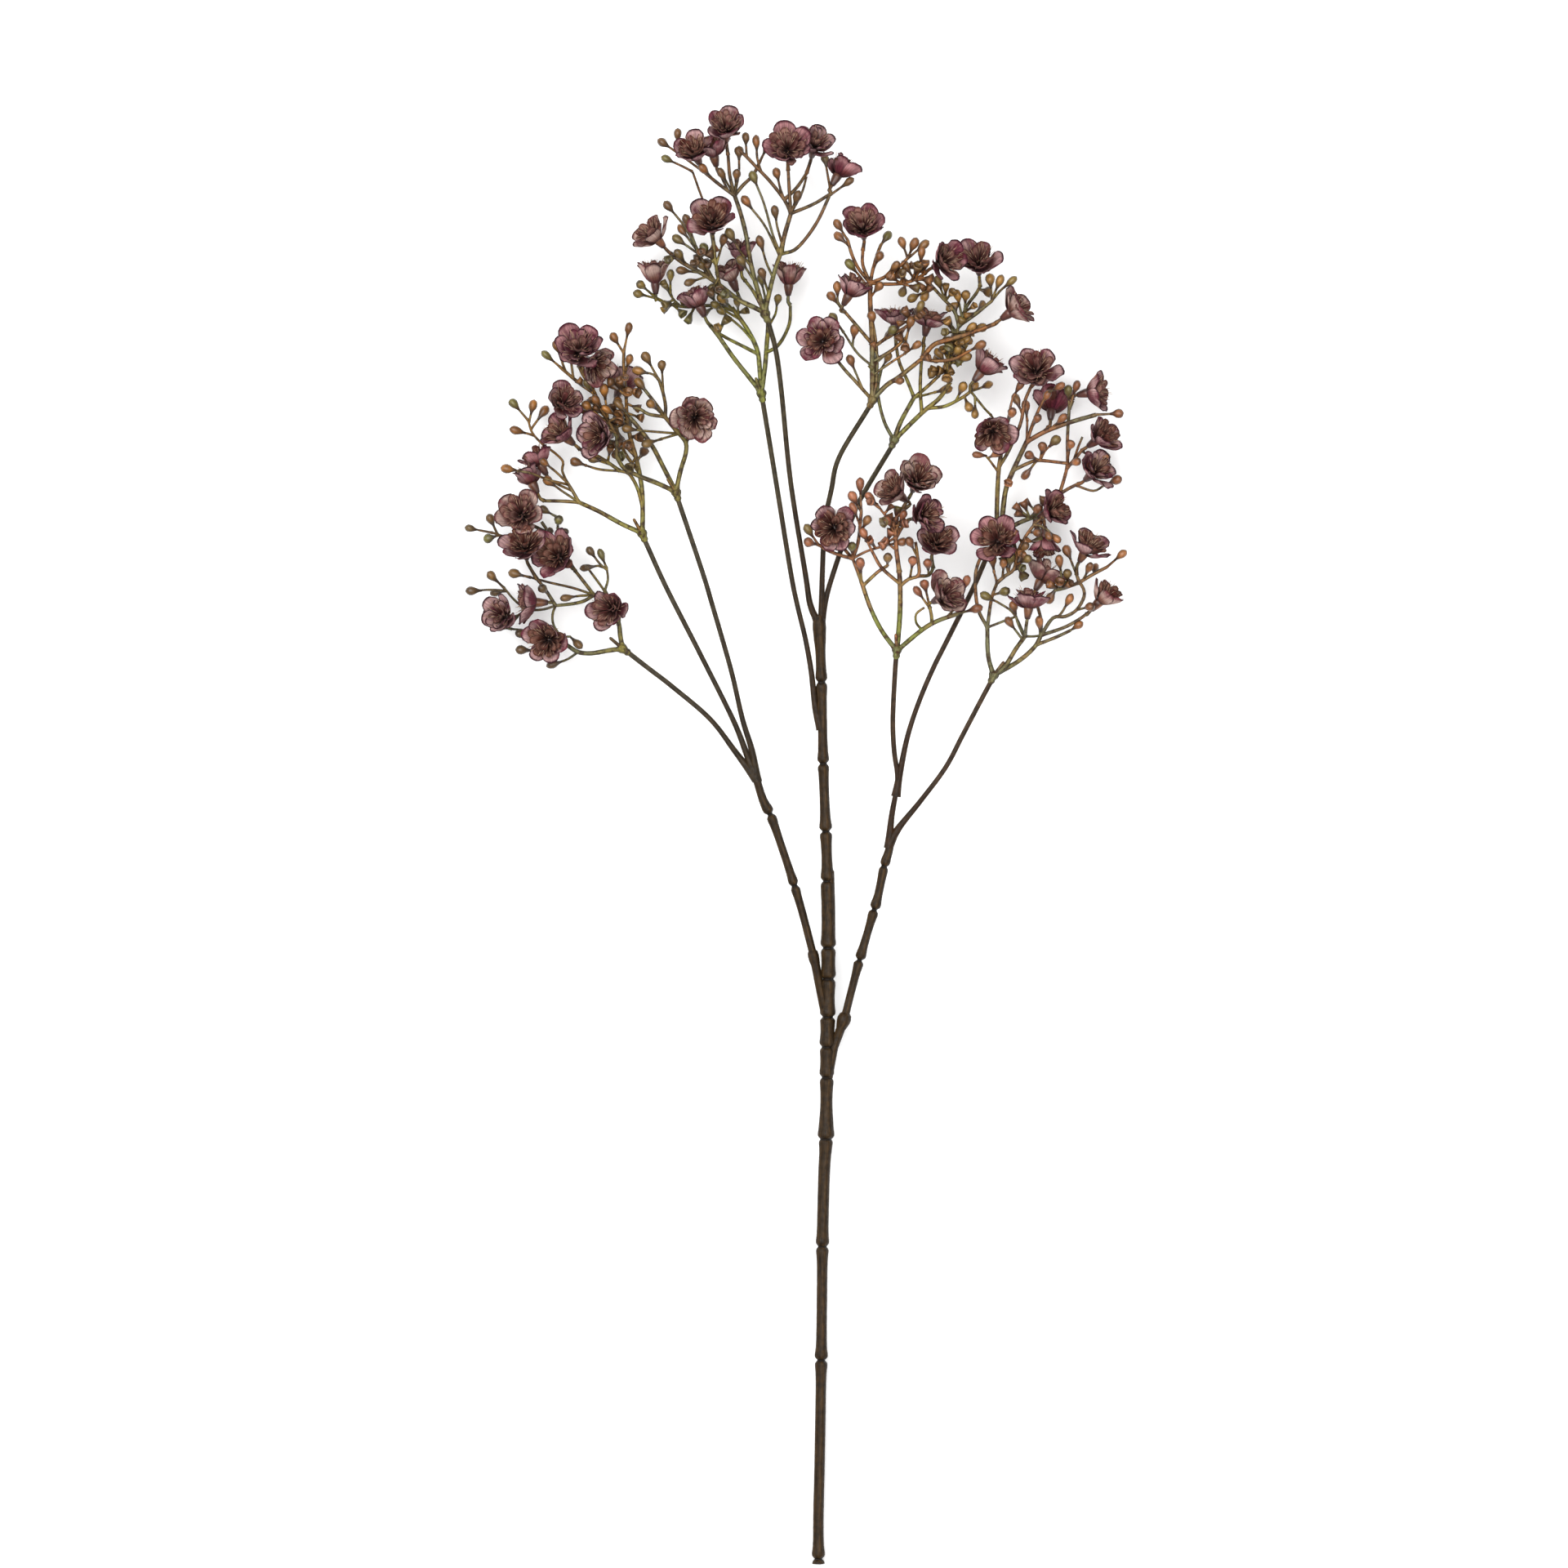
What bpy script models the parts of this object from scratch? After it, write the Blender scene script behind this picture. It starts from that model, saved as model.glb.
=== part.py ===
"""Gypsophila stem with double blooms, cut and laid down on its underside.

The stem lies along +Y with its heads at +Y. The surface it rests on is Z = 0.
Lengths in the tables are millimetres: X to the right, Y along the stem, Z up.
"""

import math
import random

import bmesh
import bpy
from mathutils import Vector

MM = 0.001
TURN = 2 * math.pi
GAP = 0.3
CAP_WELD = 0.000001

# Main stem and its two limbs. A knuckle is (distance above its groove, change of radius) three times.
MAIN_RADIUS = 2.45
LIMB_RADIUS = 2.0
LIMB_TAPER = 0.05
KNUCKLE = ((-0.4, -0.12), (1.1, 0.85), (4.2, 0.1))
KNUCKLE_REACH = 7.0
STEM_STEP = 8.0
STEM_SIDES = 6

# Wands
WAND_FOOT = 1.5
WAND_TIP = 1.15
WAND_FLARE = 0.4
WAND_STEP = 12.0
WAND_BEND = 0.5
WAND_SIDES = 5

# Collar and stub peg at the foot of each spray
COLLAR_LENGTH = 5.0
COLLAR_WIDE_AT = 2.4
COLLAR_RADIUS = 2.1
COLLAR_TOP = 1.6
COLLAR_SINK = 0.8
PEG_FOOT_AT = 3.0
PEG_LENGTH = 8.5
PEG_RADII = (0.9, 0.72)

# Twig thicknesses, as corner radii of the three-sided twigs, and the smallest bend they keep
TWIG_SIDES = 3
THICK = 1.25
ARM = 1.15
TWIG = 0.92
STALK = 0.72
BEND = 1.1

# Edges sharper than this, in degrees, stay sharp where the round pieces are shaded smooth
SHARP = 50

# Buds: an egg on the end of a stalk
BUD_RADIUS = 2.55
BUD_HALF = 3.1
BUD_NECK = 0.72
BUD_BELLY = 0.3
BUD_ROOM = 0.8

# Blooms: lengths of the calyx and the wall, then heights as shares of the depth and reaches of the radius
CALYX_LENGTH = 5.0
CALYX_SIDES = 3
CALYX_FOOT = 1.25
CALYX_TOP = 2.0
STALK_RUN = 2.6
WALL_IN = 0.55
WALL_UP = 0.45
CUP_LOW = 0.55
CUP_RIM = 0.45
BELLY_REACH = 0.84
BELLY_RISE = 0.36
LOBE_HALF = 0.3
LOBE_VARIES = 0.08
RIM_VARIES = 0.1
NOTCH_REACH = 0.8
NOTCH_DROP = 0.22
VALLEY_REACH = 0.46
VALLEY_RISE = 0.5
WHORL_NOTCH_REACH = 0.38
WHORL_TIP_REACH = 0.6
WHORL_TIP_UP = 0.12
PIT_RISE = 0.55

# Colour, roughness and metallic of each material
COLOURS = {
    "stem_brown": ((0.075, 0.048, 0.030, 1.0), 0.42, 0.0),
    "twig_olive": ((0.200, 0.165, 0.055, 1.0), 0.50, 0.0),
    "bloom_mauve": ((0.250, 0.110, 0.120, 1.0), 0.65, 0.0),
    "bloom_plum": ((0.170, 0.070, 0.080, 1.0), 0.65, 0.0),
}

MAIN_ROUTE = (
    (9.7, -324.5, 2.7), (9.7, -303, 3.8), (10.2, -281, 5.1), (10.8, -244.6, 7.0),
    (11.3, -200.8, 9.3), (11.5, -178.9, 10.5), (12.2, -149.7, 12.0), (13.0, -135, 12.8),
    (13.3, -113, 13.9), (13.5, -98.6, 14.7), (14.1, -54.8, 17.0), (13.7, -18.3, 19.0),
    (13.0, 3.7, 20.1), (11.9, 32.9, 21.6), (11.1, 69.4, 23.4), (10.0, 97.5, 25.0),
)
MAIN_KNUCKLES = (
    -322.3, -232.9, -181.8, -133.6, -105.9, -92.3, -78.8, -61.7, -47.8, -17.9, 4.4, 34.7, 71.2,
)
LEFT_ROUTE = (
    (7.17, -50.25, 18.57), (2.7, -32.9, 19.2), (-1.6, -18.3, 19.8), (-6.4, -3.7, 20.4),
    (-11.5, 11.0, 21.0), (-15.1, 18.3, 21.3), (-18.8, 30.3, 22.0),
)
LEFT_KNUCKLES = (-46.5, -20.0, 12.0)
RIGHT_ROUTE = (
    (21.74, -78.12, 15.37), (23.9, -69.4, 15.8), (27.7, -54.8, 16.8), (31.9, -40.2, 17.8),
    (36.1, -25.6, 18.9), (39.2, -11.0, 20.0), (41.4, -3.7, 20.6), (42.2, 1.5, 21.0),
)
RIGHT_KNUCKLES = (-75.0, -53.3, -30.7, -11.3)

# Socket stubs and the moulded lump on the main stem: route and radii
LEFT_STUB = ((13.6, -86, 15.4), (11.2, -70, 17.2), (8.4, -55.5, 18.3), (7.25, -50.6, 18.55))
RIGHT_STUB = ((14.2, -106, 14.3), (16.6, -92.5, 14.9), (20.2, -82.5, 15.2), (21.6, -78.55, 15.35))
STUB_RADII = (1.9, 2.1, 2.3, 2.8)
LUMP = ((14.3, -49.5, 17.2), (15.4, -45, 17.5), (15.5, -30, 18.3), (14.9, -14, 19.1), (13.8, -10.5, 19.3))
LUMP_RADII = (1.0, 1.9, 1.7, 1.9, 1.0)

# Wands: what each grows from, then its route. The first point lies inside the parent.
WANDS = {
    "main_stem": (
        ((10.0, 91.0, 24.6), (8.9, 98.5, 25.6), (6.0, 106, 26.3), (3.8, 120, 27.6), (-2.7, 160.6, 31.3),
         (-6.8, 200.8, 34.9), (-9.3, 219, 36.4), (-12.6, 231.5, 37.4)),
        ((10.9, 50.0, 22.4), (8.4, 60, 22.9), (6.4, 76.7, 23.0), (3.8, 91, 22.9), (0.2, 106, 22.5),
         (-2.7, 120.5, 22.2), (-9.2, 160.6, 21.1), (-15.1, 196.4, 20.1)),
        ((10.0, 91.0, 24.6), (11.0, 100, 25.3), (11.5, 120.5, 27.4), (12.6, 142, 29.7), (15.5, 157, 31.3),
         (19.0, 171.6, 32.8), (32.2, 193.6, 35.2)),
        ((10.3, 88.0, 24.3), (12.6, 106, 24.6), (16.6, 120.5, 23.8), (25.4, 146, 22.4), (30.8, 157, 21.7),
         (42.2, 176.0, 20.4)),
    ),
    "left_limb": (
        ((-17.6, 26.5, 21.8), (-19.9, 40.2, 22.7), (-24.3, 54.8, 23.9), (-29.4, 76.7, 25.7),
         (-37.8, 105.9, 28.0), (-42.2, 120.5, 29.2), (-52.8, 152.0, 31.8)),
        ((-18.0, 27.5, 21.8), (-22.8, 40.2, 21.8), (-28.7, 54.8, 21.6), (-43.3, 84, 21.0),
         (-58.2, 113.2, 20.6), (-67.7, 134.0, 20.1)),
        ((-18.0, 27.5, 21.8), (-27.6, 40.2, 20.9), (-38.9, 54.8, 19.8), (-56.0, 69.4, 18.2),
         (-65.5, 76.7, 17.2), (-74.8, 83.9, 16.3)),
    ),
    "right_limb": (
        ((41.2, -3.0, 20.7), (42.5, 11, 22.3), (45.1, 27.4, 24.6), (43.6, 40.2, 26.5), (43.0, 54.8, 28.7),
         (44.0, 76.7, 32.4), (44.4, 81.5, 33.3)),
        ((44.4, 20.0, 23.5), (46.4, 31.5, 24.2), (49.8, 47.5, 23.6), (54.6, 62, 22.9), (60.8, 76.7, 22.1),
         (68.1, 91.3, 21.2), (79.0, 113.2, 19.7), (84.6, 126, 18.8), (88.7, 134.4, 18.2)),
        ((41.4, -2.0, 20.8), (45.4, 5.5, 21.4), (55.7, 18.3, 22.6), (66.6, 32.9, 24.0), (74.3, 47.5, 25.3),
         (81.9, 62, 26.7), (86.5, 70.6, 27.6)),
    ),
}

# Each spray: point where its collar begins, direction of the collar, length of its stub peg's lean
COLLARS = {
    "spray_a": ((-12.75, 231.9, 37.45), (-0.35, 0.93, 0.12), (-2.2, 4.5, 0.5)),
    "spray_b": ((-15.15, 196.8, 20.1), (-0.16, 0.98, 0.0), (-1.8, 5.0, 1.5)),
    "spray_c": ((32.45, 193.9, 35.25), (0.4, 0.9, 0.1), (1.0, 4.0, 1.0)),
    "spray_d": ((42.4, 176.3, 20.4), (0.35, 0.93, 0.0), (1.8, 5.2, 1.8)),
    "spray_e": ((44.45, 81.9, 33.4), (0.08, 0.98, 0.12), (-0.3, 5.0, 2.2)),
    "spray_f": ((88.85, 134.75, 18.2), (0.35, 0.93, 0.0), (3.0, 4.5, 0.5)),
    "spray_g": ((86.65, 70.95, 27.65), (0.4, 0.9, 0.1), (2.6, 3.6, 1.2)),
    "spray_h": ((-52.9, 152.3, 31.8), (-0.25, 0.96, 0.05), (-2.4, 4.0, 1.4)),
    "spray_i": ((-67.85, 134.3, 20.1), (-0.35, 0.93, 0.0), (-3.0, 5.2, 1.2)),
    "spray_j": ((-75.1, 84.1, 16.25), (-0.8, 0.58, 0.0), (-4.0, 3.4, 1.5)),
}

# Twigs of each spray: name, the twig it leaves ("" is the collar), thickness, foot (x, y), then the route
TWIGS = {
    "spray_a": (
        ("left", "", ARM, (-14.5, 236.5), (-19, 238.3, 37.5), (-26, 241.8, 36), (-38, 251, 33),
         (-50, 258, 30), (-56, 262.5, 29)),
        ("left_up", "left", TWIG, (-37, 250.3), (-43, 261, 36), (-46.5, 268.5, 38), (-50, 274.6, 38)),
        ("to_big", "left", TWIG, (-34.5, 248.5), (-36, 257, 38), (-37, 266, 39.5)),
        ("far_up", "to_big", STALK, (-36.2, 260), (-38, 270, 34), (-40.5, 282, 33), (-44, 292, 34),
         (-46.5, 299, 36)),
        ("middle", "", ARM, (-14.5, 236.5), (-18, 248, 39), (-20.5, 258, 40), (-22.5, 270, 42),
         (-25, 280, 43), (-27.7, 288, 44)),
        ("fork_left", "middle", TWIG, (-27.7, 288), (-33, 291.7, 44), (-39, 296.5, 43.5),
         (-41.5, 298.6, 42.8)),
        ("pair_left", "fork_left", STALK, (-40, 297.3), (-48, 303.5, 38), (-53, 307.2, 36.5)),
        ("pair_mid", "fork_left", STALK, (-30.5, 290), (-33, 295, 43), (-35, 299, 41)),
        ("fork_up", "middle", TWIG, (-27.7, 288), (-29, 293, 44.5), (-30, 298, 44.5), (-30.6, 306, 42.5)),
        ("fork_peg", "middle", STALK, (-27.7, 288), (-25.8, 298, 46), (-25.7, 304, 46)),
        ("fork_right", "middle", TWIG, (-27.7, 288), (-24, 292.5, 43.5), (-19.5, 297, 43),
         (-16.5, 303, 43)),
        ("right", "", ARM, (-14.5, 236.5), (-11.5, 248, 40), (-9, 257, 41), (-7.2, 262, 42)),
        ("right_up", "right", ARM, (-7.2, 262), (-5.5, 270, 43), (-2.6, 280, 44)),
        ("long_left", "right_up", TWIG, (-2.6, 280), (-5.5, 286, 45), (-12, 294.3, 46), (-18, 300.5, 47),
         (-23, 305.7, 47.5), (-26, 308.3, 47)),
        ("to_pale", "long_left", TWIG, (-5.5, 286), (0, 291.5, 44), (4.4, 298, 40.5)),
        ("to_front", "right_up", TWIG, (-2.6, 280), (-3.3, 290, 45.5), (-3.8, 299, 45.5)),
        ("twin", "right_up", STALK, (-2.6, 280), (2.2, 289, 42.5), (4.4, 296.5, 41)),
        ("right_side", "right_up", TWIG, (-2.6, 280), (4, 282.6, 43), (9, 285, 42.5), (15, 288.8, 42)),
        ("long_right", "right", TWIG, (-7.2, 262), (-1, 263.8, 41), (4.5, 269.5, 40.5), (9.5, 277, 41),
         (13.5, 285.5, 41.5), (15.2, 289.5, 42)),
        ("low", "", TWIG, (-14.3, 235.8), (-19, 245, 33.5), (-23, 250.5, 30)),
        ("low_left", "", TWIG, (-14.3, 235.8), (-20.5, 239.5, 34), (-25, 241.7, 29)),
    ),
    "spray_b": (
        ("left", "", ARM, (-15.8, 200.5), (-20, 206, 21), (-28, 216, 23), (-35, 226, 24),
         (-38.3, 230.3, 24)),
        ("left_peg", "left", STALK, (-35, 226), (-33.5, 230, 25), (-31.4, 233.5, 25.5)),
        ("middle", "", ARM, (-15.8, 200.5), (-16.6, 212, 19), (-17.7, 220, 18), (-22, 229, 18),
         (-29, 239, 17.5)),
        ("cross", "middle", TWIG, (-17.4, 218), (-24, 221.5, 19.5), (-31, 225, 21), (-36.5, 228.2, 24)),
        ("long_left", "middle", TWIG, (-28, 237.5), (-38, 240, 11), (-50, 239.5, 10.5), (-58, 241, 13),
         (-62.5, 243, 15.5)),
        ("long_peg", "long_left", STALK, (-52, 239.8), (-55.5, 243, 20), (-56.5, 246, 25)),
        ("right", "", ARM, (-15.8, 200.5), (-14.2, 212, 20), (-13.4, 222, 18), (-12.8, 232, 16),
         (-14, 243, 15)),
        ("to_right", "right", TWIG, (-13.6, 219), (-10, 220.5, 18), (-6.5, 224.5, 17), (-3.2, 232, 17),
         (-2.8, 240, 17)),
        ("inner", "middle", STALK, (-19, 222.8), (-24, 229, 21), (-29.5, 233.8, 22)),
    ),
    "spray_c": (
        ("centre", "", THICK, (33.6, 197), (33.8, 210, 37), (33.6, 225, 39), (32.8, 240, 41),
         (32.8, 249, 42)),
        ("twin", "", TWIG, (33.9, 197.5), (35.6, 207, 36), (35.6, 220, 37.5), (34, 231, 39.8)),
        ("up_left", "centre", TWIG, (32.8, 249), (27.5, 255.5, 43), (24.5, 262, 43), (22.8, 268, 42.5)),
        ("to_big", "centre", TWIG, (32.8, 249), (29.5, 257, 41.5), (29.5, 263.5, 40.5)),
        ("up", "centre", TWIG, (32.8, 249), (34, 255, 42), (36, 262, 40), (37.5, 266, 38.5)),
        ("up_right", "centre", TWIG, (32.8, 249), (40, 252, 43), (45.5, 256, 44), (49.5, 260, 45)),
        ("to_right", "centre", TWIG, (32.8, 249), (40, 248.5, 42), (48, 249, 41.5), (54, 251.3, 40.5),
         (57, 253.3, 39)),
        ("side", "centre", TWIG, (33.6, 222), (31, 225, 40), (25, 232, 43), (19.8, 238, 43)),
        ("low_side", "centre", STALK, (33.8, 212), (27, 218, 38), (21, 227, 39)),
        ("long_left", "", TWIG, (33.6, 197), (27, 204.5, 36), (21.5, 210.5, 35), (16, 217.5, 33)),
        ("thick", "", ARM, (33.6, 197), (40, 203.5, 36), (46, 207.5, 35.5), (56, 215.5, 35)),
        ("far", "thick", ARM, (56, 215.5), (61, 221.5, 36), (68, 224, 36.5), (78, 227, 37),
         (88.5, 231, 36.5)),
        ("far_low", "thick", TWIG, (56, 215.5), (62, 214.5, 35.3), (70, 215.3, 36.5), (76.5, 218.5, 38.5)),
        ("branch_high", "centre", TWIG, (33.6, 220), (40, 224.5, 38.5), (48, 229, 39), (52.5, 232.8, 39.5)),
        ("branch_mid", "centre", TWIG, (33.8, 214), (43, 219.5, 38), (49, 225, 39)),
        ("branch_low", "centre", STALK, (33.8, 208), (41, 213, 37.3), (48, 217.5, 38)),
    ),
    "spray_d": (
        ("left", "", TWIG, (43.4, 179.5), (39.5, 187, 20.5), (37, 196, 21), (36.3, 203, 22),
         (37.8, 211, 23.5)),
        ("middle", "", ARM, (43.4, 179.5), (46.5, 187.5, 21), (52.5, 198.5, 23)),
        ("to_left", "middle", TWIG, (52.5, 198.5), (49.5, 206, 24), (46, 214, 24.5), (44.6, 221, 24.8)),
        ("short", "middle", TWIG, (52.5, 198.5), (57.5, 202.5, 24), (63.5, 208, 25.5)),
        ("short_low", "middle", STALK, (52.5, 198.5), (57.5, 199.7, 21.5), (61.5, 200.8, 20.5)),
        ("right", "", ARM, (43.4, 179.5), (56, 191.6, 21.5), (63.7, 198, 23), (68.7, 205.3, 25)),
        ("upright", "right", TWIG, (56, 191.6), (55.3, 202.6, 24), (55.8, 214, 24.7), (56.9, 221, 24.8)),
        ("long_right", "right", TWIG, (58.5, 193.7), (66.6, 194.7, 22), (75, 199, 23), (77.8, 201.3, 24)),
        ("hanging", "long_right", STALK, (77.8, 201.3), (84, 193.8, 20), (86.8, 191, 18.5)),
        ("cluster", "right", TWIG, (68.7, 205.3), (67.5, 214, 26.5), (70, 223, 28), (72.5, 230.3, 30)),
        ("fork_left", "cluster", TWIG, (72.5, 230.3), (70.3, 237, 31), (64.4, 243.6, 32),
         (59.5, 249, 32.5)),
        ("fork_right", "cluster", TWIG, (72.5, 230.3), (80, 235.5, 31), (87.3, 241.5, 32)),
        ("fork_up", "cluster", TWIG, (72.5, 230.3), (76, 239, 30), (80, 244.5, 28.5), (82, 248, 28)),
    ),
    "spray_e": (
        ("left", "", ARM, (44.8, 85), (38, 94, 35), (33, 104, 36), (29, 115.5, 37)),
        ("left_end", "left", TWIG, (29, 115.5), (26.8, 121.5, 37.5), (25, 126.2, 37.5)),
        ("far_left", "left_end", TWIG, (25, 126.2), (20, 127.5, 37), (13.5, 130, 37), (9.5, 132.6, 37.5)),
        ("to_left", "left_end", TWIG, (25, 126.2), (21, 131, 35), (18.2, 136.5, 34.5)),
        ("left_up", "left_end", TWIG, (25, 126.2), (27.3, 133, 39), (28.3, 141, 41), (28.8, 147, 42)),
        ("left_cross", "left_end", STALK, (25, 126.2), (31, 129.3, 38), (38, 131.5, 38),
         (43.5, 132.8, 38.5)),
        ("left_bud", "left", TWIG, (29.6, 114), (36, 120, 38), (40.5, 123, 38.5)),
        ("centre", "", THICK, (44.8, 85), (46, 100, 36), (46.2, 112, 38), (45.8, 120, 39)),
        ("centre_up", "centre", ARM, (45.8, 120), (44.5, 130, 40), (44, 137, 41), (43, 142, 41.5)),
        ("centre_left", "centre", TWIG, (46.1, 115), (42.5, 117.8, 40), (37.5, 122.5, 41), (33.8, 129, 42)),
        ("centre_right", "centre", TWIG, (46.1, 114), (50, 117, 38.5), (54.5, 119, 39), (53.9, 127, 40),
         (53, 133.5, 41)),
        ("to_mid", "centre_up", TWIG, (44.2, 135), (47, 140, 37), (49.5, 142.8, 36.5)),
        ("to_top", "centre_up", TWIG, (43, 142), (46, 146.5, 41)),
        ("to_low_right", "centre_right", TWIG, (53.5, 118.7), (59, 118.8, 34), (61, 122, 32.5)),
        ("curl", "centre_up", STALK, (43, 142), (39, 146, 43.5), (36, 150, 44.5)),
        ("right", "", ARM, (44.8, 85), (55.5, 94, 34.5), (62.5, 98.2, 35), (72, 101.6, 35.5)),
        ("ring", "right", STALK, (56, 94.3), (53.4, 97.5, 36), (53.4, 101.5, 37), (57, 104.3, 38)),
        ("to_low", "right", TWIG, (60.5, 97), (60.2, 100.5, 36), (59.5, 104, 36.5)),
    ),
    "spray_f": (
        ("left", "", ARM, (90, 137.7), (89.7, 143, 19.5), (89.7, 152, 21), (90.3, 165, 24),
         (91.5, 174, 24.5)),
        ("bud_fork", "left", STALK, (90.3, 165), (86.5, 170, 26.5), (84.5, 172.3, 27.5)),
        ("to_left", "left", TWIG, (91.3, 172.5), (89.5, 178, 24), (87.2, 183.5, 23.5)),
        ("to_top", "left", TWIG, (90.6, 167.5), (94, 173, 24), (98, 181.5, 25), (100.5, 188, 25),
         (102, 196.5, 24.5), (104.8, 203.3, 23.5)),
        ("loop", "to_top", STALK, (97, 179.5), (94.5, 186.5, 26), (95.8, 195, 27), (97, 199, 27.5)),
        ("right", "", THICK, (90, 137.7), (91.8, 143.5, 17.8), (93.6, 157, 18), (97, 166, 19),
         (103, 178.8, 20)),
        ("long_right", "right", ARM, (103, 178.8), (112, 183.7, 20.5), (123, 187.6, 22.5),
         (134, 190.8, 23)),
        ("to_back", "long_right", TWIG, (110.5, 183), (112.5, 185.2, 18)),
        ("up", "right", TWIG, (103, 178.8), (106, 187.5, 22), (108.5, 193.5, 25)),
        ("up_thin", "right", STALK, (103, 178.8), (103.2, 188, 21.5)),
        ("rod", "right", TWIG, (97, 166), (104, 169.3, 20), (108.5, 170.4, 20.5), (120.8, 169.2, 18)),
        ("low", "", ARM, (90, 137.7), (95, 140, 18), (100, 142.7, 18.3), (106, 145, 18)),
        ("low_up", "low", TWIG, (105, 144.7), (112, 149, 11.5), (117, 154.5, 11), (119.5, 161, 12.5),
         (121.3, 169, 15), (121.3, 180, 17), (122, 193.5, 19)),
        ("to_end", "low_up", TWIG, (122, 193.5), (123.7, 197.2, 20)),
        ("to_mid", "low_up", TWIG, (121.1, 167), (125, 171.5, 16), (127.5, 174.8, 16.5)),
        ("to_low", "low_up", TWIG, (117.3, 155.3), (122.5, 158.3, 11), (126, 160, 11)),
        ("under", "to_low", STALK, (125, 159.5), (133, 157, 10.5), (138, 159.5, 12)),
        ("thin_up", "to_mid", STALK, (124, 170.4), (126.3, 177, 18.5), (128, 181, 19)),
    ),
    "spray_g": (
        ("left", "", ARM, (87.9, 74), (85.6, 83, 29), (85.2, 95.5, 30)),
        ("left_up", "left", TWIG, (85.2, 95.5), (81.3, 103, 31), (79.9, 112, 31), (80.2, 121, 31),
         (83, 128, 30.5), (87, 131.5, 29.8)),
        ("inner", "left", TWIG, (85.2, 95.5), (87, 108, 31.5), (89.5, 115.5, 33)),
        ("inner_left", "inner", STALK, (89.5, 115.5), (88.2, 120, 33.5)),
        ("inner_right", "inner", TWIG, (89.5, 115.5), (93.4, 118.7, 34), (97, 121.5, 35), (98.7, 129, 36),
         (102.2, 136, 37), (106, 141.3, 37)),
        ("short", "left", STALK, (85.2, 95.5), (93, 98.5, 31), (98.5, 100.6, 32)),
        ("middle", "", ARM, (87.9, 74), (93, 78, 29.5), (98, 86, 31), (102, 91.5, 34)),
        ("low", "", ARM, (87.9, 74), (99.5, 80.7, 28), (106.5, 87, 29), (109.2, 92, 30)),
        ("joining", "middle", STALK, (102, 91.5), (106, 91.5, 32), (109.9, 92.1, 29.6)),
        ("low_right", "low", TWIG, (107, 87.7), (116, 91.2, 29), (122, 94, 29.5)),
        ("to_low_right", "low", TWIG, (109.2, 92), (119.5, 95.5, 30), (126, 99, 30.5), (129.2, 101.3, 31)),
        ("loop", "low", TWIG, (109.2, 92), (114.5, 99.7, 31), (120, 100.4, 32), (125, 103.3, 33),
         (128.3, 109, 33.5), (128, 113, 34), (126.2, 115.5, 34.5)),
        ("to_mid", "low", TWIG, (109.2, 92), (109.3, 99, 24), (107.8, 105, 23)),
        ("top_left", "loop", TWIG, (126.2, 115.5), (119.5, 113, 36), (115.3, 112, 35.5)),
        ("top_right", "loop", TWIG, (126.2, 115.5), (132.5, 119.3, 34.5), (138.5, 122.4, 34)),
        ("to_right", "loop", TWIG, (126.2, 115.5), (125, 119, 35.5)),
        ("hang", "inner_right", STALK, (106, 141.3), (109.5, 144.5, 33)),
    ),
    "spray_h": (
        ("right", "", ARM, (-54, 156), (-52, 165, 33), (-49.6, 173, 34), (-49.5, 178, 34.5),
         (-52.5, 182, 35)),
        ("to_main", "right", TWIG, (-49.5, 178), (-47, 183, 34), (-46.3, 187, 33.8)),
        ("side_long", "right", STALK, (-52.5, 182), (-61.5, 182.7, 35.5), (-69, 183.3, 36)),
        ("side_short", "right", STALK, (-52.5, 182), (-60, 179.7, 36.5)),
        ("up", "right", ARM, (-52.5, 182), (-55.5, 185.5, 35.2), (-58.8, 189.5, 35.5)),
        ("up_left", "up", TWIG, (-58.8, 189.5), (-66, 190.7, 34.7), (-70, 193, 34.2), (-73, 193.6, 34)),
        ("up_mid", "up", TWIG, (-58.8, 189.5), (-63.5, 196, 35), (-68, 201.8, 34)),
        ("up_high", "up", TWIG, (-58.8, 189.5), (-58.5, 194, 36), (-59.6, 200, 37), (-61.5, 206, 38)),
        ("stick", "up_high", STALK, (-59.6, 200), (-60, 209, 38.5)),
        ("middle", "", ARM, (-54, 156), (-59, 166, 33), (-64.5, 176.5, 34), (-70, 184, 34),
         (-74.5, 189.3, 34)),
        ("left", "", ARM, (-54, 156), (-62, 159.8, 32), (-70, 163, 31.5), (-77, 166.5, 31),
         (-80.5, 172, 31)),
    ),
    "spray_i": (
        ("up", "", ARM, (-69, 138), (-68.9, 146, 20.5), (-69.3, 158, 21), (-71.5, 170, 22),
         (-74.5, 181, 23), (-76, 190, 23.5)),
        ("bow", "up", TWIG, (-68.9, 149), (-71.3, 158, 22), (-75, 164.3, 22), (-79, 165.6, 22)),
        ("long_bud", "bow", STALK, (-79, 165.6), (-88, 166.3, 22), (-94, 168, 22)),
        ("to_low", "up", TWIG, (-70.5, 165), (-77, 174, 19), (-80.5, 184, 17), (-81.5, 193, 16)),
        ("fan", "up", TWIG, (-72, 172), (-80, 181, 22.5), (-86.5, 192, 23.5), (-91, 202, 23.5)),
        ("to_top", "fan", TWIG, (-91, 202), (-95.5, 208.5, 23), (-97.5, 212.5, 23.5)),
        ("tall", "up", TWIG, (-76, 190), (-76.3, 199, 27.5), (-77.3, 212, 29), (-77.2, 219, 30)),
        ("low_left", "bow", TWIG, (-79, 165.6), (-86, 170.5, 22), (-93, 174.3, 21), (-97, 175.2, 20.5)),
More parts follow.
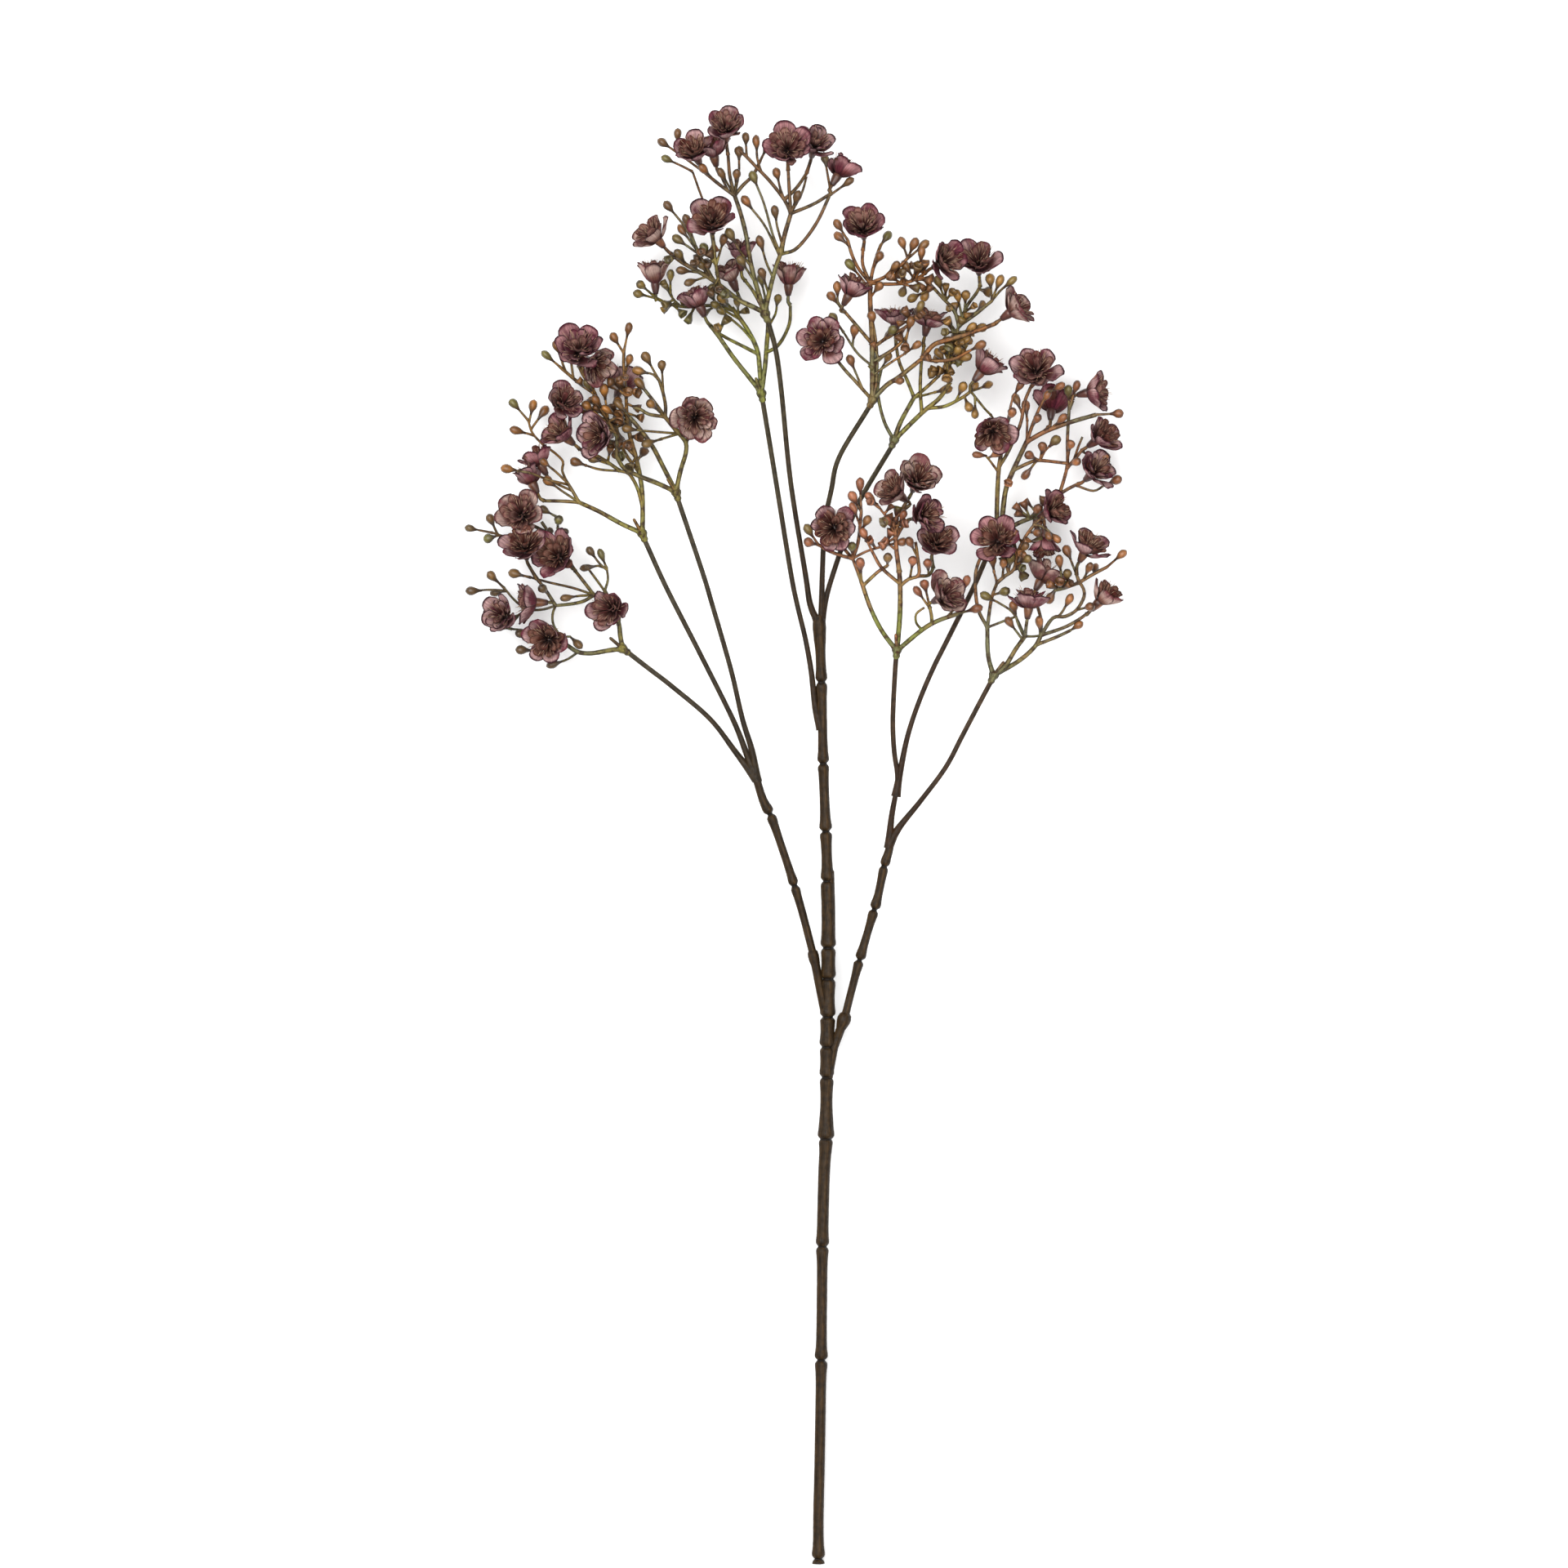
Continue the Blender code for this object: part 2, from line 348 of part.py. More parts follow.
        ("to_shelf", "fan", TWIG, (-86.5, 192), (-95, 192.8, 18.5), (-102, 193.2, 17.5)),
        ("top_left", "fan", TWIG, (-90, 200), (-98, 205.5, 22), (-105.5, 211.8, 24)),
        ("left", "", ARM, (-69, 138), (-78, 141.8, 20), (-88, 147.3, 20), (-97.5, 151.7, 20)),
        ("left_end", "left", TWIG, (-97.5, 151.7), (-106, 152.2, 20), (-113, 152.3, 20.5)),
        ("left_up", "left", TWIG, (-97.5, 151.7), (-100.3, 156.7, 21), (-103, 161, 21)),
        ("left_hook", "left_up", STALK, (-103, 161), (-105, 166, 18), (-104.7, 170, 16),
         (-108.5, 174, 12.5), (-114, 178, 11.5), (-118.5, 183, 12), (-120.3, 188.5, 13)),
        ("left_out", "left_up", STALK, (-102, 159.5), (-110, 161.3, 28), (-119, 164.5, 32.5)),
        ("to_side", "left_up", STALK, (-100.3, 156.7), (-106.5, 159.5, 18.5), (-110, 161.3, 18)),
    ),
    "spray_j": (
        ("left", "", ARM, (-78, 86.2), (-84, 85.4, 16), (-92, 84.1, 16), (-98, 84.7, 15.5),
         (-102.5, 87.5, 15)),
        ("left_peg", "left", STALK, (-98, 84.7), (-102.3, 81.6, 15.5), (-106, 80.2, 15)),
        ("to_low", "left", TWIG, (-102.5, 87.5), (-106.5, 89.3, 14)),
        ("under", "left", STALK, (-102.5, 87.5), (-112, 92.8, 11.5), (-120, 94.2, 12), (-127.5, 95, 12)),
        ("far_peg", "left", STALK, (-102.5, 87.5), (-110, 86, 11.5), (-118, 85.4, 12.5)),
        ("up", "", ARM, (-78, 86.2), (-79, 92, 16), (-79.8, 98, 16), (-83, 106, 16), (-86, 112, 17)),
        ("across", "up", TWIG, (-85, 110), (-90.8, 110.2, 18)),
        ("to_edge", "across", TWIG, (-90.8, 110.2), (-95, 107.6, 18), (-100, 106.3, 18.5),
         (-108, 105.4, 19)),
        ("to_mid", "to_edge", TWIG, (-108, 105.4), (-110.8, 110, 20), (-113.5, 114, 21),
         (-116.3, 117.3, 21.5)),
        ("down", "to_edge", STALK, (-108, 105.4), (-109.3, 101.5, 17), (-109, 97, 13), (-106, 92, 13)),
        ("long_bud", "across", STALK, (-90.8, 110.2), (-100, 113.3, 19), (-110, 115.6, 20),
         (-119, 118, 20)),
        ("to_right_top", "across", TWIG, (-90.8, 110.2), (-96, 117, 19.5), (-100, 122, 19)),
        ("peg_top", "up", STALK, (-86, 112), (-90, 117.5, 20), (-94.5, 123.5, 22)),
        ("bud_fork", "up", STALK, (-86, 112), (-84.5, 117, 18), (-85, 122, 18.5)),
        ("behind", "to_right_top", TWIG, (-99, 120.8), (-105, 130, 15), (-110.5, 137.5, 15.5),
         (-114.3, 143, 16.5)),
        ("hook", "behind", STALK, (-107.7, 133.5), (-107, 140.5, 19), (-107.2, 145, 20)),
        ("to_top", "behind", TWIG, (-110.5, 137.5), (-117, 140.8, 14.5), (-120.5, 142.5, 14)),
        ("far_left", "behind", STALK, (-110.5, 137.5), (-120, 135.5, 13), (-129, 136, 15), (-136, 138, 17)),
        ("far_low", "to_edge", STALK, (-108, 105.4), (-114, 103.8, 8.8), (-121, 104, 7.5), (-126.5, 108, 9),
         (-131, 113.3, 11)),
        ("to_far", "far_low", STALK, (-121, 104), (-125.5, 100.8, 9.5)),
    ),
}

# Buds of each spray: the twig they leave, foot (x, y), then any bend and the middle of the bud
BUDS = {
    "spray_a": (
        ("left_up", (-50, 274.6), (-57, 283, 38)),
        ("left_up", (-44.5, 264.3), (-48.8, 276.3, 42)),
        ("left_up", (-43.5, 262), (-52.5, 268.3, 36)),
        ("left", (-38, 251), (-42.3, 256.8, 36.5)),
        ("left", (-43, 254), (-50.5, 254.8, 34)),
        ("left", (-40, 252.3), (-47.2, 249.8, 35.5)),
        ("to_big", (-36, 257), (-41, 264.5, 36.5)),
        ("far_up", (-46.5, 299), (-51, 301.3, 36.5), (-57.5, 304.3, 37)),
        ("pair_left", (-53, 307.2), (-59.3, 311.6, 35)),
        ("pair_left", (-50, 305), (-53.2, 309.5, 36), (-53.1, 315, 36)),
        ("middle", (-27.7, 288), (-33.2, 297, 48)),
        ("fork_left", (-37, 295), (-41.2, 299.3, 47.5)),
        ("fork_right", (-16.5, 303), (-13.4, 309.3, 43.5)),
        ("long_left", (-22.3, 305), (-22.7, 312.8, 48.5)),
        ("long_left", (-5.5, 286), (-7.2, 290.5, 46), (-8.8, 297.2, 47)),
        ("right_up", (-2.6, 280), (0, 286.8, 46.5)),
        ("long_right", (14.5, 288), (22.5, 293.6, 43)),
        ("long_right", (15.2, 289.5), (13.8, 297, 47.5), (12.7, 303.6, 46)),
        ("right", (-7.2, 262), (-10.5, 270, 44), (-14.5, 284, 45), (-19, 295.5, 45.5)),
        ("right", (-7.5, 261), (-14, 274, 46), (-22.2, 284.8, 47)),
        ("right_up", (-6.5, 266), (-8.7, 274, 46.5), (-9.6, 280, 47.5)),
        ("right", (-10.5, 251.5), (-13.5, 258, 42.5), (-16, 266.5, 44)),
        ("middle", (-20.2, 256), (-25.5, 263.5, 44), (-29.3, 270, 45.5)),
        ("middle", (-18.3, 249), (-24.4, 258.3, 43)),
        ("right", (-12.3, 244), (-15.2, 252.5, 44)),
    ),
    "spray_b": (
        ("long_left", (-62.5, 243), (-70.3, 244.9, 17)),
        ("long_left", (-62.5, 243), (-69.3, 248.5, 23.5)),
        ("long_peg", (-56.5, 246), (-56.4, 252.3, 29)),
        ("middle", (-26, 234.8), (-26.5, 240.8, 24)),
        ("middle", (-27.5, 237), (-37, 246.8, 26.5)),
        ("right", (-14, 243), (-15.8, 251, 15.5)),
        ("right", (-12.9, 230), (-9.5, 236, 19.5), (-8.5, 242, 22)),
        ("inner", (-29.5, 233.8), (-33.3, 236.6, 27)),
    ),
    "spray_c": (
        ("up_left", (22.8, 268), (18.8, 274.4, 42)),
        ("up_left", (23.6, 265.5), (19.4, 269.3, 39.5)),
        ("centre", (32.8, 246), (28.5, 251.5, 43.5), (24.3, 256.5, 44.5)),
        ("up", (37.5, 266), (40, 269.6, 36.5)),
        ("up", (34, 255), (36.6, 260.3, 44.5)),
        ("up_right", (49.5, 260), (47.2, 266.3, 46)),
        ("up_right", (48.5, 259), (56, 265.3, 45)),
        ("to_right", (52.5, 250.7), (49, 256, 41)),
        ("centre", (32.8, 242.5), (36.2, 246.8, 44.5)),
        ("side", (19.8, 238), (15.9, 242.5, 43)),
        ("low_side", (21, 227), (16.8, 233, 39.5)),
        ("low_side", (25, 221), (25.7, 227.3, 41)),
        ("long_left", (29.5, 201.8), (24.3, 214, 38.5)),
        ("thick", (42, 204.8), (45.4, 205.4, 38.5)),
        ("far_low", (76.5, 218.5), (81.3, 221, 41)),
        ("branch_high", (38, 223), (42.2, 227.5, 41.5)),
        ("branch_mid", (49, 225), (50.6, 231, 40.5)),
        ("branch_low", (48, 217.5), (53, 221, 39)),
    ),
    "spray_d": (
        ("left", (37.8, 211), (40.6, 216, 25)),
        ("short", (63.5, 208), (66.6, 211.6, 24)),
        ("short_low", (61.5, 200.8), (66.2, 202, 20.5)),
        ("long_right", (71, 197), (74, 202.5, 25.5)),
        ("long_right", (77.8, 201.3), (81, 202.3, 22), (85, 204, 17.5)),
        ("hanging", (80, 198.8), (79.8, 192, 22)),
        ("hanging", (86.8, 191), (89.2, 187.6, 15)),
        ("cluster", (67.6, 212), (64, 217.5, 26)),
        ("cluster", (67.6, 213), (75, 216, 29)),
        ("cluster", (71.5, 227), (82, 229.3, 31)),
        ("fork_up", (75, 237), (75.5, 243.3, 34)),
        ("fork_left", (66.5, 241.5), (63.4, 249.3, 35)),
        ("fork_left", (61, 247.4), (52.4, 243, 33)),
        ("fork_right", (87.3, 241.5), (86.5, 250.3, 31)),
        ("fork_right", (87, 241.2), (91, 246, 31.5), (95.4, 249.7, 32)),
    ),
    "spray_e": (
        ("far_left", (9.5, 132.6), (5.6, 138.5, 38)),
        ("far_left", (10.5, 132), (6, 133.2, 40)),
        ("left_up", (28.8, 147), (28.3, 158.5, 43)),
        ("left_up", (28.3, 141), (25.6, 147.8, 41)),
        ("left", (29, 115.5), (28.4, 123.2, 41)),
        ("left_bud", (40.5, 123), (40.6, 125.9, 42)),
        ("left_end", (25, 126.2), (24.6, 131, 42)),
        ("centre_left", (33.8, 129), (30, 136.8, 43)),
        ("centre_right", (50.5, 117.3), (51.7, 124.5, 43)),
        ("centre_right", (53.9, 127), (50.6, 133, 44)),
        ("centre_up", (44, 137), (40.7, 142.6, 45)),
        ("centre_up", (44, 138), (47.2, 145, 46)),
        ("curl", (36, 150), (33.2, 152.8, 45)),
        ("right", (72, 101.6), (79.4, 103.6, 36)),
        ("right", (67, 100), (73, 107, 36), (75.5, 115.3, 37)),
        ("to_low", (59.5, 104), (54.4, 111, 37)),
        ("to_low_right", (59, 118.8), (58.6, 123.5, 37)),
    ),
    "spray_f": (
        ("bud_fork", (84.5, 172.3), (81.7, 172.6, 28)),
        ("bud_fork", (85.5, 171.2), (88.7, 173, 30)),
        ("loop", (94.8, 187.5), (96, 191, 31)),
        ("loop", (97, 199), (99.6, 203.2, 28)),
        ("long_right", (134, 190.8), (143.3, 191.3, 23.5)),
        ("long_right", (113.5, 184.3), (118.4, 188.7, 24)),
        ("up", (105, 184.5), (107.3, 188.5, 26)),
        ("up_thin", (103.2, 188), (102.6, 194, 19)),
        ("rod", (108.5, 170.4), (104.6, 172.4, 23.5)),
        ("rod", (109, 170.4), (111, 174.5, 22.5), (115.3, 178.8, 23)),
        ("rod", (107.5, 170), (103.2, 164.8, 17)),
        ("low", (104, 144.3), (107.4, 148.2, 24)),
        ("to_end", (122, 193.5), (125, 203, 23.5)),
        ("low_up", (121.3, 171), (122.5, 177, 20)),
        ("low_up", (121, 168), (124.8, 169.5, 20)),
        ("under", (138, 159.5), (142.6, 161.5, 14)),
        ("to_mid", (127.5, 174.8), (132, 172.5, 11.5), (137.3, 172.2, 12.5)),
    ),
    "spray_g": (
        ("middle", (102, 91.5), (97, 101.5, 35), (91, 106, 35.5), (85.2, 109, 36)),
        ("middle", (101, 90), (95.4, 97.3, 33)),
        ("inner", (87.5, 110), (92.3, 111.3, 36)),
        ("inner_left", (88.2, 120), (87.5, 125.2, 34.5)),
        ("inner_right", (94.5, 119.5), (95.4, 125.5, 38)),
        ("inner_right", (97.3, 123), (102.4, 125.6, 39)),
        ("inner_right", (103.5, 138), (106.9, 137.6, 42)),
        ("inner_right", (106, 141.3), (110, 140.3, 40), (112, 136.6, 42)),
        ("low_right", (122, 94), (125.4, 96.2, 30)),
        ("loop", (117, 100), (119, 103, 34), (121.4, 107.4, 35.5)),
        ("loop", (125, 103.3), (130.3, 104.5, 39)),
        ("top_left", (115, 112), (113.6, 109.2, 34)),
        ("top_left", (121, 113.5), (120.8, 118.8, 39)),
        ("top_right", (132.5, 119.3), (133.3, 121.6, 31)),
        ("top_right", (138.5, 122.4), (144.6, 127.6, 35)),
        ("to_right", (125, 119), (121, 129, 34)),
        ("low", (108.8, 91.3), (108.4, 97.3, 33)),
    ),
    "spray_h": (
        ("side_long", (-69, 183.3), (-74.8, 184, 36.5)),
        ("side_short", (-60, 179.7), (-65.8, 177.8, 38.5)),
        ("up_high", (-61.5, 206), (-66.8, 215.3, 39)),
        ("up", (-58.8, 189.5), (-64.6, 194.8, 39.5)),
        ("middle", (-74.5, 189.3), (-78.8, 194.3, 34)),
    ),
    "spray_i": (
        ("long_bud", (-94, 168), (-98.2, 169.4, 22)),
        ("up", (-76, 190), (-79.5, 196, 27.5)),
        ("fan", (-84, 188), (-86, 201, 27.5)),
        ("fan", (-88, 195), (-93.3, 203.8, 29)),
        ("fan", (-83, 186), (-93.5, 194.3, 26.5)),
        ("tall", (-77.2, 219), (-75.2, 228.5, 31.5)),
        ("tall", (-77.2, 218), (-81.3, 224.5, 30.5)),
        ("tall", (-77, 208), (-75, 214.6, 32)),
        ("low_left", (-83, 168.5), (-90.5, 170.8, 20)),
        ("top_left", (-105.5, 211.8), (-111.3, 216.8, 25)),
        ("top_left", (-103.5, 210), (-107.2, 221, 24.5)),
        ("top_left", (-100, 207), (-102.3, 225, 23.5)),
        ("left_out", (-119, 164.5), (-128.6, 166.2, 33)),
        ("left_up", (-102.5, 160.3), (-107.5, 165, 25), (-112.5, 169, 28.5)),
        ("left", (-97, 151.5), (-104.5, 156.3, 23.5), (-110.6, 160.7, 23.5)),
        ("left_hook", (-120.3, 188.5), (-126.4, 195.5, 14)),
        ("left_hook", (-117.5, 181.9), (-125, 183.8, 13)),
        ("left_hook", (-119, 184.5), (-113.8, 192, 10)),
    ),
    "spray_j": (
        ("left", (-102.5, 87.5), (-104, 91, 15), (-101.5, 91.6, 16), (-98.6, 88.8, 17)),
        ("far_peg", (-118, 85.4), (-122.6, 85.6, 13)),
        ("under", (-127.5, 95), (-132.8, 95.8, 12)),
        ("under", (-118, 94), (-122.8, 93.2, 15)),
        ("across", (-90.8, 110.2), (-97, 109.8, 19.5), (-102.3, 109, 21.5)),
        ("to_mid", (-110.8, 110), (-113.3, 112.6, 25.5)),
        ("long_bud", (-119, 118), (-125.6, 119.6, 19)),
        ("bud_fork", (-85, 122), (-87.2, 127.6, 19)),
        ("bud_fork", (-85, 122), (-89, 123.3, 17.5), (-93.5, 122.6, 16.5)),
        ("hook", (-107.2, 145), (-112.5, 147.9, 21.5)),
        ("hook", (-107.1, 137.5), (-104.5, 138.2, 20.5)),
        ("behind", (-110.5, 137.5), (-110.5, 138.5, 21)),
        ("far_left", (-136, 138), (-145.6, 139.9, 18)),
        ("far_left", (-134, 137.5), (-136.8, 143.6, 19)),
        ("far_left", (-133, 137.2), (-137.5, 135.8, 15)),
        ("far_low", (-131, 113.3), (-136.2, 118.3, 13)),
        ("far_low", (-130, 112.2), (-134.4, 111.4, 8.5)),
        ("far_low", (-130, 112.2), (-137.5, 112.6, 12), (-144.8, 112.2, 12.5)),
    ),
}

# Blooms: name, spray and twig they sit on, foot (x, y), middle, facing (azimuth, rise), radius, depth, lobes
BLOOMS = (
    ("far", "spray_a", "left", (-56, 262.5), (-65, 272, 33), (132, 25), 8.5, 8.0, 5),
    ("big", "spray_a", "to_big", (-37, 266), (-38, 277.3, 50), (95, 50), 9.5, 8.5, 5),
    ("left", "spray_a", "fork_left", (-41.5, 298.6), (-46, 308, 49), (115, 45), 8.5, 8.0, 5),
    ("mid", "spray_a", "pair_mid", (-35, 299), (-37.8, 309.5, 45), (103, 20), 7.5, 8.0, 5),
    ("top", "spray_a", "fork_up", (-30.6, 306), (-31.5, 318.3, 52), (92, 48), 9.0, 8.0, 5),
    ("front", "spray_a", "to_front", (-3.8, 299), (-4, 309, 55), (90, 66), 9.8, 7.5, 5),
    ("pale", "spray_a", "to_pale", (4.4, 298), (8.3, 311.5, 49), (75, 45), 8.5, 8.0, 5),
    ("back", "spray_a", "long_right", (15.2, 289.5), (20.3, 300.6, 40), (60, -12), 8.0, 8.0, 5),
    ("low", "spray_a", "low", (-23, 250.5), (-25.5, 264.3, 29), (95, 12), 7.2, 8.0, 5),
    ("lower", "spray_a", "low_left", (-25, 241.5), (-30.2, 254.5, 24.5), (112, 10), 6.8, 7.5, 5),
    ("mid", "spray_b", "left", (-38.3, 230.3), (-45, 243, 24), (115, 5), 7.5, 8.0, 5),
    ("left", "spray_b", "long_left", (-62.5, 243), (-63.5, 255, 17), (92, 3), 7.3, 9.5, 5),
    ("right", "spray_b", "to_right", (-2.8, 240), (-3.4, 254, 18), (88, 5), 7.3, 9.0, 5),
    ("big", "spray_c", "to_big", (29.5, 263.5), (29.5, 274.3, 50), (95, 55), 9.5, 8.5, 6),
    ("side", "spray_c", "side", (21.5, 236), (25.2, 247.2, 51), (62, 10), 7.2, 8.5, 5),
    ("left", "spray_c", "long_left", (16, 217.5), (11.2, 223.5, 43), (135, 78), 10.0, 7.0, 6),
    ("right", "spray_c", "to_right", (57, 253.3), (66.8, 258.8, 46), (25, 45), 9.2, 8.0, 5),
    ("far", "spray_c", "far", (88.5, 231), (98.3, 238, 40), (35, 20), 8.8, 7.5, 5),
    ("left", "spray_d", "to_left", (44.6, 221), (43.8, 235.0, 26), (93, 8), 8.6, 6.5, 5),
    ("mid", "spray_d", "upright", (56.9, 221), (59.0, 234.0, 26), (78, 8), 8.6, 6.5, 5),
    ("top", "spray_d", "fork_up", (82, 248), (81, 260.0, 33.5), (95, 45), 9.8, 8.0, 5),
    ("right", "spray_d", "long_right", (77.8, 201.3), (85.3, 213.5, 26), (52, -5), 8.0, 9.0, 5),
    ("left", "spray_e", "to_left", (18.2, 136.5), (16.6, 139.6, 46), (200, 82), 9.9, 7.0, 6),
    ("mid", "spray_e", "to_mid", (49.5, 142.8), (58.3, 145, 47), (10, 45), 8.5, 8.0, 5),
    ("top", "spray_e", "to_top", (46, 146.5), (54.2, 161.7, 51), (65, 48), 10.0, 8.0, 5),
    ("top_left", "spray_e", "to_top", (46, 146.5), (43.1, 156.7, 49.5), (140, 35), 8.2, 8.0, 5),
    ("low_right", "spray_e", "to_low_right", (61, 122), (62.8, 134, 39.5), (70, 52), 8.8, 7.5, 5),
    ("low", "spray_e", "to_low", (59.5, 104), (66.8, 110, 45), (28, 42), 9.5, 8.0, 5),
    ("left", "spray_f", "to_left", (87.2, 183.5), (87.9, 182, 35), (290, 68), 9.3, 7.5, 5),
    ("top", "spray_f", "to_top", (104.8, 203.3), (106.6, 211, 34), (100, 64), 10.2, 8.0, 6),
    ("back", "spray_f", "to_back", (112.5, 185.2), (114.5, 197.2, 10.95), (85, -25), 9.6, 8.5, 5),
    ("end", "spray_f", "to_end", (123.7, 197.2), (134.3, 201.5, 23), (12, 15), 8.0, 8.0, 5),
    ("right", "spray_f", "to_mid", (127.5, 174.8), (137.2, 181.5, 23), (35, 30), 8.2, 8.0, 5),
    ("low_right", "spray_f", "to_low", (126, 160), (134.6, 166.3, 20), (40, 42), 8.0, 8.0, 5),
    ("low", "spray_f", "low", (106, 145), (115.5, 148.3, 26), (25, 35), 8.0, 8.0, 5),
    ("left", "spray_g", "left_up", (87, 131.5), (89.2, 134.8, 41), (120, 70), 9.8, 7.5, 6),
    ("hidden", "spray_g", "hang", (109.5, 144.5), (110.8, 131.8, 32), (271, 12), 6.8, 7.5, 5),
    ("right", "spray_g", "to_right", (125, 119), (130.2, 132.3, 42), (62, 24), 9.0, 8.0, 5),
    ("mid", "spray_g", "to_mid", (107.8, 105), (111, 120.2, 24), (62, -10), 9.8, 8.0, 5),
    ("low", "spray_g", "middle", (102, 91.5), (104, 107.8, 44), (82, 4), 9.5, 7.0, 5),
    ("low_right", "spray_g", "to_low_right", (129.2, 101.3), (138.3, 110, 34), (45, 15), 7.5, 8.5, 5),
    ("main", "spray_h", "to_main", (-46.3, 187), (-45.3, 188.6, 45), (300, 80), 10.4, 7.5, 6),
    ("left", "spray_h", "left", (-80.5, 172), (-89, 181, 41), (180, 45), 9.6, 8.0, 5),
    ("low", "spray_i", "to_low", (-81.5, 193), (-78, 206.5, 9.16), (70, -25), 9.2, 8.0, 5),
    ("right", "spray_i", "to_top", (-95.5, 208.5), (-89.3, 212.3, 34), (325, 48), 8.5, 8.0, 5),
    ("top", "spray_i", "to_top", (-97.5, 212.5), (-97, 220, 40), (90, 62), 10.8, 8.5, 6),
    ("shelf", "spray_i", "to_shelf", (-102, 193.2), (-103.5, 196.5, 30), (60, 62), 8.3, 7.5, 5),
    ("left_low", "spray_i", "low_left", (-97, 175.2), (-105.8, 182.8, 27), (140, 30), 9.0, 8.0, 5),
    ("side", "spray_i", "to_side", (-110, 161.3), (-116.6, 172, 19.5), (120, 5), 6.8, 7.5, 5),
    ("side_low", "spray_i", "left_end", (-113, 152.3), (-120.3, 163.8, 21.5), (118, 0), 6.6, 8.0, 5),
    ("top", "spray_j", "to_top", (-120.5, 142.5), (-123.8, 146.6, 27), (130, 68), 9.8, 7.5, 5),
    ("mid", "spray_j", "to_mid", (-116.3, 117.3), (-121.8, 132.8, 33), (100, 42), 10.2, 7.5, 6),
    ("right_top", "spray_j", "to_right_top", (-100, 122), (-107.6, 128.2, 32), (140, 60), 10.2, 7.5, 6),
    ("edge", "spray_j", "to_edge", (-108, 105.4), (-120.4, 106.8, 20), (180, 4), 9.6, 7.0, 5),
    ("right", "spray_j", "up", (-79.8, 98), (-83.6, 103.3, 28), (190, 66), 9.3, 7.5, 6),
    ("low", "spray_j", "to_low", (-106.5, 89.3), (-112, 89.8, 26), (200, 72), 9.9, 7.5, 6),
    ("far", "spray_j", "to_far", (-125.5, 100.8), (-132.4, 101.2, 22), (160, 58), 8.8, 7.5, 5),
)

# Blooms whose petals grow into each other and hold together as one body
GROUPS = (
    ("spray_a", ("top", "left", "mid")),
    ("spray_a", ("front", "pale")),
    ("spray_a", ("low", "lower")),
    ("spray_d", ("left", "mid")),
    ("spray_e", ("top", "top_left")),
    ("spray_i", ("top", "right")),
    ("spray_i", ("left_low", "shelf")),
    ("spray_i", ("side", "side_low")),
    ("spray_j", ("top", "mid", "right_top")),
)


def clear_scene():
    for obj in list(bpy.data.objects):
        bpy.data.objects.remove(obj, do_unlink=True)


def make_materials():
    made = {}
    for name, (colour, roughness, metallic) in COLOURS.items():
        material = bpy.data.materials.new(name)
        material.use_nodes = True
        shader = material.node_tree.nodes["Principled BSDF"]
        shader.inputs["Base Color"].default_value = colour
        shader.inputs["Roughness"].default_value = roughness
        shader.inputs["Metallic"].default_value = metallic
        material.diffuse_color = colour
        made[name] = material
    return made


def guides():
    """The collection of the outlines, which are not part of the object."""
    if "guides" not in bpy.data.collections:
        made = bpy.data.collections.new("guides")
        made.hide_render = True
        bpy.context.scene.collection.children.link(made)
    return bpy.data.collections["guides"]


def profile(sides):
    """The closed outline, 1 mm from middle to corner, that a tube of this many sides takes."""
    name = f"outline_{sides}"
    if name in bpy.data.objects:
        return bpy.data.objects[name]
    curve = bpy.data.curves.new(name, "CURVE")
    spline = curve.splines.new("POLY")
    spline.points.add(sides - 1)
    spline.use_cyclic_u = True
    for i, item in enumerate(spline.points):
        item.co = (MM * math.cos(TURN * i / sides), MM * math.sin(TURN * i / sides), 0, 1)
    obj = bpy.data.objects.new(name, curve)
    obj.hide_render = True
    obj.display_type = "WIRE"
    guides().objects.link(obj)
    return obj


def tube(name, points, radii, sides):
    """A tube along the points, as a curve object."""
    curve = bpy.data.curves.new(name, "CURVE")
    curve.dimensions = "3D"
    curve.bevel_mode = "OBJECT"
    curve.bevel_object = profile(sides)
    curve.use_fill_caps = True
    spline = curve.splines.new("POLY")
    spline.points.add(len(points) - 1)
    for item, point, radius in zip(spline.points, points, radii):
        item.co = (point[0] * MM, point[1] * MM, point[2] * MM, 1)
        item.radius = radius
    obj = bpy.data.objects.new(name, curve)
    bpy.context.scene.collection.objects.link(obj)
    return obj


def to_meshes(objects):
    """Each curve object made a closed mesh object, with its caps welded."""
    bpy.context.view_layer.update()
    graph = bpy.context.evaluated_depsgraph_get()
    solids = []
    for obj in objects:
        if obj.type == "MESH":
            solids.append(obj)
            continue
        mesh = bpy.data.meshes.new_from_object(obj.evaluated_get(graph))
        work = bmesh.new()
        work.from_mesh(mesh)
        bmesh.ops.remove_doubles(work, verts=work.verts, dist=CAP_WELD)
        bmesh.ops.recalc_face_normals(work, faces=work.faces)
        work.to_mesh(mesh)
        work.free()
        solid = bpy.data.objects.new(obj.name + "_solid", mesh)
        solid.matrix_world = obj.matrix_world
        bpy.context.scene.collection.objects.link(solid)
        solids.append(solid)
        bpy.data.objects.remove(obj, do_unlink=True)
    return solids


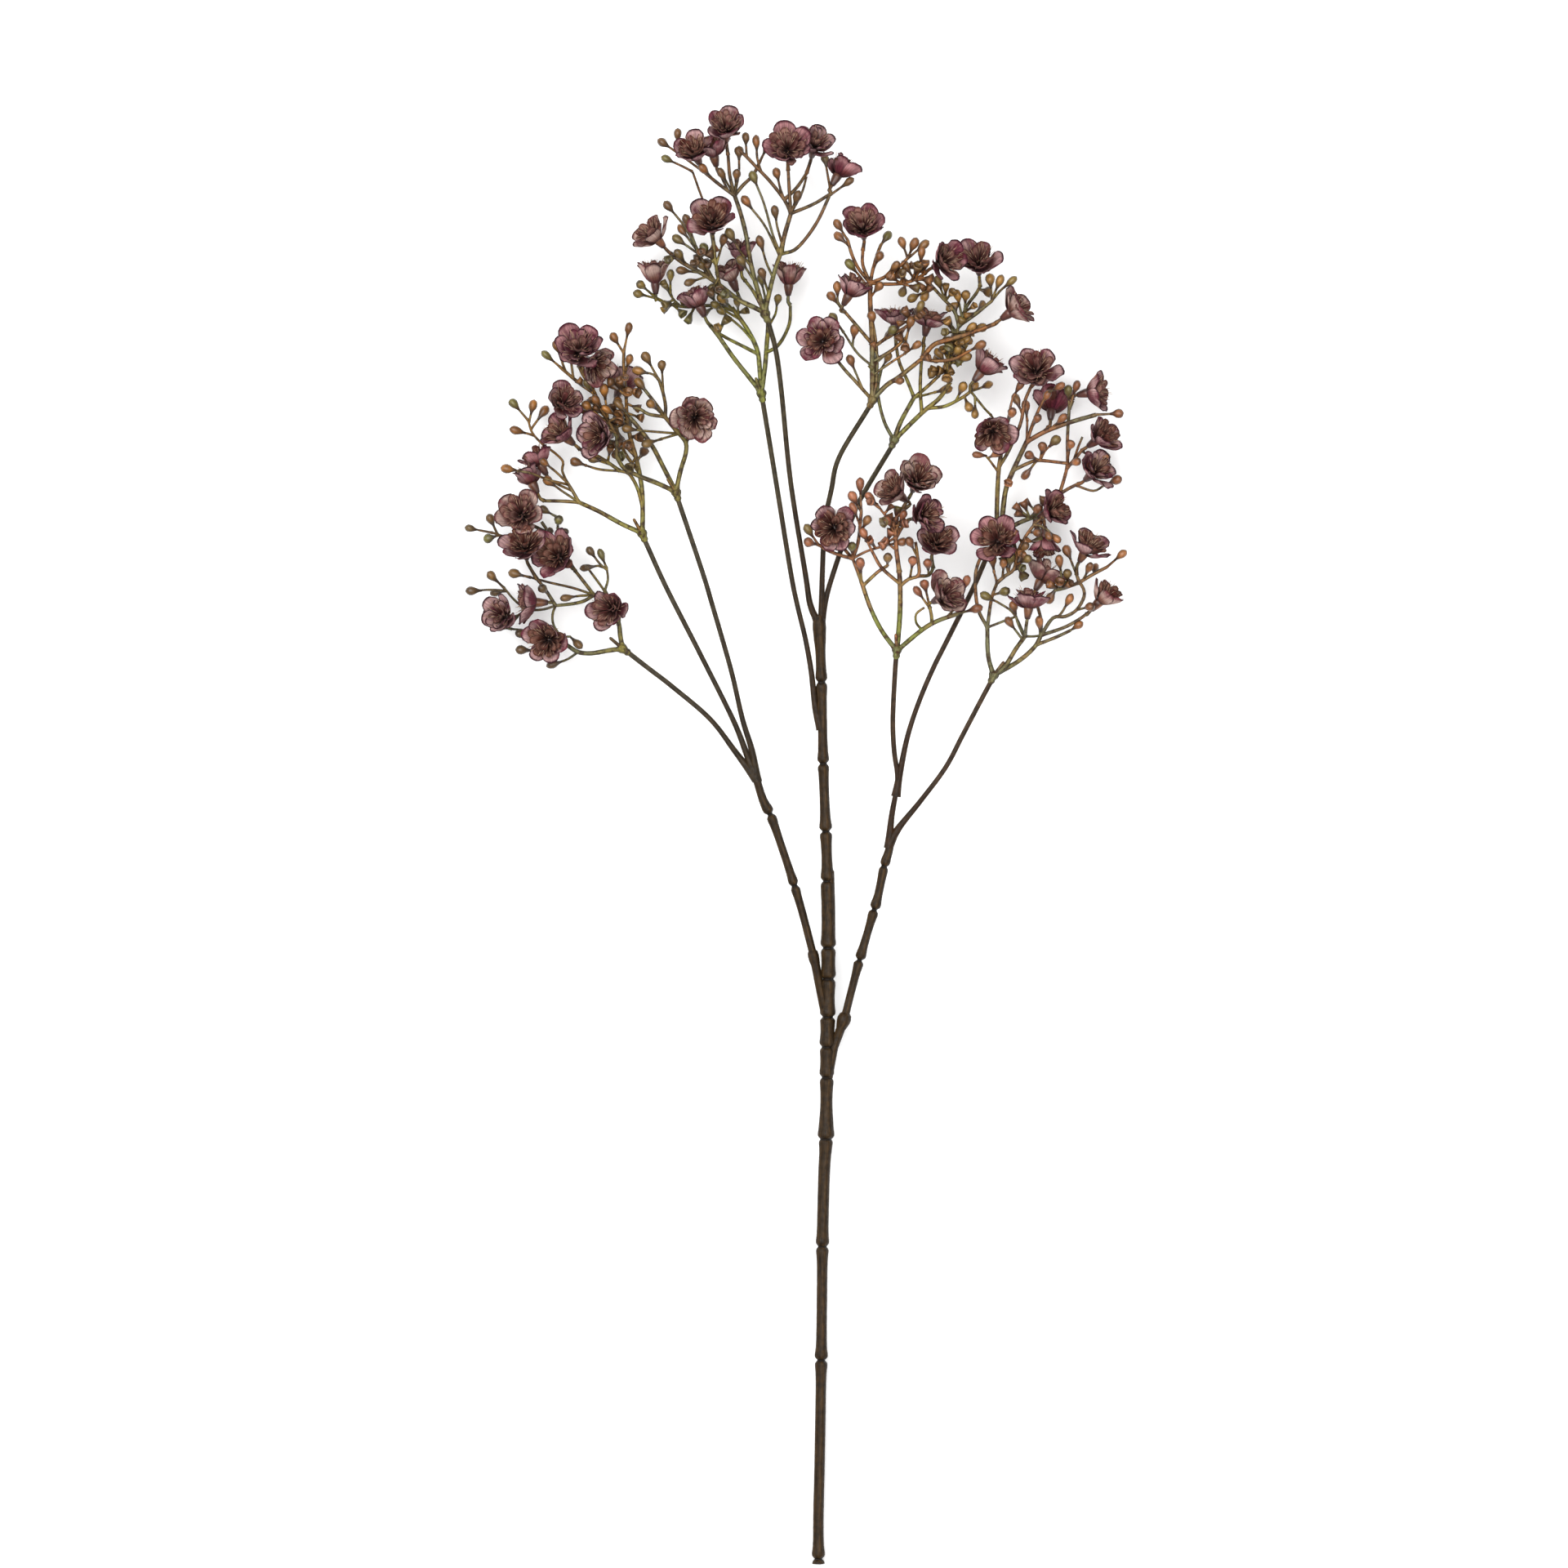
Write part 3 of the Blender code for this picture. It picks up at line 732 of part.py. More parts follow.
def fuse(name, objects, material, home):
    """One Boolean union of all the pieces, applied, as a single named object."""
    solids = to_meshes(objects)
    base = solids[0]
    others = bpy.data.collections.new(name + "_pieces")
    bpy.context.scene.collection.children.link(others)
    for solid in solids[1:]:
        bpy.context.scene.collection.objects.unlink(solid)
        others.objects.link(solid)
    if len(solids) > 1:
        union = base.modifiers.new("union", "BOOLEAN")
        union.operation = "UNION"
        union.operand_type = "COLLECTION"
        union.collection = others
        union.solver = "MANIFOLD"
    bpy.context.view_layer.update()
    graph = bpy.context.evaluated_depsgraph_get()
    mesh = bpy.data.meshes.new_from_object(base.evaluated_get(graph))
    mesh.name = name
    mesh.materials.clear()
    mesh.materials.append(material)
    mesh.shade_smooth()
    mesh.set_sharp_from_angle(angle=math.radians(SHARP))
    for solid in solids[1:]:
        bpy.data.objects.remove(solid, do_unlink=True)
    bpy.data.collections.remove(others)
    fused = bpy.data.objects.new(name, mesh)
    fused.matrix_world = base.matrix_world.copy()
    bpy.data.objects.remove(base, do_unlink=True)
    home.objects.link(fused)
    return fused


def smooth_route(points, step):
    """Points about a step apart on a smooth curve through the given ones."""
    route = [Vector(point) for point in points]
    ends = [2 * route[0] - route[1]] + route + [2 * route[-1] - route[-2]]
    made = []
    for before, start, stop, after in zip(ends, ends[1:], ends[2:], ends[3:]):
        pieces = max(1, round((stop - start).length / step))
        for i in range(pieces):
            t = i / pieces
            made.append(
                0.5 * (2 * start + (stop - before) * t + (2 * before - 5 * start + 4 * stop - after) * t * t
                       + (3 * start - before - 3 * stop + after) * t * t * t)
            )
    made.append(route[-1])
    return made


def at_y(route, y):
    """The point of a route, which climbs in Y, at this Y."""
    for start, stop in zip(route, route[1:]):
        if start.y <= y <= stop.y:
            return start.lerp(stop, (y - start.y) / (stop.y - start.y))
    return route[0] if y < route[0].y else route[-1]


def knuckled(name, points, radius, knuckles, taper):
    """A stem with a groove and a bulge just above it at each knuckle."""
    route = smooth_route(points, STEM_STEP)
    low = route[0].y
    high = route[-1].y
    marks = [(low, 0.0)]
    for y in knuckles:
        marks += [(y + above, swell) for above, swell in KNUCKLE]
    for point in points[1:-1]:
        if all(abs(point[1] - y) > KNUCKLE_REACH for y in knuckles):
            marks.append((point[1], 0.0))
    marks.append((high, 0.0))
    marks = sorted(mark for mark in marks if low <= mark[0] <= high)
    spots = [at_y(route, y) for y, _ in marks]
    radii = [radius * (1 - taper * (y - low) / (high - low)) + swell for y, swell in marks]
    return tube(name, spots, radii, STEM_SIDES)


def wand(name, points):
    """A long bare wand, thicker over the first part of its length."""
    route = thinned(smooth_route(points, WAND_STEP), WAND_BEND)
    last = len(route) - 1
    radii = [WAND_FOOT + (WAND_TIP - WAND_FOOT) * min(1.0, i / last / WAND_FLARE) for i in range(last + 1)]
    return tube(name, route, radii, WAND_SIDES)


def foot_on(route, x, y):
    """The point of a route that is nearest to (x, y) as seen from above."""
    best = None
    for start, stop in zip(route, route[1:]):
        run = Vector((stop.x - start.x, stop.y - start.y))
        t = ((x - start.x) * run.x + (y - start.y) * run.y) / max(run.length_squared, 1e-9)
        point = start.lerp(stop, min(1.0, max(0.0, t)))
        away = math.hypot(point.x - x, point.y - y)
        if best is None or away < best[0]:
            best = (away, point)
    return best[1]


def facing(azimuth, rise):
    """The way a bloom looks, as a unit vector."""
    flat = math.cos(math.radians(rise))
    return Vector((flat * math.cos(math.radians(azimuth)), flat * math.sin(math.radians(azimuth)),
                   math.sin(math.radians(rise))))


def bloom_foot(middle, axis, depth):
    """Where the calyx begins, behind the middle of the cup."""
    return Vector(middle) - axis * (CUP_LOW * depth + CALYX_LENGTH)


def bridge(work, low, high):
    """Faces between two rings of (angle, vertex) that may differ in count."""
    i = 0
    j = 0
    while i < len(low) or j < len(high):
        next_low = low[(i + 1) % len(low)][0] + TURN * ((i + 1) // len(low))
        next_high = high[(j + 1) % len(high)][0] + TURN * ((j + 1) // len(high))
        a = low[i % len(low)][1]
        b = high[j % len(high)][1]
        if j >= len(high) or (i < len(low) and next_low <= next_high):
            work.faces.new((a, low[(i + 1) % len(low)][1], b))
            i += 1
        else:
            work.faces.new((a, high[(j + 1) % len(high)][1], b))
            j += 1


def ring(work, spots):
    """Vertices from (angle, radius, height), in order of angle."""
    return [
        (angle, work.verts.new((radius * math.cos(angle) * MM, radius * math.sin(angle) * MM, height * MM)))
        for angle, radius, height in spots
    ]


def bloom(name, middle, axis, radius, depth, lobes, seed):
    """A double cup on a calyx tube: five or six wide petals outside, a tighter whorl inside."""
    draw = random.Random(seed)
    low = -CUP_LOW * depth
    rim = CUP_RIM * depth
    sector = TURN / lobes
    work = bmesh.new()
    foot = ring(work, [(i * TURN / CALYX_SIDES, CALYX_FOOT, low - CALYX_LENGTH) for i in range(CALYX_SIDES)])
    neck = ring(work, [(i * TURN / CALYX_SIDES, CALYX_TOP, low) for i in range(CALYX_SIDES)])
    belly = ring(work, [(i * sector, BELLY_REACH * radius, low + BELLY_RISE * depth) for i in range(lobes)])
    outer = []
    inner = []
    for i in range(lobes):
        wide = radius * (1 + draw.uniform(-LOBE_VARIES, LOBE_VARIES))
        high = rim + depth * draw.uniform(-RIM_VARIES, RIM_VARIES)
        for turn, reach, height in (
            (-LOBE_HALF, wide, high),
            (LOBE_HALF, wide, high),
            (0.5, NOTCH_REACH * radius, rim - NOTCH_DROP * depth),
        ):
            outer.append(((i + turn) * sector, reach, height))
            inner.append(((i + turn) * sector, reach - WALL_IN, height + WALL_UP))
    edge = ring(work, outer)
    lip = ring(work, inner)
    deep = low + VALLEY_RISE * depth
    valley = ring(work, [((i - 0.2) * sector, VALLEY_REACH * radius, deep) for i in range(lobes)])
    crown = []
    for i in range(lobes):
        crown.append(((i + 0.1) * sector, WHORL_NOTCH_REACH * radius, rim - NOTCH_DROP * depth))
        crown.append(((i + 0.5) * sector, WHORL_TIP_REACH * radius, rim + WHORL_TIP_UP * depth))
    whorl = ring(work, crown)
    pit = work.verts.new((0, 0, (low + PIT_RISE * depth) * MM))
    work.faces.new([vertex for _, vertex in reversed(foot)])
    for first, second in ((foot, neck), (neck, belly), (belly, edge), (edge, lip), (lip, valley),
                          (valley, whorl)):
        bridge(work, first, second)
    for i in range(2 * lobes):
        work.faces.new((whorl[i][1], whorl[(i + 1) % (2 * lobes)][1], pit))
    bmesh.ops.recalc_face_normals(work, faces=work.faces)
    mesh = bpy.data.meshes.new(name)
    work.to_mesh(mesh)
    work.free()
    obj = bpy.data.objects.new(name, mesh)
    obj.location = Vector(middle) * MM
    obj.rotation_mode = "QUATERNION"
    obj.rotation_quaternion = axis.to_track_quat("Z", "Y")
    bpy.context.scene.collection.objects.link(obj)
    return obj


def thinned(route, within):
    """The route without the points that bend it by less than a small distance."""
    run = route[-1] - route[0]
    far = 0.0
    at = None
    for i, point in enumerate(route[1:-1], 1):
        away = ((point - route[0]) - run * ((point - route[0]).dot(run) / run.length_squared)).length
        if away > far:
            far = away
            at = i
    if far < within:
        return [route[0], route[-1]]
    return thinned(route[: at + 1], within)[:-1] + thinned(route[at:], within)


def grow(runs, route, radii):
    """Adds a twig to the run that ends where it starts, or else begins a run of its own."""
    for points, sizes in runs:
        if (points[-1] - route[0]).length < GAP:
            points += route[1:]
            sizes += radii[1:]
            return
    runs.append((list(route), list(radii)))


def grow_bud(runs, foot, bends, middle):
    """Adds a stalk that swells into an egg-shaped bud at its end."""
    route = [foot] + [Vector(bend) for bend in bends]
    middle = Vector(middle)
    along = (middle - route[-1]).normalized()
    room = (middle - route[-1]).length
    if room > BUD_HALF + BUD_ROOM:
        route.append(middle - along * BUD_HALF)
    if len(route) > 2:
        route = thinned(route, BEND)
    radii = [BUD_NECK] * len(route)
    route += [middle + along * BUD_BELLY, middle + along * BUD_HALF]
    radii += [BUD_RADIUS, 0.0]
    grow(runs, route, radii)


def spray_pieces(spray):
    """Collar, peg, twigs, bloom stalks and buds of one spray, each a tube that reaches into its parent."""
    start, lean, peg = COLLARS[spray]
    start = Vector(start)
    along = Vector(lean).normalized()
    top = start + along * COLLAR_LENGTH
    wide = start + along * COLLAR_WIDE_AT
    base = start + along * PEG_FOOT_AT
    peg_top = base + Vector(peg).normalized() * PEG_LENGTH
    pieces = [
        tube(spray + "_collar", (start, wide, top), (WAND_TIP, COLLAR_RADIUS, COLLAR_TOP), WAND_SIDES),
        tube(spray + "_peg", (base, peg_top), PEG_RADII, TWIG_SIDES),
    ]
    routes = {"": [start + along * COLLAR_SINK, top - along * COLLAR_SINK]}
    runs = []
    for name, parent, thickness, foot, *route in TWIGS[spray]:
        routes[name] = thinned([foot_on(routes[parent], *foot)] + [Vector(point) for point in route], BEND)
        grow(runs, routes[name], [thickness] * len(routes[name]))
    for name, home, parent, foot, middle, (azimuth, rise), radius, depth, lobes in BLOOMS:
        if home == spray:
            axis = facing(azimuth, rise)
            end = bloom_foot(middle, axis, depth)
            grow(runs, [foot_on(routes[parent], *foot), end - axis * STALK_RUN, end - axis * GAP], [TWIG] * 3)
    for parent, foot, *bends in BUDS[spray]:
        grow_bud(runs, foot_on(routes[parent], *foot), bends[:-1], bends[-1])
    for count, (points, radii) in enumerate(runs):
        pieces.append(tube(f"{spray}_twig_{count}", points, radii, TWIG_SIDES))
    return pieces


def main():
    clear_scene()
    materials = make_materials()
    home = bpy.data.collections.new("gypsophila_stem")
    bpy.context.scene.collection.children.link(home)
    empty = bpy.data.objects.new("gypsophila_stem_root", None)
    home.objects.link(empty)
    stems = {
        "main_stem": [
            knuckled("main", MAIN_ROUTE, MAIN_RADIUS, MAIN_KNUCKLES, 0.0),
            tube("left_stub", LEFT_STUB, STUB_RADII, STEM_SIDES),
            tube("right_stub", RIGHT_STUB, STUB_RADII, STEM_SIDES),
            tube("lump", LUMP, LUMP_RADII, STEM_SIDES),
        ],
        "left_limb": [knuckled("left", LEFT_ROUTE, LIMB_RADIUS, LEFT_KNUCKLES, LIMB_TAPER)],
        "right_limb": [knuckled("right", RIGHT_ROUTE, LIMB_RADIUS, RIGHT_KNUCKLES, LIMB_TAPER)],
    }
    made = []
    for name, pieces in stems.items():
        pieces += [wand(f"{name}_wand_{i}", points) for i, points in enumerate(WANDS[name])]
        made.append(fuse(name, pieces, materials["stem_brown"], home))
    for spray in COLLARS:
        made.append(fuse(spray, spray_pieces(spray), materials["twig_olive"], home))
    # Every bloom is made first, then those that grow into each other are fused
    waiting = {}
    for seed, (name, spray, _, _, middle, (azimuth, rise), radius, depth, lobes) in enumerate(BLOOMS):
        flower = bloom(f"{spray}_{name}", middle, facing(azimuth, rise), radius, depth, lobes, seed)
        waiting[spray, name] = flower
    for spray, names in GROUPS:
        pieces = [waiting.pop((spray, name)) for name in names]
        made.append(fuse(f"blooms_{spray[-1]}_" + "_".join(names), pieces, materials["bloom_mauve"], home))
    for count, ((spray, name), flower) in enumerate(waiting.items()):
        material = materials["bloom_plum" if count % 3 == 0 else "bloom_mauve"]
        made.append(fuse(f"bloom_{spray[-1]}_{name}", [flower], material, home))
    for obj in [obj for obj in bpy.data.objects if obj.name.startswith("outline_")]:
        bpy.data.objects.remove(obj, do_unlink=True)
    for obj in made:
        obj.parent = empty
    bpy.context.view_layer.update()


main()
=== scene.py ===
"""Looks of the gypsophila stem: moulded stems, twigs, buds and double blooms in place of the plain solids.

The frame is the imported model, lying along +Y on the surface Z = 0. Lengths in the tables are millimetres.
"""

import math
import random

import bpy
from mathutils import Matrix, Vector


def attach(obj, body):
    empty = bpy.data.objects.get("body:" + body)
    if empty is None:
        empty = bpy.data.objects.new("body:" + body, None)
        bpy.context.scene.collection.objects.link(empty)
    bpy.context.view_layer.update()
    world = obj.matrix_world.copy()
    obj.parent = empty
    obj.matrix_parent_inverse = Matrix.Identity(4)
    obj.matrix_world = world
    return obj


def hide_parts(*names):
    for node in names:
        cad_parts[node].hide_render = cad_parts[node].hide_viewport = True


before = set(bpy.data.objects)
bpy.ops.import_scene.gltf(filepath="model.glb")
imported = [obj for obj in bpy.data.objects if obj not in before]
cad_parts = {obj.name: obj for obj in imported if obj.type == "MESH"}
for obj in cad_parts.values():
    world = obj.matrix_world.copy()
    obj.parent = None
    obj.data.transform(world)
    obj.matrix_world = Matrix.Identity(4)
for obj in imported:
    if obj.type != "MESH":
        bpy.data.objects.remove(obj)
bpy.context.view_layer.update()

MM = 0.001
TURN = 2 * math.pi

# The photograph: its width in pixels, the real size of a pixel, and the place of its middle
PHOTO_PIXELS = 1920
PIXEL = 0.365 * MM
PHOTO_MIDDLE = (-5.66 * MM, 25.55 * MM)
CAMERA_HEIGHT = 6.0
FARTHEST = 100.0
HEADS_HEIGHT = 0.03
SENSOR = 36.0

# Studio, in metres and watts: name, place, size and power of each light
WORLD_LIGHT = 0.45
FLOOR_WHITE = 0.96
FLOOR_SIZE = 30
FLOOR_DROP = 0.0003
LIGHTS = (
    ("front_light", (-0.5, 0.5, 6.6), 6.0, 500.0),
    ("key_light", (-1.2, 0.9, 2.2), 2.0, 34.0),
    ("fill_light", (1.25, -0.6, 2.0), 1.6, 12.0),
)

# Stems: radius at places along Y, and the groove and swelling of a knuckle
MAIN_RADII = (
    (-325, 2.36), (-190, 2.38), (-172, 2.6), (-136, 2.7), (-132.5, 3.3), (-127, 3.2), (-119, 2.75),
    (-107, 2.7), (-90, 2.95), (-24, 2.9), (-16, 2.45), (0, 2.3), (40, 2.1), (84, 2.2), (90, 2.7), (95, 3.05),
    (99, 2.9), (101, 2.0),
)
LEFT_RADII = ((-51, 1.75), (31, 1.8))
RIGHT_RADII = ((-79, 1.75), (2, 1.8))
SOCKET_DEPTH = 2.5
STEM_SIDES = 20
STEM_STEP = 2.5
STEM_UNEVEN = 0.03
KNUCKLE_STEP = 0.3
KNUCKLE_ABOVE = 6.5
KNUCKLE_BELOW = 3.9
KNUCKLE_STRENGTH = (0.75, 1.15)
GROOVE = 0.6
GROOVE_HALF = 0.75
BULGE = 0.55
BULGE_RISE = 1.9
BULGE_FLAT = 1.5
BULGE_RUN = 2.8
LOWER_BULGE = 0.75
STEM_RIDGES = 5
STEM_RIDGE = 0.08
# Wands and twigs have a mould seam on either side
SEAMS = 2

# Wands
WAND_RADII = (1.3, 1.08)
WAND_FLARE = 0.3
WAND_ROOT = 0.9
WAND_ROOT_RUN = 8.0
WAND_SIDES = 10
WAND_STEP = 2.5
WAND_RIDGE = 0.06

# Collar and stub peg at the foot of each spray: place along it and radius
COLLAR_LENGTH = 5.0
COLLAR_PROFILE = (
    (-0.6, 0.9), (0.0, 1.3), (0.5, 1.6), (1.1, 1.65), (1.6, 1.5), (2.3, 1.8), (3.2, 2.25), (4.1, 2.3),
    (4.9, 1.9), (5.6, 1.1),
)
COLLAR_SINK = 0.8
PEG_FOOT_AT = 3.0
PEG_PROFILE = ((0, 0.85), (4, 0.75), (7.5, 0.68), (8.2, 0.55), (8.5, 0.25))

# Twigs: radius of each kind at its foot, the share left at its tip, and the swelling where it leaves another
THICK = 1.2
ARM = 1.08
TWIG = 0.8
STALK = 0.56
TWIG_TAPER = 0.86
TWIG_UNEVEN = 0.04
TWIG_SIDES = 8
TWIG_STEP = 1.6
TWIG_RIDGE = 0.05
FORK_SWELL = 1.25
FORK_RUN = 1.5
SPRAY_REACH = 62.0

# Buds: an egg with a short neck, as (radius, height) in shares of its radius and of half its length
BUD_HALF = 3.5
BUD_RADIUS = 1.95
BUD_SIDES = 8
BUD_SEAT = 0.85
BUD_PROFILE = (
    (0.27, -1.0), (0.34, -0.7), (0.54, -0.42), (0.85, -0.12), (1.0, 0.22), (0.94, 0.56), (0.68, 0.82),
    (0.12, 1.0),
)
BUD_LOOSE = 0.13
BUD_RIPPLE = 0.0006
BUD_RIPPLE_SCALE = 450.0

# A bare twig end gets a bud where no bud or bloom is nearer than this, and no other twig leaves it
BARE = 7.5
BARE_FORK = 3.0
END_BUD_SEAT = 0.8

# Florets that stay small: an open cup on a short stalk, strewn in (x, y, half width, half height, how many)
FLORET_HALF = 2.4
FLORET_RADIUS = 2.1
FLORET_LOBES = 0.14
FLORET_SIDES = 10
FLORET_OUT = (3.5, 7.0)
# Mean and spread of the way that a floret looks, along X, Y and Z
FLORET_WAY = ((0, 1), (0.3, 1), (0.4, 0.7))
FLORET_STALK_END = 1.2
FLORET_LOWEST = 3.6
FLORET_PROFILE = (
    (0.25, -1.0), (0.45, -0.4), (0.85, 0.3), (1.0, 0.95), (0.75, 0.75), (0.4, 0.2), (0.1, 0.55),
)
FLORET_LOOSE = 0.25
FLORET_RIPPLE = 0.0012
FLORET_SEED = 50
FLORETS = {
    "spray_i": ((-84, 197, 13, 10, 26), (-79, 178, 8, 9, 12)),
    "spray_c": ((57, 242, 12, 12, 16), (46, 226, 10, 12, 8)),
    "spray_d": ((76, 218, 12, 10, 26), (72, 238, 10, 9, 8)),
    "spray_e": ((44, 138, 9, 11, 12),),
    "spray_g": ((106, 122, 13, 12, 16),),
    "spray_f": ((104, 150, 10, 10, 10),),
    "spray_a": ((-40, 252, 15, 12, 12),),
    "spray_b": ((-42, 238, 17, 10, 12),),
}

# Petals, on a reach and a depth of 1: (reach, height) from foot to rim, and the width at shares of the reach
OUTER_PROFILE = ((0.1, 0.0), (0.32, 0.05), (0.58, 0.25), (0.82, 0.58), (1.0, 0.85), (1.09, 0.95))
OUTER_WIDTHS = ((0, 0.5), (0.45, 0.56), (0.8, 0.56), (1.0, 0.47))
FRILL_WIDTHS = ((0, 0.5), (0.5, 0.66), (0.8, 0.6), (1.0, 0.42))
# Each frill of narrow petals inside the outer ones: how many, profile, how hollow
FRILLS = {
    "middle_frill": (
        8, ((0.08, 0.1), (0.28, 0.2), (0.47, 0.42), (0.63, 0.68), (0.74, 0.9), (0.81, 0.98)), 0.16,
    ),
    "inner_frill": (7, ((0.06, 0.18), (0.18, 0.34), (0.32, 0.58), (0.43, 0.84), (0.53, 1.0)), 0.2),
}
# How much the petals of a ring differ in size and lean, and how deep they are ruffled
PETAL_PLAY = {
    "outer": (0.11, 0.2, 0.0036),
    "middle_frill": (0.12, 0.2, 0.003),
    "inner_frill": (0.16, 0.26, 0.003),
}
# Each ring of threads in the heart: how many, lean, (reach, height) from foot to head
THREADS = {
    "long_thread": (26, 0.16, ((0.1, 0.2), (0.3, 0.42), (0.46, 0.66), (0.6, 0.9), (0.72, 1.06))),
    "short_thread": (14, 0.24, ((0.05, 0.25), (0.15, 0.45), (0.24, 0.66), (0.32, 0.88), (0.39, 1.04))),
}
THREAD_SIZES = (0.02, 0.016, 0.014, 0.018, 0.01)
THREAD_SIDES = 3
THREAD_LOOSE = 0.14
# Share of the blooms whose middle frill is of the petals' cloth, and not of the heart's
PALE_FRILLS = 0.35
CALYX_PROFILE = (
    (1.05, -5.0), (1.3, -4.6), (1.55, -3.6), (1.9, -2.2), (2.15, -0.9), (2.2, 0.2), (1.6, 0.9),
)
CALYX_LENGTH = 5.0
CALYX_SIDES = 12
CALYX_LOOSE = 0.05
STALK_RUN = 2.6
STALK_SINK = 0.2
CUP_LOW = 0.55
PETAL_THICKNESS = 0.2
PETAL_ROUNDING = 2.4
PETAL_RIPPLE_SCALE = 260.0
# How far a petal may turn from its place
TURN_PLAY = 0.09
# The ripples of two seeds lie this far apart in the pattern
SEED_APART = 0.37

# Routes of the main stem and its limbs, and the places of their knuckles along Y
MAIN_ROUTE = (
    (9.7, -324.5, 2.7), (9.7, -303, 3.8), (10.2, -281, 5.1), (10.8, -244.6, 7.0),
    (11.3, -200.8, 9.3), (11.5, -178.9, 10.5), (12.2, -149.7, 12.0), (13.0, -135, 12.8),
    (13.3, -113, 13.9), (13.5, -98.6, 14.7), (14.1, -54.8, 17.0), (13.7, -18.3, 19.0),
    (13.0, 3.7, 20.1), (11.9, 32.9, 21.6), (11.1, 69.4, 23.4), (10.0, 97.5, 25.0), (9.9, 101.0, 25.2),
)
MAIN_KNUCKLES = (
    -322.3, -232.9, -181.8, -133.6, -105.9, -92.3, -78.8, -61.7, -47.8, -17.9, 4.4, 34.7, 71.2,
)
LEFT_ROUTE = (
    (7.17, -50.25, 18.57), (2.7, -32.9, 19.2), (-1.6, -18.3, 19.8), (-6.4, -3.7, 20.4),
    (-11.5, 11.0, 21.0), (-15.1, 18.3, 21.3), (-18.8, 30.3, 22.0),
)
LEFT_KNUCKLES = (-20.0, 12.0)
RIGHT_ROUTE = (
    (21.74, -78.12, 15.37), (23.9, -69.4, 15.8), (27.7, -54.8, 16.8), (31.9, -40.2, 17.8),
    (36.1, -25.6, 18.9), (39.2, -11.0, 20.0), (41.4, -3.7, 20.6), (42.2, 1.5, 21.0),
)
RIGHT_KNUCKLES = (-53.3, -30.7, -11.3)

# Socket stubs and the moulded lump on the main stem: route and radii
LEFT_STUB = (
    (13.1, -78, 16.1), (12.2, -76, 16.5), (11.2, -70, 17.2), (8.4, -55.5, 18.3), (7.9, -53.5, 18.4),
    (7.4, -51.4, 18.5), (7.05, -49.8, 18.6), (6.85, -48.9, 18.65),
)
LEFT_STUB_RADII = (1.2, 1.8, 2.0, 2.0, 2.35, 2.5, 2.3, 1.6)
RIGHT_STUB = (
    (14.2, -106, 14.3), (16.6, -92.5, 14.9), (19.6, -84.2, 15.15), (20.2, -82.5, 15.2), (20.8, -80.9, 15.25),
    (21.3, -79.4, 15.3), (21.85, -77.9, 15.35), (22.15, -77, 15.4),
)
RIGHT_STUB_RADII = (1.9, 1.95, 2.1, 2.6, 3.05, 3.1, 2.7, 1.8)
LUMP = ((14.3, -49.5, 17.2), (15.4, -45, 17.5), (15.5, -30, 18.3), (14.9, -14, 19.1), (13.8, -10.5, 19.3))
LUMP_RADII = (1.0, 1.9, 1.7, 1.9, 1.0)

# Wands of each stem: their routes. The first point lies inside the stem.
WANDS = {
    "main_stem": (
        ((10.0, 91.0, 24.6), (8.9, 98.5, 25.6), (6.0, 106, 26.3), (3.8, 120, 27.6), (-2.7, 160.6, 31.3),
         (-6.8, 200.8, 34.9), (-9.3, 219, 36.4), (-12.6, 231.5, 37.4)),
        ((10.9, 50.0, 22.4), (8.4, 60, 22.9), (6.4, 76.7, 23.0), (3.8, 91, 22.9), (0.2, 106, 22.5),
         (-2.7, 120.5, 22.2), (-9.2, 160.6, 21.1), (-15.1, 196.4, 20.1)),
        ((10.0, 91.0, 24.6), (11.0, 100, 25.3), (11.5, 120.5, 27.4), (12.6, 142, 29.7), (15.5, 157, 31.3),
         (19.0, 171.6, 32.8), (32.2, 193.6, 35.2)),
        ((10.3, 88.0, 24.3), (12.6, 106, 24.6), (16.6, 120.5, 23.8), (25.4, 146, 22.4), (30.8, 157, 21.7),
         (42.2, 176.0, 20.4)),
    ),
    "left_limb": (
        ((-17.6, 26.5, 21.8), (-19.9, 40.2, 22.7), (-24.3, 54.8, 23.9), (-29.4, 76.7, 25.7),
         (-37.8, 105.9, 28.0), (-42.2, 120.5, 29.2), (-52.8, 152.0, 31.8)),
        ((-18.0, 27.5, 21.8), (-22.8, 40.2, 21.8), (-28.7, 54.8, 21.6), (-43.3, 84, 21.0),
         (-58.2, 113.2, 20.6), (-67.7, 134.0, 20.1)),
        ((-18.0, 27.5, 21.8), (-27.6, 40.2, 20.9), (-38.9, 54.8, 19.8), (-56.0, 69.4, 18.2),
         (-65.5, 76.7, 17.2), (-74.8, 83.9, 16.3)),
    ),
    "right_limb": (
        ((41.2, -3.0, 20.7), (42.5, 11, 22.3), (45.1, 27.4, 24.6), (43.6, 40.2, 26.5), (43.0, 54.8, 28.7),
         (44.0, 76.7, 32.4), (44.4, 81.5, 33.3)),
        ((44.4, 20.0, 23.5), (46.4, 31.5, 24.2), (49.8, 47.5, 23.6), (54.6, 62, 22.9), (60.8, 76.7, 22.1),
         (68.1, 91.3, 21.2), (79.0, 113.2, 19.7), (84.6, 126, 18.8), (88.7, 134.4, 18.2)),
        ((41.4, -2.0, 20.8), (45.4, 5.5, 21.4), (55.7, 18.3, 22.6), (66.6, 32.9, 24.0), (74.3, 47.5, 25.3),
         (81.9, 62, 26.7), (86.5, 70.6, 27.6)),
    ),
}

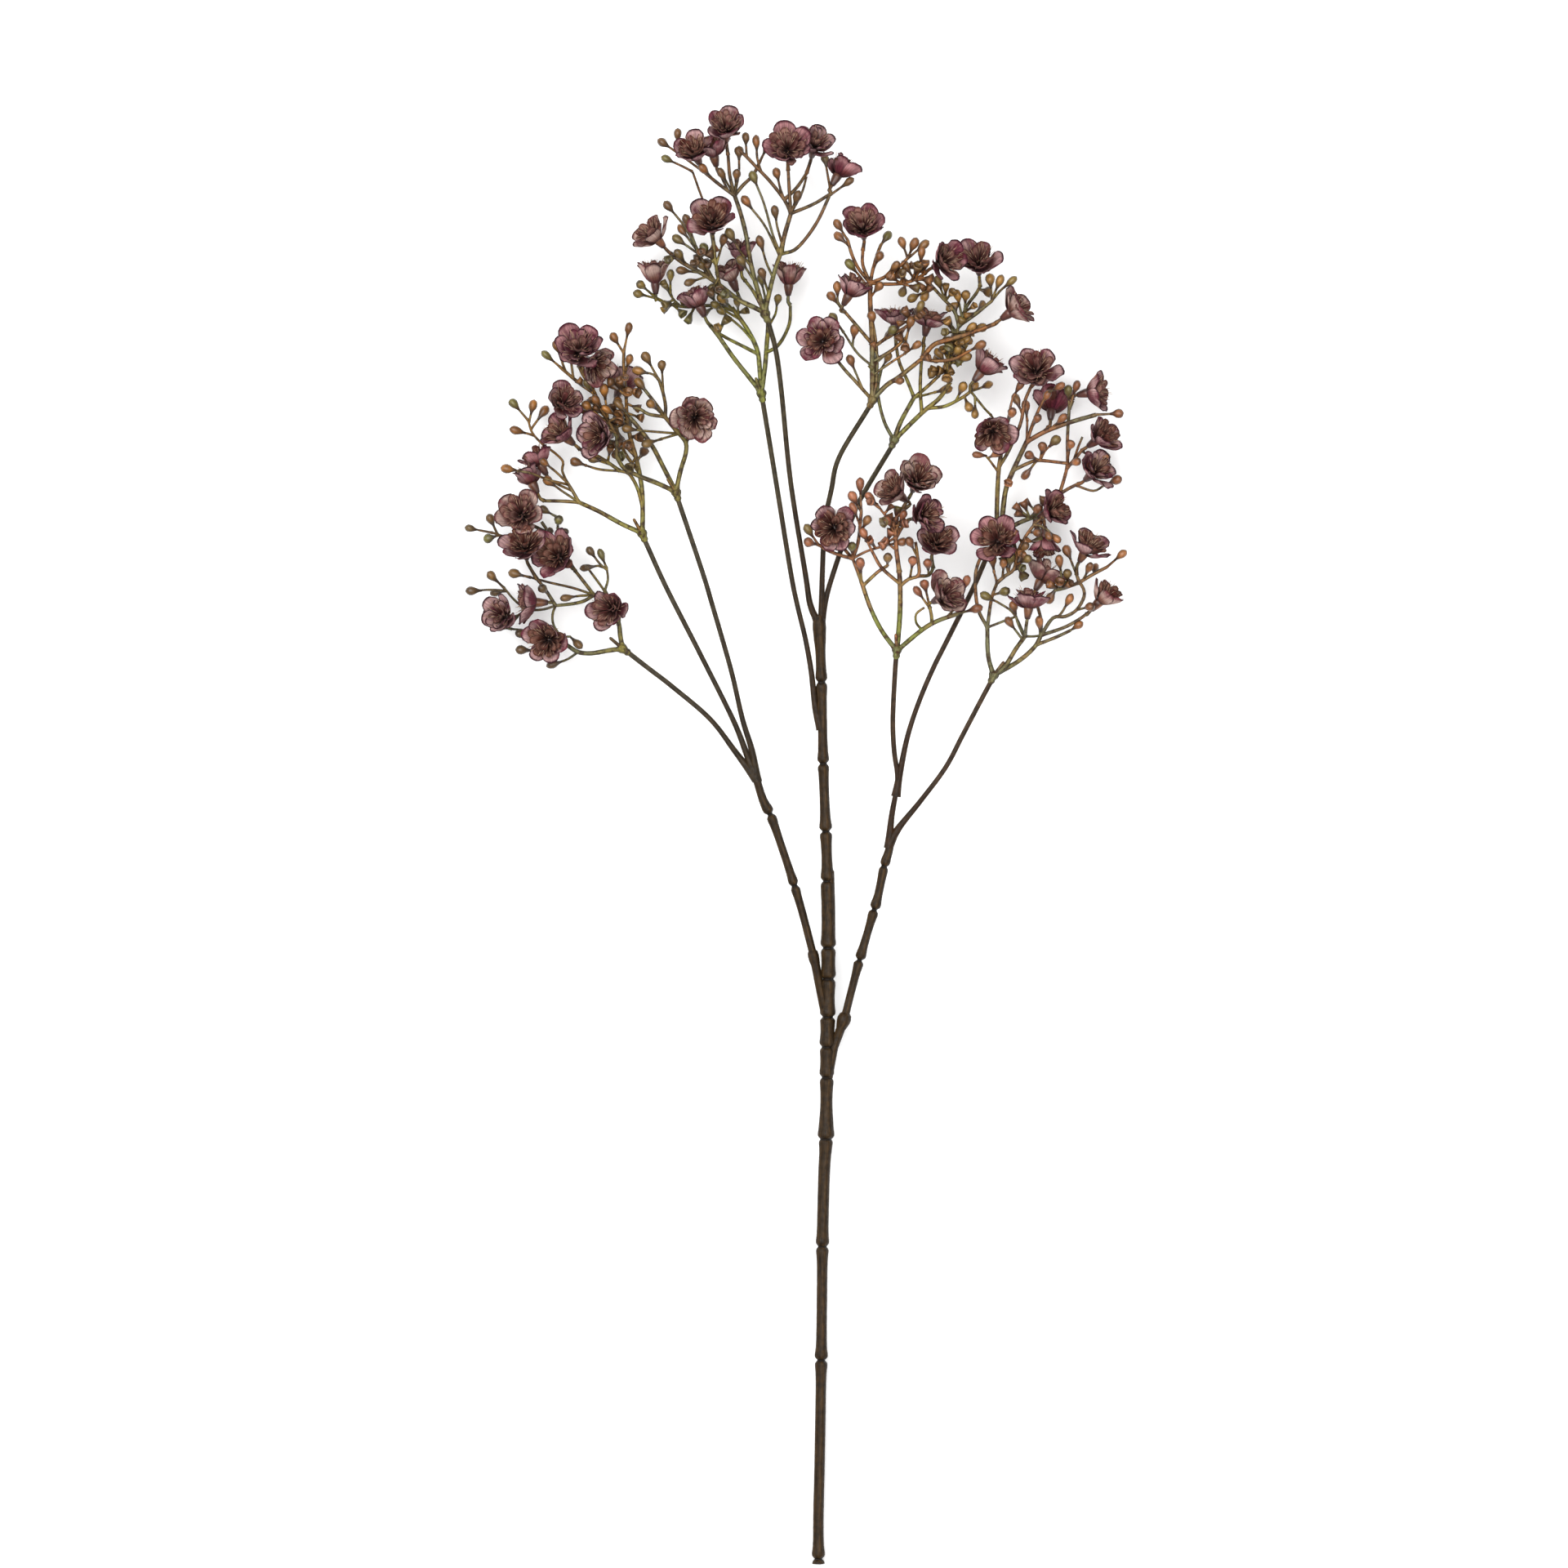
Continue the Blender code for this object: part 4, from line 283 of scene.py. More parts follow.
# Each spray: the point where its collar begins, the way of the collar, and the way of its stub peg
COLLARS = {
    "spray_a": ((-12.75, 231.9, 37.45), (-0.35, 0.93, 0.12), (-2.2, 4.5, 0.5)),
    "spray_b": ((-15.15, 196.8, 20.1), (-0.16, 0.98, 0.0), (-1.8, 5.0, 1.5)),
    "spray_c": ((32.45, 193.9, 35.25), (0.4, 0.9, 0.1), (1.0, 4.0, 1.0)),
    "spray_d": ((42.4, 176.3, 20.4), (0.35, 0.93, 0.0), (1.8, 5.2, 1.8)),
    "spray_e": ((44.45, 81.9, 33.4), (0.08, 0.98, 0.12), (-0.3, 5.0, 2.2)),
    "spray_f": ((88.85, 134.75, 18.2), (0.35, 0.93, 0.0), (3.0, 4.5, 0.5)),
    "spray_g": ((86.65, 70.95, 27.65), (0.4, 0.9, 0.1), (2.6, 3.6, 1.2)),
    "spray_h": ((-52.9, 152.3, 31.8), (-0.25, 0.96, 0.05), (-2.4, 4.0, 1.4)),
    "spray_i": ((-67.85, 134.3, 20.1), (-0.35, 0.93, 0.0), (-3.0, 5.2, 1.2)),
    "spray_j": ((-75.1, 84.1, 16.25), (-0.8, 0.58, 0.0), (-4.0, 3.4, 1.5)),
}

# Twigs of each spray: name, the twig it leaves ("" is the collar), thickness, foot (x, y), then the route
TWIGS = {
    "spray_a": (
        ("left", "", ARM, (-14.5, 236.5), (-19, 238.3, 37.5), (-26, 241.8, 36), (-38, 251, 33),
         (-50, 258, 30), (-56, 262.5, 29)),
        ("left_up", "left", TWIG, (-37, 250.3), (-43, 261, 36), (-46.5, 268.5, 38), (-50, 274.6, 38)),
        ("to_big", "left", TWIG, (-34.5, 248.5), (-36, 257, 38), (-37, 266, 39.5)),
        ("far_up", "to_big", STALK, (-36.2, 260), (-38, 270, 34), (-40.5, 282, 33), (-44, 292, 34),
         (-46.5, 299, 36)),
        ("middle", "", ARM, (-14.5, 236.5), (-18, 248, 39), (-20.5, 258, 40), (-22.5, 270, 42),
         (-25, 280, 43), (-27.7, 288, 44)),
        ("fork_left", "middle", TWIG, (-27.7, 288), (-33, 291.7, 44), (-39, 296.5, 43.5),
         (-41.5, 298.6, 42.8)),
        ("pair_left", "fork_left", STALK, (-40, 297.3), (-48, 303.5, 38), (-53, 307.2, 36.5)),
        ("pair_mid", "fork_left", STALK, (-30.5, 290), (-33, 295, 43), (-35, 299, 41)),
        ("fork_up", "middle", TWIG, (-27.7, 288), (-29, 293, 44.5), (-30, 298, 44.5), (-30.6, 306, 42.5)),
        ("fork_peg", "middle", STALK, (-27.7, 288), (-25.8, 298, 46), (-25.7, 304, 46)),
        ("fork_right", "middle", TWIG, (-27.7, 288), (-24, 292.5, 43.5), (-19.5, 297, 43),
         (-16.5, 303, 43)),
        ("right", "", ARM, (-14.5, 236.5), (-11.5, 248, 40), (-9, 257, 41), (-7.2, 262, 42)),
        ("right_up", "right", ARM, (-7.2, 262), (-5.5, 270, 43), (-2.6, 280, 44)),
        ("long_left", "right_up", TWIG, (-2.6, 280), (-5.5, 286, 45), (-12, 294.3, 46), (-18, 300.5, 47),
         (-23, 305.7, 47.5), (-26, 308.3, 47)),
        ("to_pale", "long_left", TWIG, (-5.5, 286), (0, 291.5, 44), (4.4, 298, 40.5)),
        ("to_front", "right_up", TWIG, (-2.6, 280), (-3.3, 290, 45.5), (-3.8, 299, 45.5)),
        ("twin", "right_up", STALK, (-2.6, 280), (2.2, 289, 42.5), (4.4, 296.5, 41)),
        ("right_side", "right_up", TWIG, (-2.6, 280), (4, 282.6, 43), (9, 285, 42.5), (15, 288.8, 42)),
        ("long_right", "right", TWIG, (-7.2, 262), (-1, 263.8, 41), (4.5, 269.5, 40.5), (9.5, 277, 41),
         (13.5, 285.5, 41.5), (15.2, 289.5, 42)),
        ("low", "", TWIG, (-14.3, 235.8), (-19, 245, 33.5), (-23, 250.5, 30)),
        ("low_left", "", TWIG, (-14.3, 235.8), (-20.5, 239.5, 34), (-25, 241.7, 29)),
    ),
    "spray_b": (
        ("left", "", ARM, (-15.8, 200.5), (-20, 206, 21), (-28, 216, 23), (-35, 226, 24),
         (-38.3, 230.3, 24)),
        ("left_peg", "left", STALK, (-35, 226), (-33.5, 230, 25), (-31.4, 233.5, 25.5)),
        ("middle", "", ARM, (-15.8, 200.5), (-16.6, 212, 19), (-17.7, 220, 18), (-22, 229, 18),
         (-29, 239, 17.5)),
        ("cross", "middle", TWIG, (-17.4, 218), (-24, 221.5, 19.5), (-31, 225, 21), (-36.5, 228.2, 24)),
        ("long_left", "middle", TWIG, (-28, 237.5), (-38, 240, 11), (-50, 239.5, 10.5), (-58, 241, 13),
         (-62.5, 243, 15.5)),
        ("long_peg", "long_left", STALK, (-52, 239.8), (-55.5, 243, 20), (-56.5, 246, 25)),
        ("right", "", ARM, (-15.8, 200.5), (-14.2, 212, 20), (-13.4, 222, 18), (-12.8, 232, 16),
         (-14, 243, 15)),
        ("to_right", "right", TWIG, (-13.6, 219), (-10, 220.5, 18), (-6.5, 224.5, 17), (-3.2, 232, 17),
         (-2.8, 240, 17)),
        ("inner", "middle", STALK, (-19, 222.8), (-24, 229, 21), (-29.5, 233.8, 22)),
    ),
    "spray_c": (
        ("centre", "", THICK, (33.6, 197), (33.8, 210, 37), (33.6, 225, 39), (32.8, 240, 41),
         (32.8, 249, 42)),
        ("twin", "", TWIG, (33.9, 197.5), (35.6, 207, 36), (35.6, 220, 37.5), (34, 231, 39.8)),
        ("up_left", "centre", TWIG, (32.8, 249), (27.5, 255.5, 43), (24.5, 262, 43), (22.8, 268, 42.5)),
        ("to_big", "centre", TWIG, (32.8, 249), (29.5, 257, 41.5), (29.5, 263.5, 40.5)),
        ("up", "centre", TWIG, (32.8, 249), (34, 255, 42), (36, 262, 40), (37.5, 266, 38.5)),
        ("up_right", "centre", TWIG, (32.8, 249), (40, 252, 43), (45.5, 256, 44), (49.5, 260, 45)),
        ("to_right", "centre", TWIG, (32.8, 249), (40, 248.5, 42), (48, 249, 41.5), (54, 251.3, 40.5),
         (57, 253.3, 39)),
        ("side", "centre", TWIG, (33.6, 222), (31, 225, 40), (25, 232, 43), (19.8, 238, 43)),
        ("low_side", "centre", STALK, (33.8, 212), (27, 218, 38), (21, 227, 39)),
        ("long_left", "", TWIG, (33.6, 197), (27, 204.5, 36), (21.5, 210.5, 35), (16, 217.5, 33)),
        ("thick", "", ARM, (33.6, 197), (40, 203.5, 36), (46, 207.5, 35.5), (56, 215.5, 35)),
        ("far", "thick", ARM, (56, 215.5), (61, 221.5, 36), (68, 224, 36.5), (78, 227, 37),
         (88.5, 231, 36.5)),
        ("far_low", "thick", TWIG, (56, 215.5), (62, 214.5, 35.3), (70, 215.3, 36.5), (76.5, 218.5, 38.5)),
        ("branch_high", "centre", TWIG, (33.6, 220), (40, 224.5, 38.5), (48, 229, 39), (52.5, 232.8, 39.5)),
        ("branch_mid", "centre", TWIG, (33.8, 214), (43, 219.5, 38), (49, 225, 39)),
        ("branch_low", "centre", STALK, (33.8, 208), (41, 213, 37.3), (48, 217.5, 38)),
    ),
    "spray_d": (
        ("left", "", TWIG, (43.4, 179.5), (39.5, 187, 20.5), (37, 196, 21), (36.3, 203, 22),
         (37.8, 211, 23.5)),
        ("middle", "", ARM, (43.4, 179.5), (46.5, 187.5, 21), (52.5, 198.5, 23)),
        ("to_left", "middle", TWIG, (52.5, 198.5), (49.5, 206, 24), (46, 214, 24.5), (44.6, 221, 24.8)),
        ("short", "middle", TWIG, (52.5, 198.5), (57.5, 202.5, 24), (63.5, 208, 25.5)),
        ("short_low", "middle", STALK, (52.5, 198.5), (57.5, 199.7, 21.5), (61.5, 200.8, 20.5)),
        ("right", "", ARM, (43.4, 179.5), (56, 191.6, 21.5), (63.7, 198, 23), (68.7, 205.3, 25)),
        ("upright", "right", TWIG, (56, 191.6), (55.3, 202.6, 24), (55.8, 214, 24.7), (56.9, 221, 24.8)),
        ("long_right", "right", TWIG, (58.5, 193.7), (66.6, 194.7, 22), (75, 199, 23), (77.8, 201.3, 24)),
        ("hanging", "long_right", STALK, (77.8, 201.3), (84, 193.8, 20), (86.8, 191, 18.5)),
        ("cluster", "right", TWIG, (68.7, 205.3), (67.5, 214, 26.5), (70, 223, 28), (72.5, 230.3, 30)),
        ("fork_left", "cluster", TWIG, (72.5, 230.3), (70.3, 237, 31), (64.4, 243.6, 32),
         (59.5, 249, 32.5)),
        ("fork_right", "cluster", TWIG, (72.5, 230.3), (80, 235.5, 31), (87.3, 241.5, 32)),
        ("fork_up", "cluster", TWIG, (72.5, 230.3), (76, 239, 30), (80, 244.5, 28.5), (82, 248, 28)),
    ),
    "spray_e": (
        ("left", "", ARM, (44.8, 85), (38, 94, 35), (33, 104, 36), (29, 115.5, 37)),
        ("left_end", "left", TWIG, (29, 115.5), (26.8, 121.5, 37.5), (25, 126.2, 37.5)),
        ("far_left", "left_end", TWIG, (25, 126.2), (20, 127.5, 37), (13.5, 130, 37), (9.5, 132.6, 37.5)),
        ("to_left", "left_end", TWIG, (25, 126.2), (21, 131, 35), (18.2, 136.5, 34.5)),
        ("left_up", "left_end", TWIG, (25, 126.2), (27.3, 133, 39), (28.3, 141, 41), (28.8, 147, 42)),
        ("left_cross", "left_end", STALK, (25, 126.2), (31, 129.3, 38), (38, 131.5, 38),
         (43.5, 132.8, 38.5)),
        ("left_bud", "left", TWIG, (29.6, 114), (36, 120, 38), (40.5, 123, 38.5)),
        ("centre", "", THICK, (44.8, 85), (46, 100, 36), (46.2, 112, 38), (45.8, 120, 39)),
        ("centre_up", "centre", ARM, (45.8, 120), (44.5, 130, 40), (44, 137, 41), (43, 142, 41.5)),
        ("centre_left", "centre", TWIG, (46.1, 115), (42.5, 117.8, 40), (37.5, 122.5, 41), (33.8, 129, 42)),
        ("centre_right", "centre", TWIG, (46.1, 114), (50, 117, 38.5), (54.5, 119, 39), (53.9, 127, 40),
         (53, 133.5, 41)),
        ("to_mid", "centre_up", TWIG, (44.2, 135), (47, 140, 37), (49.5, 142.8, 36.5)),
        ("to_top", "centre_up", TWIG, (43, 142), (46, 146.5, 41)),
        ("to_low_right", "centre_right", TWIG, (53.5, 118.7), (59, 118.8, 34), (61, 122, 32.5)),
        ("curl", "centre_up", STALK, (43, 142), (39, 146, 43.5), (36, 150, 44.5)),
        ("right", "", ARM, (44.8, 85), (55.5, 94, 34.5), (62.5, 98.2, 35), (72, 101.6, 35.5)),
        ("ring", "right", STALK, (56, 94.3), (53.4, 97.5, 36), (53.4, 101.5, 37), (57, 104.3, 38)),
        ("to_low", "right", TWIG, (60.5, 97), (60.2, 100.5, 36), (59.5, 104, 36.5)),
    ),
    "spray_f": (
        ("left", "", ARM, (90, 137.7), (89.7, 143, 19.5), (89.7, 152, 21), (90.3, 165, 24),
         (91.5, 174, 24.5)),
        ("bud_fork", "left", STALK, (90.3, 165), (86.5, 170, 26.5), (84.5, 172.3, 27.5)),
        ("to_left", "left", TWIG, (91.3, 172.5), (89.5, 178, 24), (87.2, 183.5, 23.5)),
        ("to_top", "left", TWIG, (90.6, 167.5), (94, 173, 24), (98, 181.5, 25), (100.5, 188, 25),
         (102, 196.5, 24.5), (104.8, 203.3, 23.5)),
        ("loop", "to_top", STALK, (97, 179.5), (94.5, 186.5, 26), (95.8, 195, 27), (97, 199, 27.5)),
        ("right", "", THICK, (90, 137.7), (91.8, 143.5, 17.8), (93.6, 157, 18), (97, 166, 19),
         (103, 178.8, 20)),
        ("long_right", "right", ARM, (103, 178.8), (112, 183.7, 20.5), (123, 187.6, 22.5),
         (134, 190.8, 23)),
        ("to_back", "long_right", TWIG, (110.5, 183), (112.5, 185.2, 18)),
        ("up", "right", TWIG, (103, 178.8), (106, 187.5, 22), (108.5, 193.5, 25)),
        ("up_thin", "right", STALK, (103, 178.8), (103.2, 188, 21.5)),
        ("rod", "right", TWIG, (97, 166), (104, 169.3, 20), (108.5, 170.4, 20.5), (120.8, 169.2, 18)),
        ("low", "", ARM, (90, 137.7), (95, 140, 18), (100, 142.7, 18.3), (106, 145, 18)),
        ("low_up", "low", TWIG, (105, 144.7), (112, 149, 11.5), (117, 154.5, 11), (119.5, 161, 12.5),
         (121.3, 169, 15), (121.3, 180, 17), (122, 193.5, 19)),
        ("to_end", "low_up", TWIG, (122, 193.5), (123.7, 197.2, 20)),
        ("to_mid", "low_up", TWIG, (121.1, 167), (125, 171.5, 16), (127.5, 174.8, 16.5)),
        ("to_low", "low_up", TWIG, (117.3, 155.3), (122.5, 158.3, 11), (126, 160, 11)),
        ("under", "to_low", STALK, (125, 159.5), (133, 157, 10.5), (138, 159.5, 12)),
        ("thin_up", "to_mid", STALK, (124, 170.4), (126.3, 177, 18.5), (128, 181, 19)),
    ),
    "spray_g": (
        ("left", "", ARM, (87.9, 74), (85.6, 83, 29), (85.2, 95.5, 30)),
        ("left_up", "left", TWIG, (85.2, 95.5), (81.3, 103, 31), (79.9, 112, 31), (80.2, 121, 31),
         (83, 128, 30.5), (87, 131.5, 29.8)),
        ("inner", "left", TWIG, (85.2, 95.5), (87, 108, 31.5), (89.5, 115.5, 33)),
        ("inner_left", "inner", STALK, (89.5, 115.5), (88.2, 120, 33.5)),
        ("inner_right", "inner", TWIG, (89.5, 115.5), (93.4, 118.7, 34), (97, 121.5, 35), (98.7, 129, 36),
         (102.2, 136, 37), (106, 141.3, 37)),
        ("short", "left", STALK, (85.2, 95.5), (93, 98.5, 31), (98.5, 100.6, 32)),
        ("middle", "", ARM, (87.9, 74), (93, 78, 29.5), (98, 86, 31), (102, 91.5, 34)),
        ("low", "", ARM, (87.9, 74), (99.5, 80.7, 28), (106.5, 87, 29), (109.2, 92, 30)),
        ("joining", "middle", STALK, (102, 91.5), (106, 91.5, 32), (109.9, 92.1, 29.6)),
        ("low_right", "low", TWIG, (107, 87.7), (116, 91.2, 29), (122, 94, 29.5)),
        ("to_low_right", "low", TWIG, (109.2, 92), (119.5, 95.5, 30), (126, 99, 30.5), (129.2, 101.3, 31)),
        ("loop", "low", TWIG, (109.2, 92), (114.5, 99.7, 31), (120, 100.4, 32), (125, 103.3, 33),
         (128.3, 109, 33.5), (128, 113, 34), (126.2, 115.5, 34.5)),
        ("to_mid", "low", TWIG, (109.2, 92), (109.3, 99, 24), (107.8, 105, 23)),
        ("top_left", "loop", TWIG, (126.2, 115.5), (119.5, 113, 36), (115.3, 112, 35.5)),
        ("top_right", "loop", TWIG, (126.2, 115.5), (132.5, 119.3, 34.5), (138.5, 122.4, 34)),
        ("to_right", "loop", TWIG, (126.2, 115.5), (125, 119, 35.5)),
        ("hang", "inner_right", STALK, (106, 141.3), (109.5, 144.5, 33)),
    ),
    "spray_h": (
        ("right", "", ARM, (-54, 156), (-52, 165, 33), (-49.6, 173, 34), (-49.5, 178, 34.5),
         (-52.5, 182, 35)),
        ("to_main", "right", TWIG, (-49.5, 178), (-47, 183, 34), (-46.3, 187, 33.8)),
        ("side_long", "right", STALK, (-52.5, 182), (-61.5, 182.7, 35.5), (-69, 183.3, 36)),
        ("side_short", "right", STALK, (-52.5, 182), (-60, 179.7, 36.5)),
        ("up", "right", ARM, (-52.5, 182), (-55.5, 185.5, 35.2), (-58.8, 189.5, 35.5)),
        ("up_left", "up", TWIG, (-58.8, 189.5), (-66, 190.7, 34.7), (-70, 193, 34.2), (-73, 193.6, 34)),
        ("up_mid", "up", TWIG, (-58.8, 189.5), (-63.5, 196, 35), (-68, 201.8, 34)),
        ("up_high", "up", TWIG, (-58.8, 189.5), (-58.5, 194, 36), (-59.6, 200, 37), (-61.5, 206, 38)),
        ("stick", "up_high", STALK, (-59.6, 200), (-60, 209, 38.5)),
        ("middle", "", ARM, (-54, 156), (-59, 166, 33), (-64.5, 176.5, 34), (-70, 184, 34),
         (-74.5, 189.3, 34)),
        ("left", "", ARM, (-54, 156), (-62, 159.8, 32), (-70, 163, 31.5), (-77, 166.5, 31),
         (-80.5, 172, 31)),
    ),
    "spray_i": (
        ("up", "", ARM, (-69, 138), (-68.9, 146, 20.5), (-69.3, 158, 21), (-71.5, 170, 22),
         (-74.5, 181, 23), (-76, 190, 23.5)),
        ("bow", "up", TWIG, (-68.9, 149), (-71.3, 158, 22), (-75, 164.3, 22), (-79, 165.6, 22)),
        ("long_bud", "bow", STALK, (-79, 165.6), (-88, 166.3, 22), (-94, 168, 22)),
        ("to_low", "up", TWIG, (-70.5, 165), (-77, 174, 19), (-80.5, 184, 17), (-81.5, 193, 16)),
        ("fan", "up", TWIG, (-72, 172), (-80, 181, 22.5), (-86.5, 192, 23.5), (-91, 202, 23.5)),
        ("to_top", "fan", TWIG, (-91, 202), (-95.5, 208.5, 23), (-97.5, 212.5, 23.5)),
        ("tall", "up", TWIG, (-76, 190), (-76.3, 199, 27.5), (-77.3, 212, 29), (-77.2, 219, 30)),
        ("low_left", "bow", TWIG, (-79, 165.6), (-86, 170.5, 22), (-93, 174.3, 21), (-97, 175.2, 20.5)),
        ("to_shelf", "fan", TWIG, (-86.5, 192), (-95, 192.8, 18.5), (-102, 193.2, 17.5)),
        ("top_left", "fan", TWIG, (-90, 200), (-98, 205.5, 22), (-105.5, 211.8, 24)),
        ("left", "", ARM, (-69, 138), (-78, 141.8, 20), (-88, 147.3, 20), (-97.5, 151.7, 20)),
        ("left_end", "left", TWIG, (-97.5, 151.7), (-106, 152.2, 20), (-113, 152.3, 20.5)),
        ("left_up", "left", TWIG, (-97.5, 151.7), (-100.3, 156.7, 21), (-103, 161, 21)),
        ("left_hook", "left_up", STALK, (-103, 161), (-105, 166, 18), (-104.7, 170, 16),
         (-108.5, 174, 12.5), (-114, 178, 11.5), (-118.5, 183, 12), (-120.3, 188.5, 13)),
        ("left_out", "left_up", STALK, (-102, 159.5), (-110, 161.3, 28), (-119, 164.5, 32.5)),
        ("to_side", "left_up", STALK, (-100.3, 156.7), (-106.5, 159.5, 18.5), (-110, 161.3, 18)),
    ),
    "spray_j": (
        ("left", "", ARM, (-78, 86.2), (-84, 85.4, 16), (-92, 84.1, 16), (-98, 84.7, 15.5),
         (-102.5, 87.5, 15)),
        ("left_peg", "left", STALK, (-98, 84.7), (-102.3, 81.6, 15.5), (-106, 80.2, 15)),
        ("to_low", "left", TWIG, (-102.5, 87.5), (-106.5, 89.3, 14)),
        ("under", "left", STALK, (-102.5, 87.5), (-112, 92.8, 11.5), (-120, 94.2, 12), (-127.5, 95, 12)),
        ("far_peg", "left", STALK, (-102.5, 87.5), (-110, 86, 11.5), (-118, 85.4, 12.5)),
        ("up", "", ARM, (-78, 86.2), (-79, 92, 16), (-79.8, 98, 16), (-83, 106, 16), (-86, 112, 17)),
        ("across", "up", TWIG, (-85, 110), (-90.8, 110.2, 18)),
        ("to_edge", "across", TWIG, (-90.8, 110.2), (-95, 107.6, 18), (-100, 106.3, 18.5),
         (-108, 105.4, 19)),
        ("to_mid", "to_edge", TWIG, (-108, 105.4), (-110.8, 110, 20), (-113.5, 114, 21),
         (-116.3, 117.3, 21.5)),
        ("down", "to_edge", STALK, (-108, 105.4), (-109.3, 101.5, 17), (-109, 97, 13), (-106, 92, 13)),
        ("long_bud", "across", STALK, (-90.8, 110.2), (-100, 113.3, 19), (-110, 115.6, 20),
         (-119, 118, 20)),
        ("to_right_top", "across", TWIG, (-90.8, 110.2), (-96, 117, 19.5), (-100, 122, 19)),
        ("peg_top", "up", STALK, (-86, 112), (-90, 117.5, 20), (-94.5, 123.5, 22)),
        ("bud_fork", "up", STALK, (-86, 112), (-84.5, 117, 18), (-85, 122, 18.5)),
        ("behind", "to_right_top", TWIG, (-99, 120.8), (-105, 130, 15), (-110.5, 137.5, 15.5),
         (-114.3, 143, 16.5)),
        ("hook", "behind", STALK, (-107.7, 133.5), (-107, 140.5, 19), (-107.2, 145, 20)),
        ("to_top", "behind", TWIG, (-110.5, 137.5), (-117, 140.8, 14.5), (-120.5, 142.5, 14)),
        ("far_left", "behind", STALK, (-110.5, 137.5), (-120, 135.5, 13), (-129, 136, 15), (-136, 138, 17)),
        ("far_low", "to_edge", STALK, (-108, 105.4), (-114, 103.8, 8.8), (-121, 104, 7.5), (-126.5, 108, 9),
         (-131, 113.3, 11)),
        ("to_far", "far_low", STALK, (-121, 104), (-125.5, 100.8, 9.5)),
    ),
}

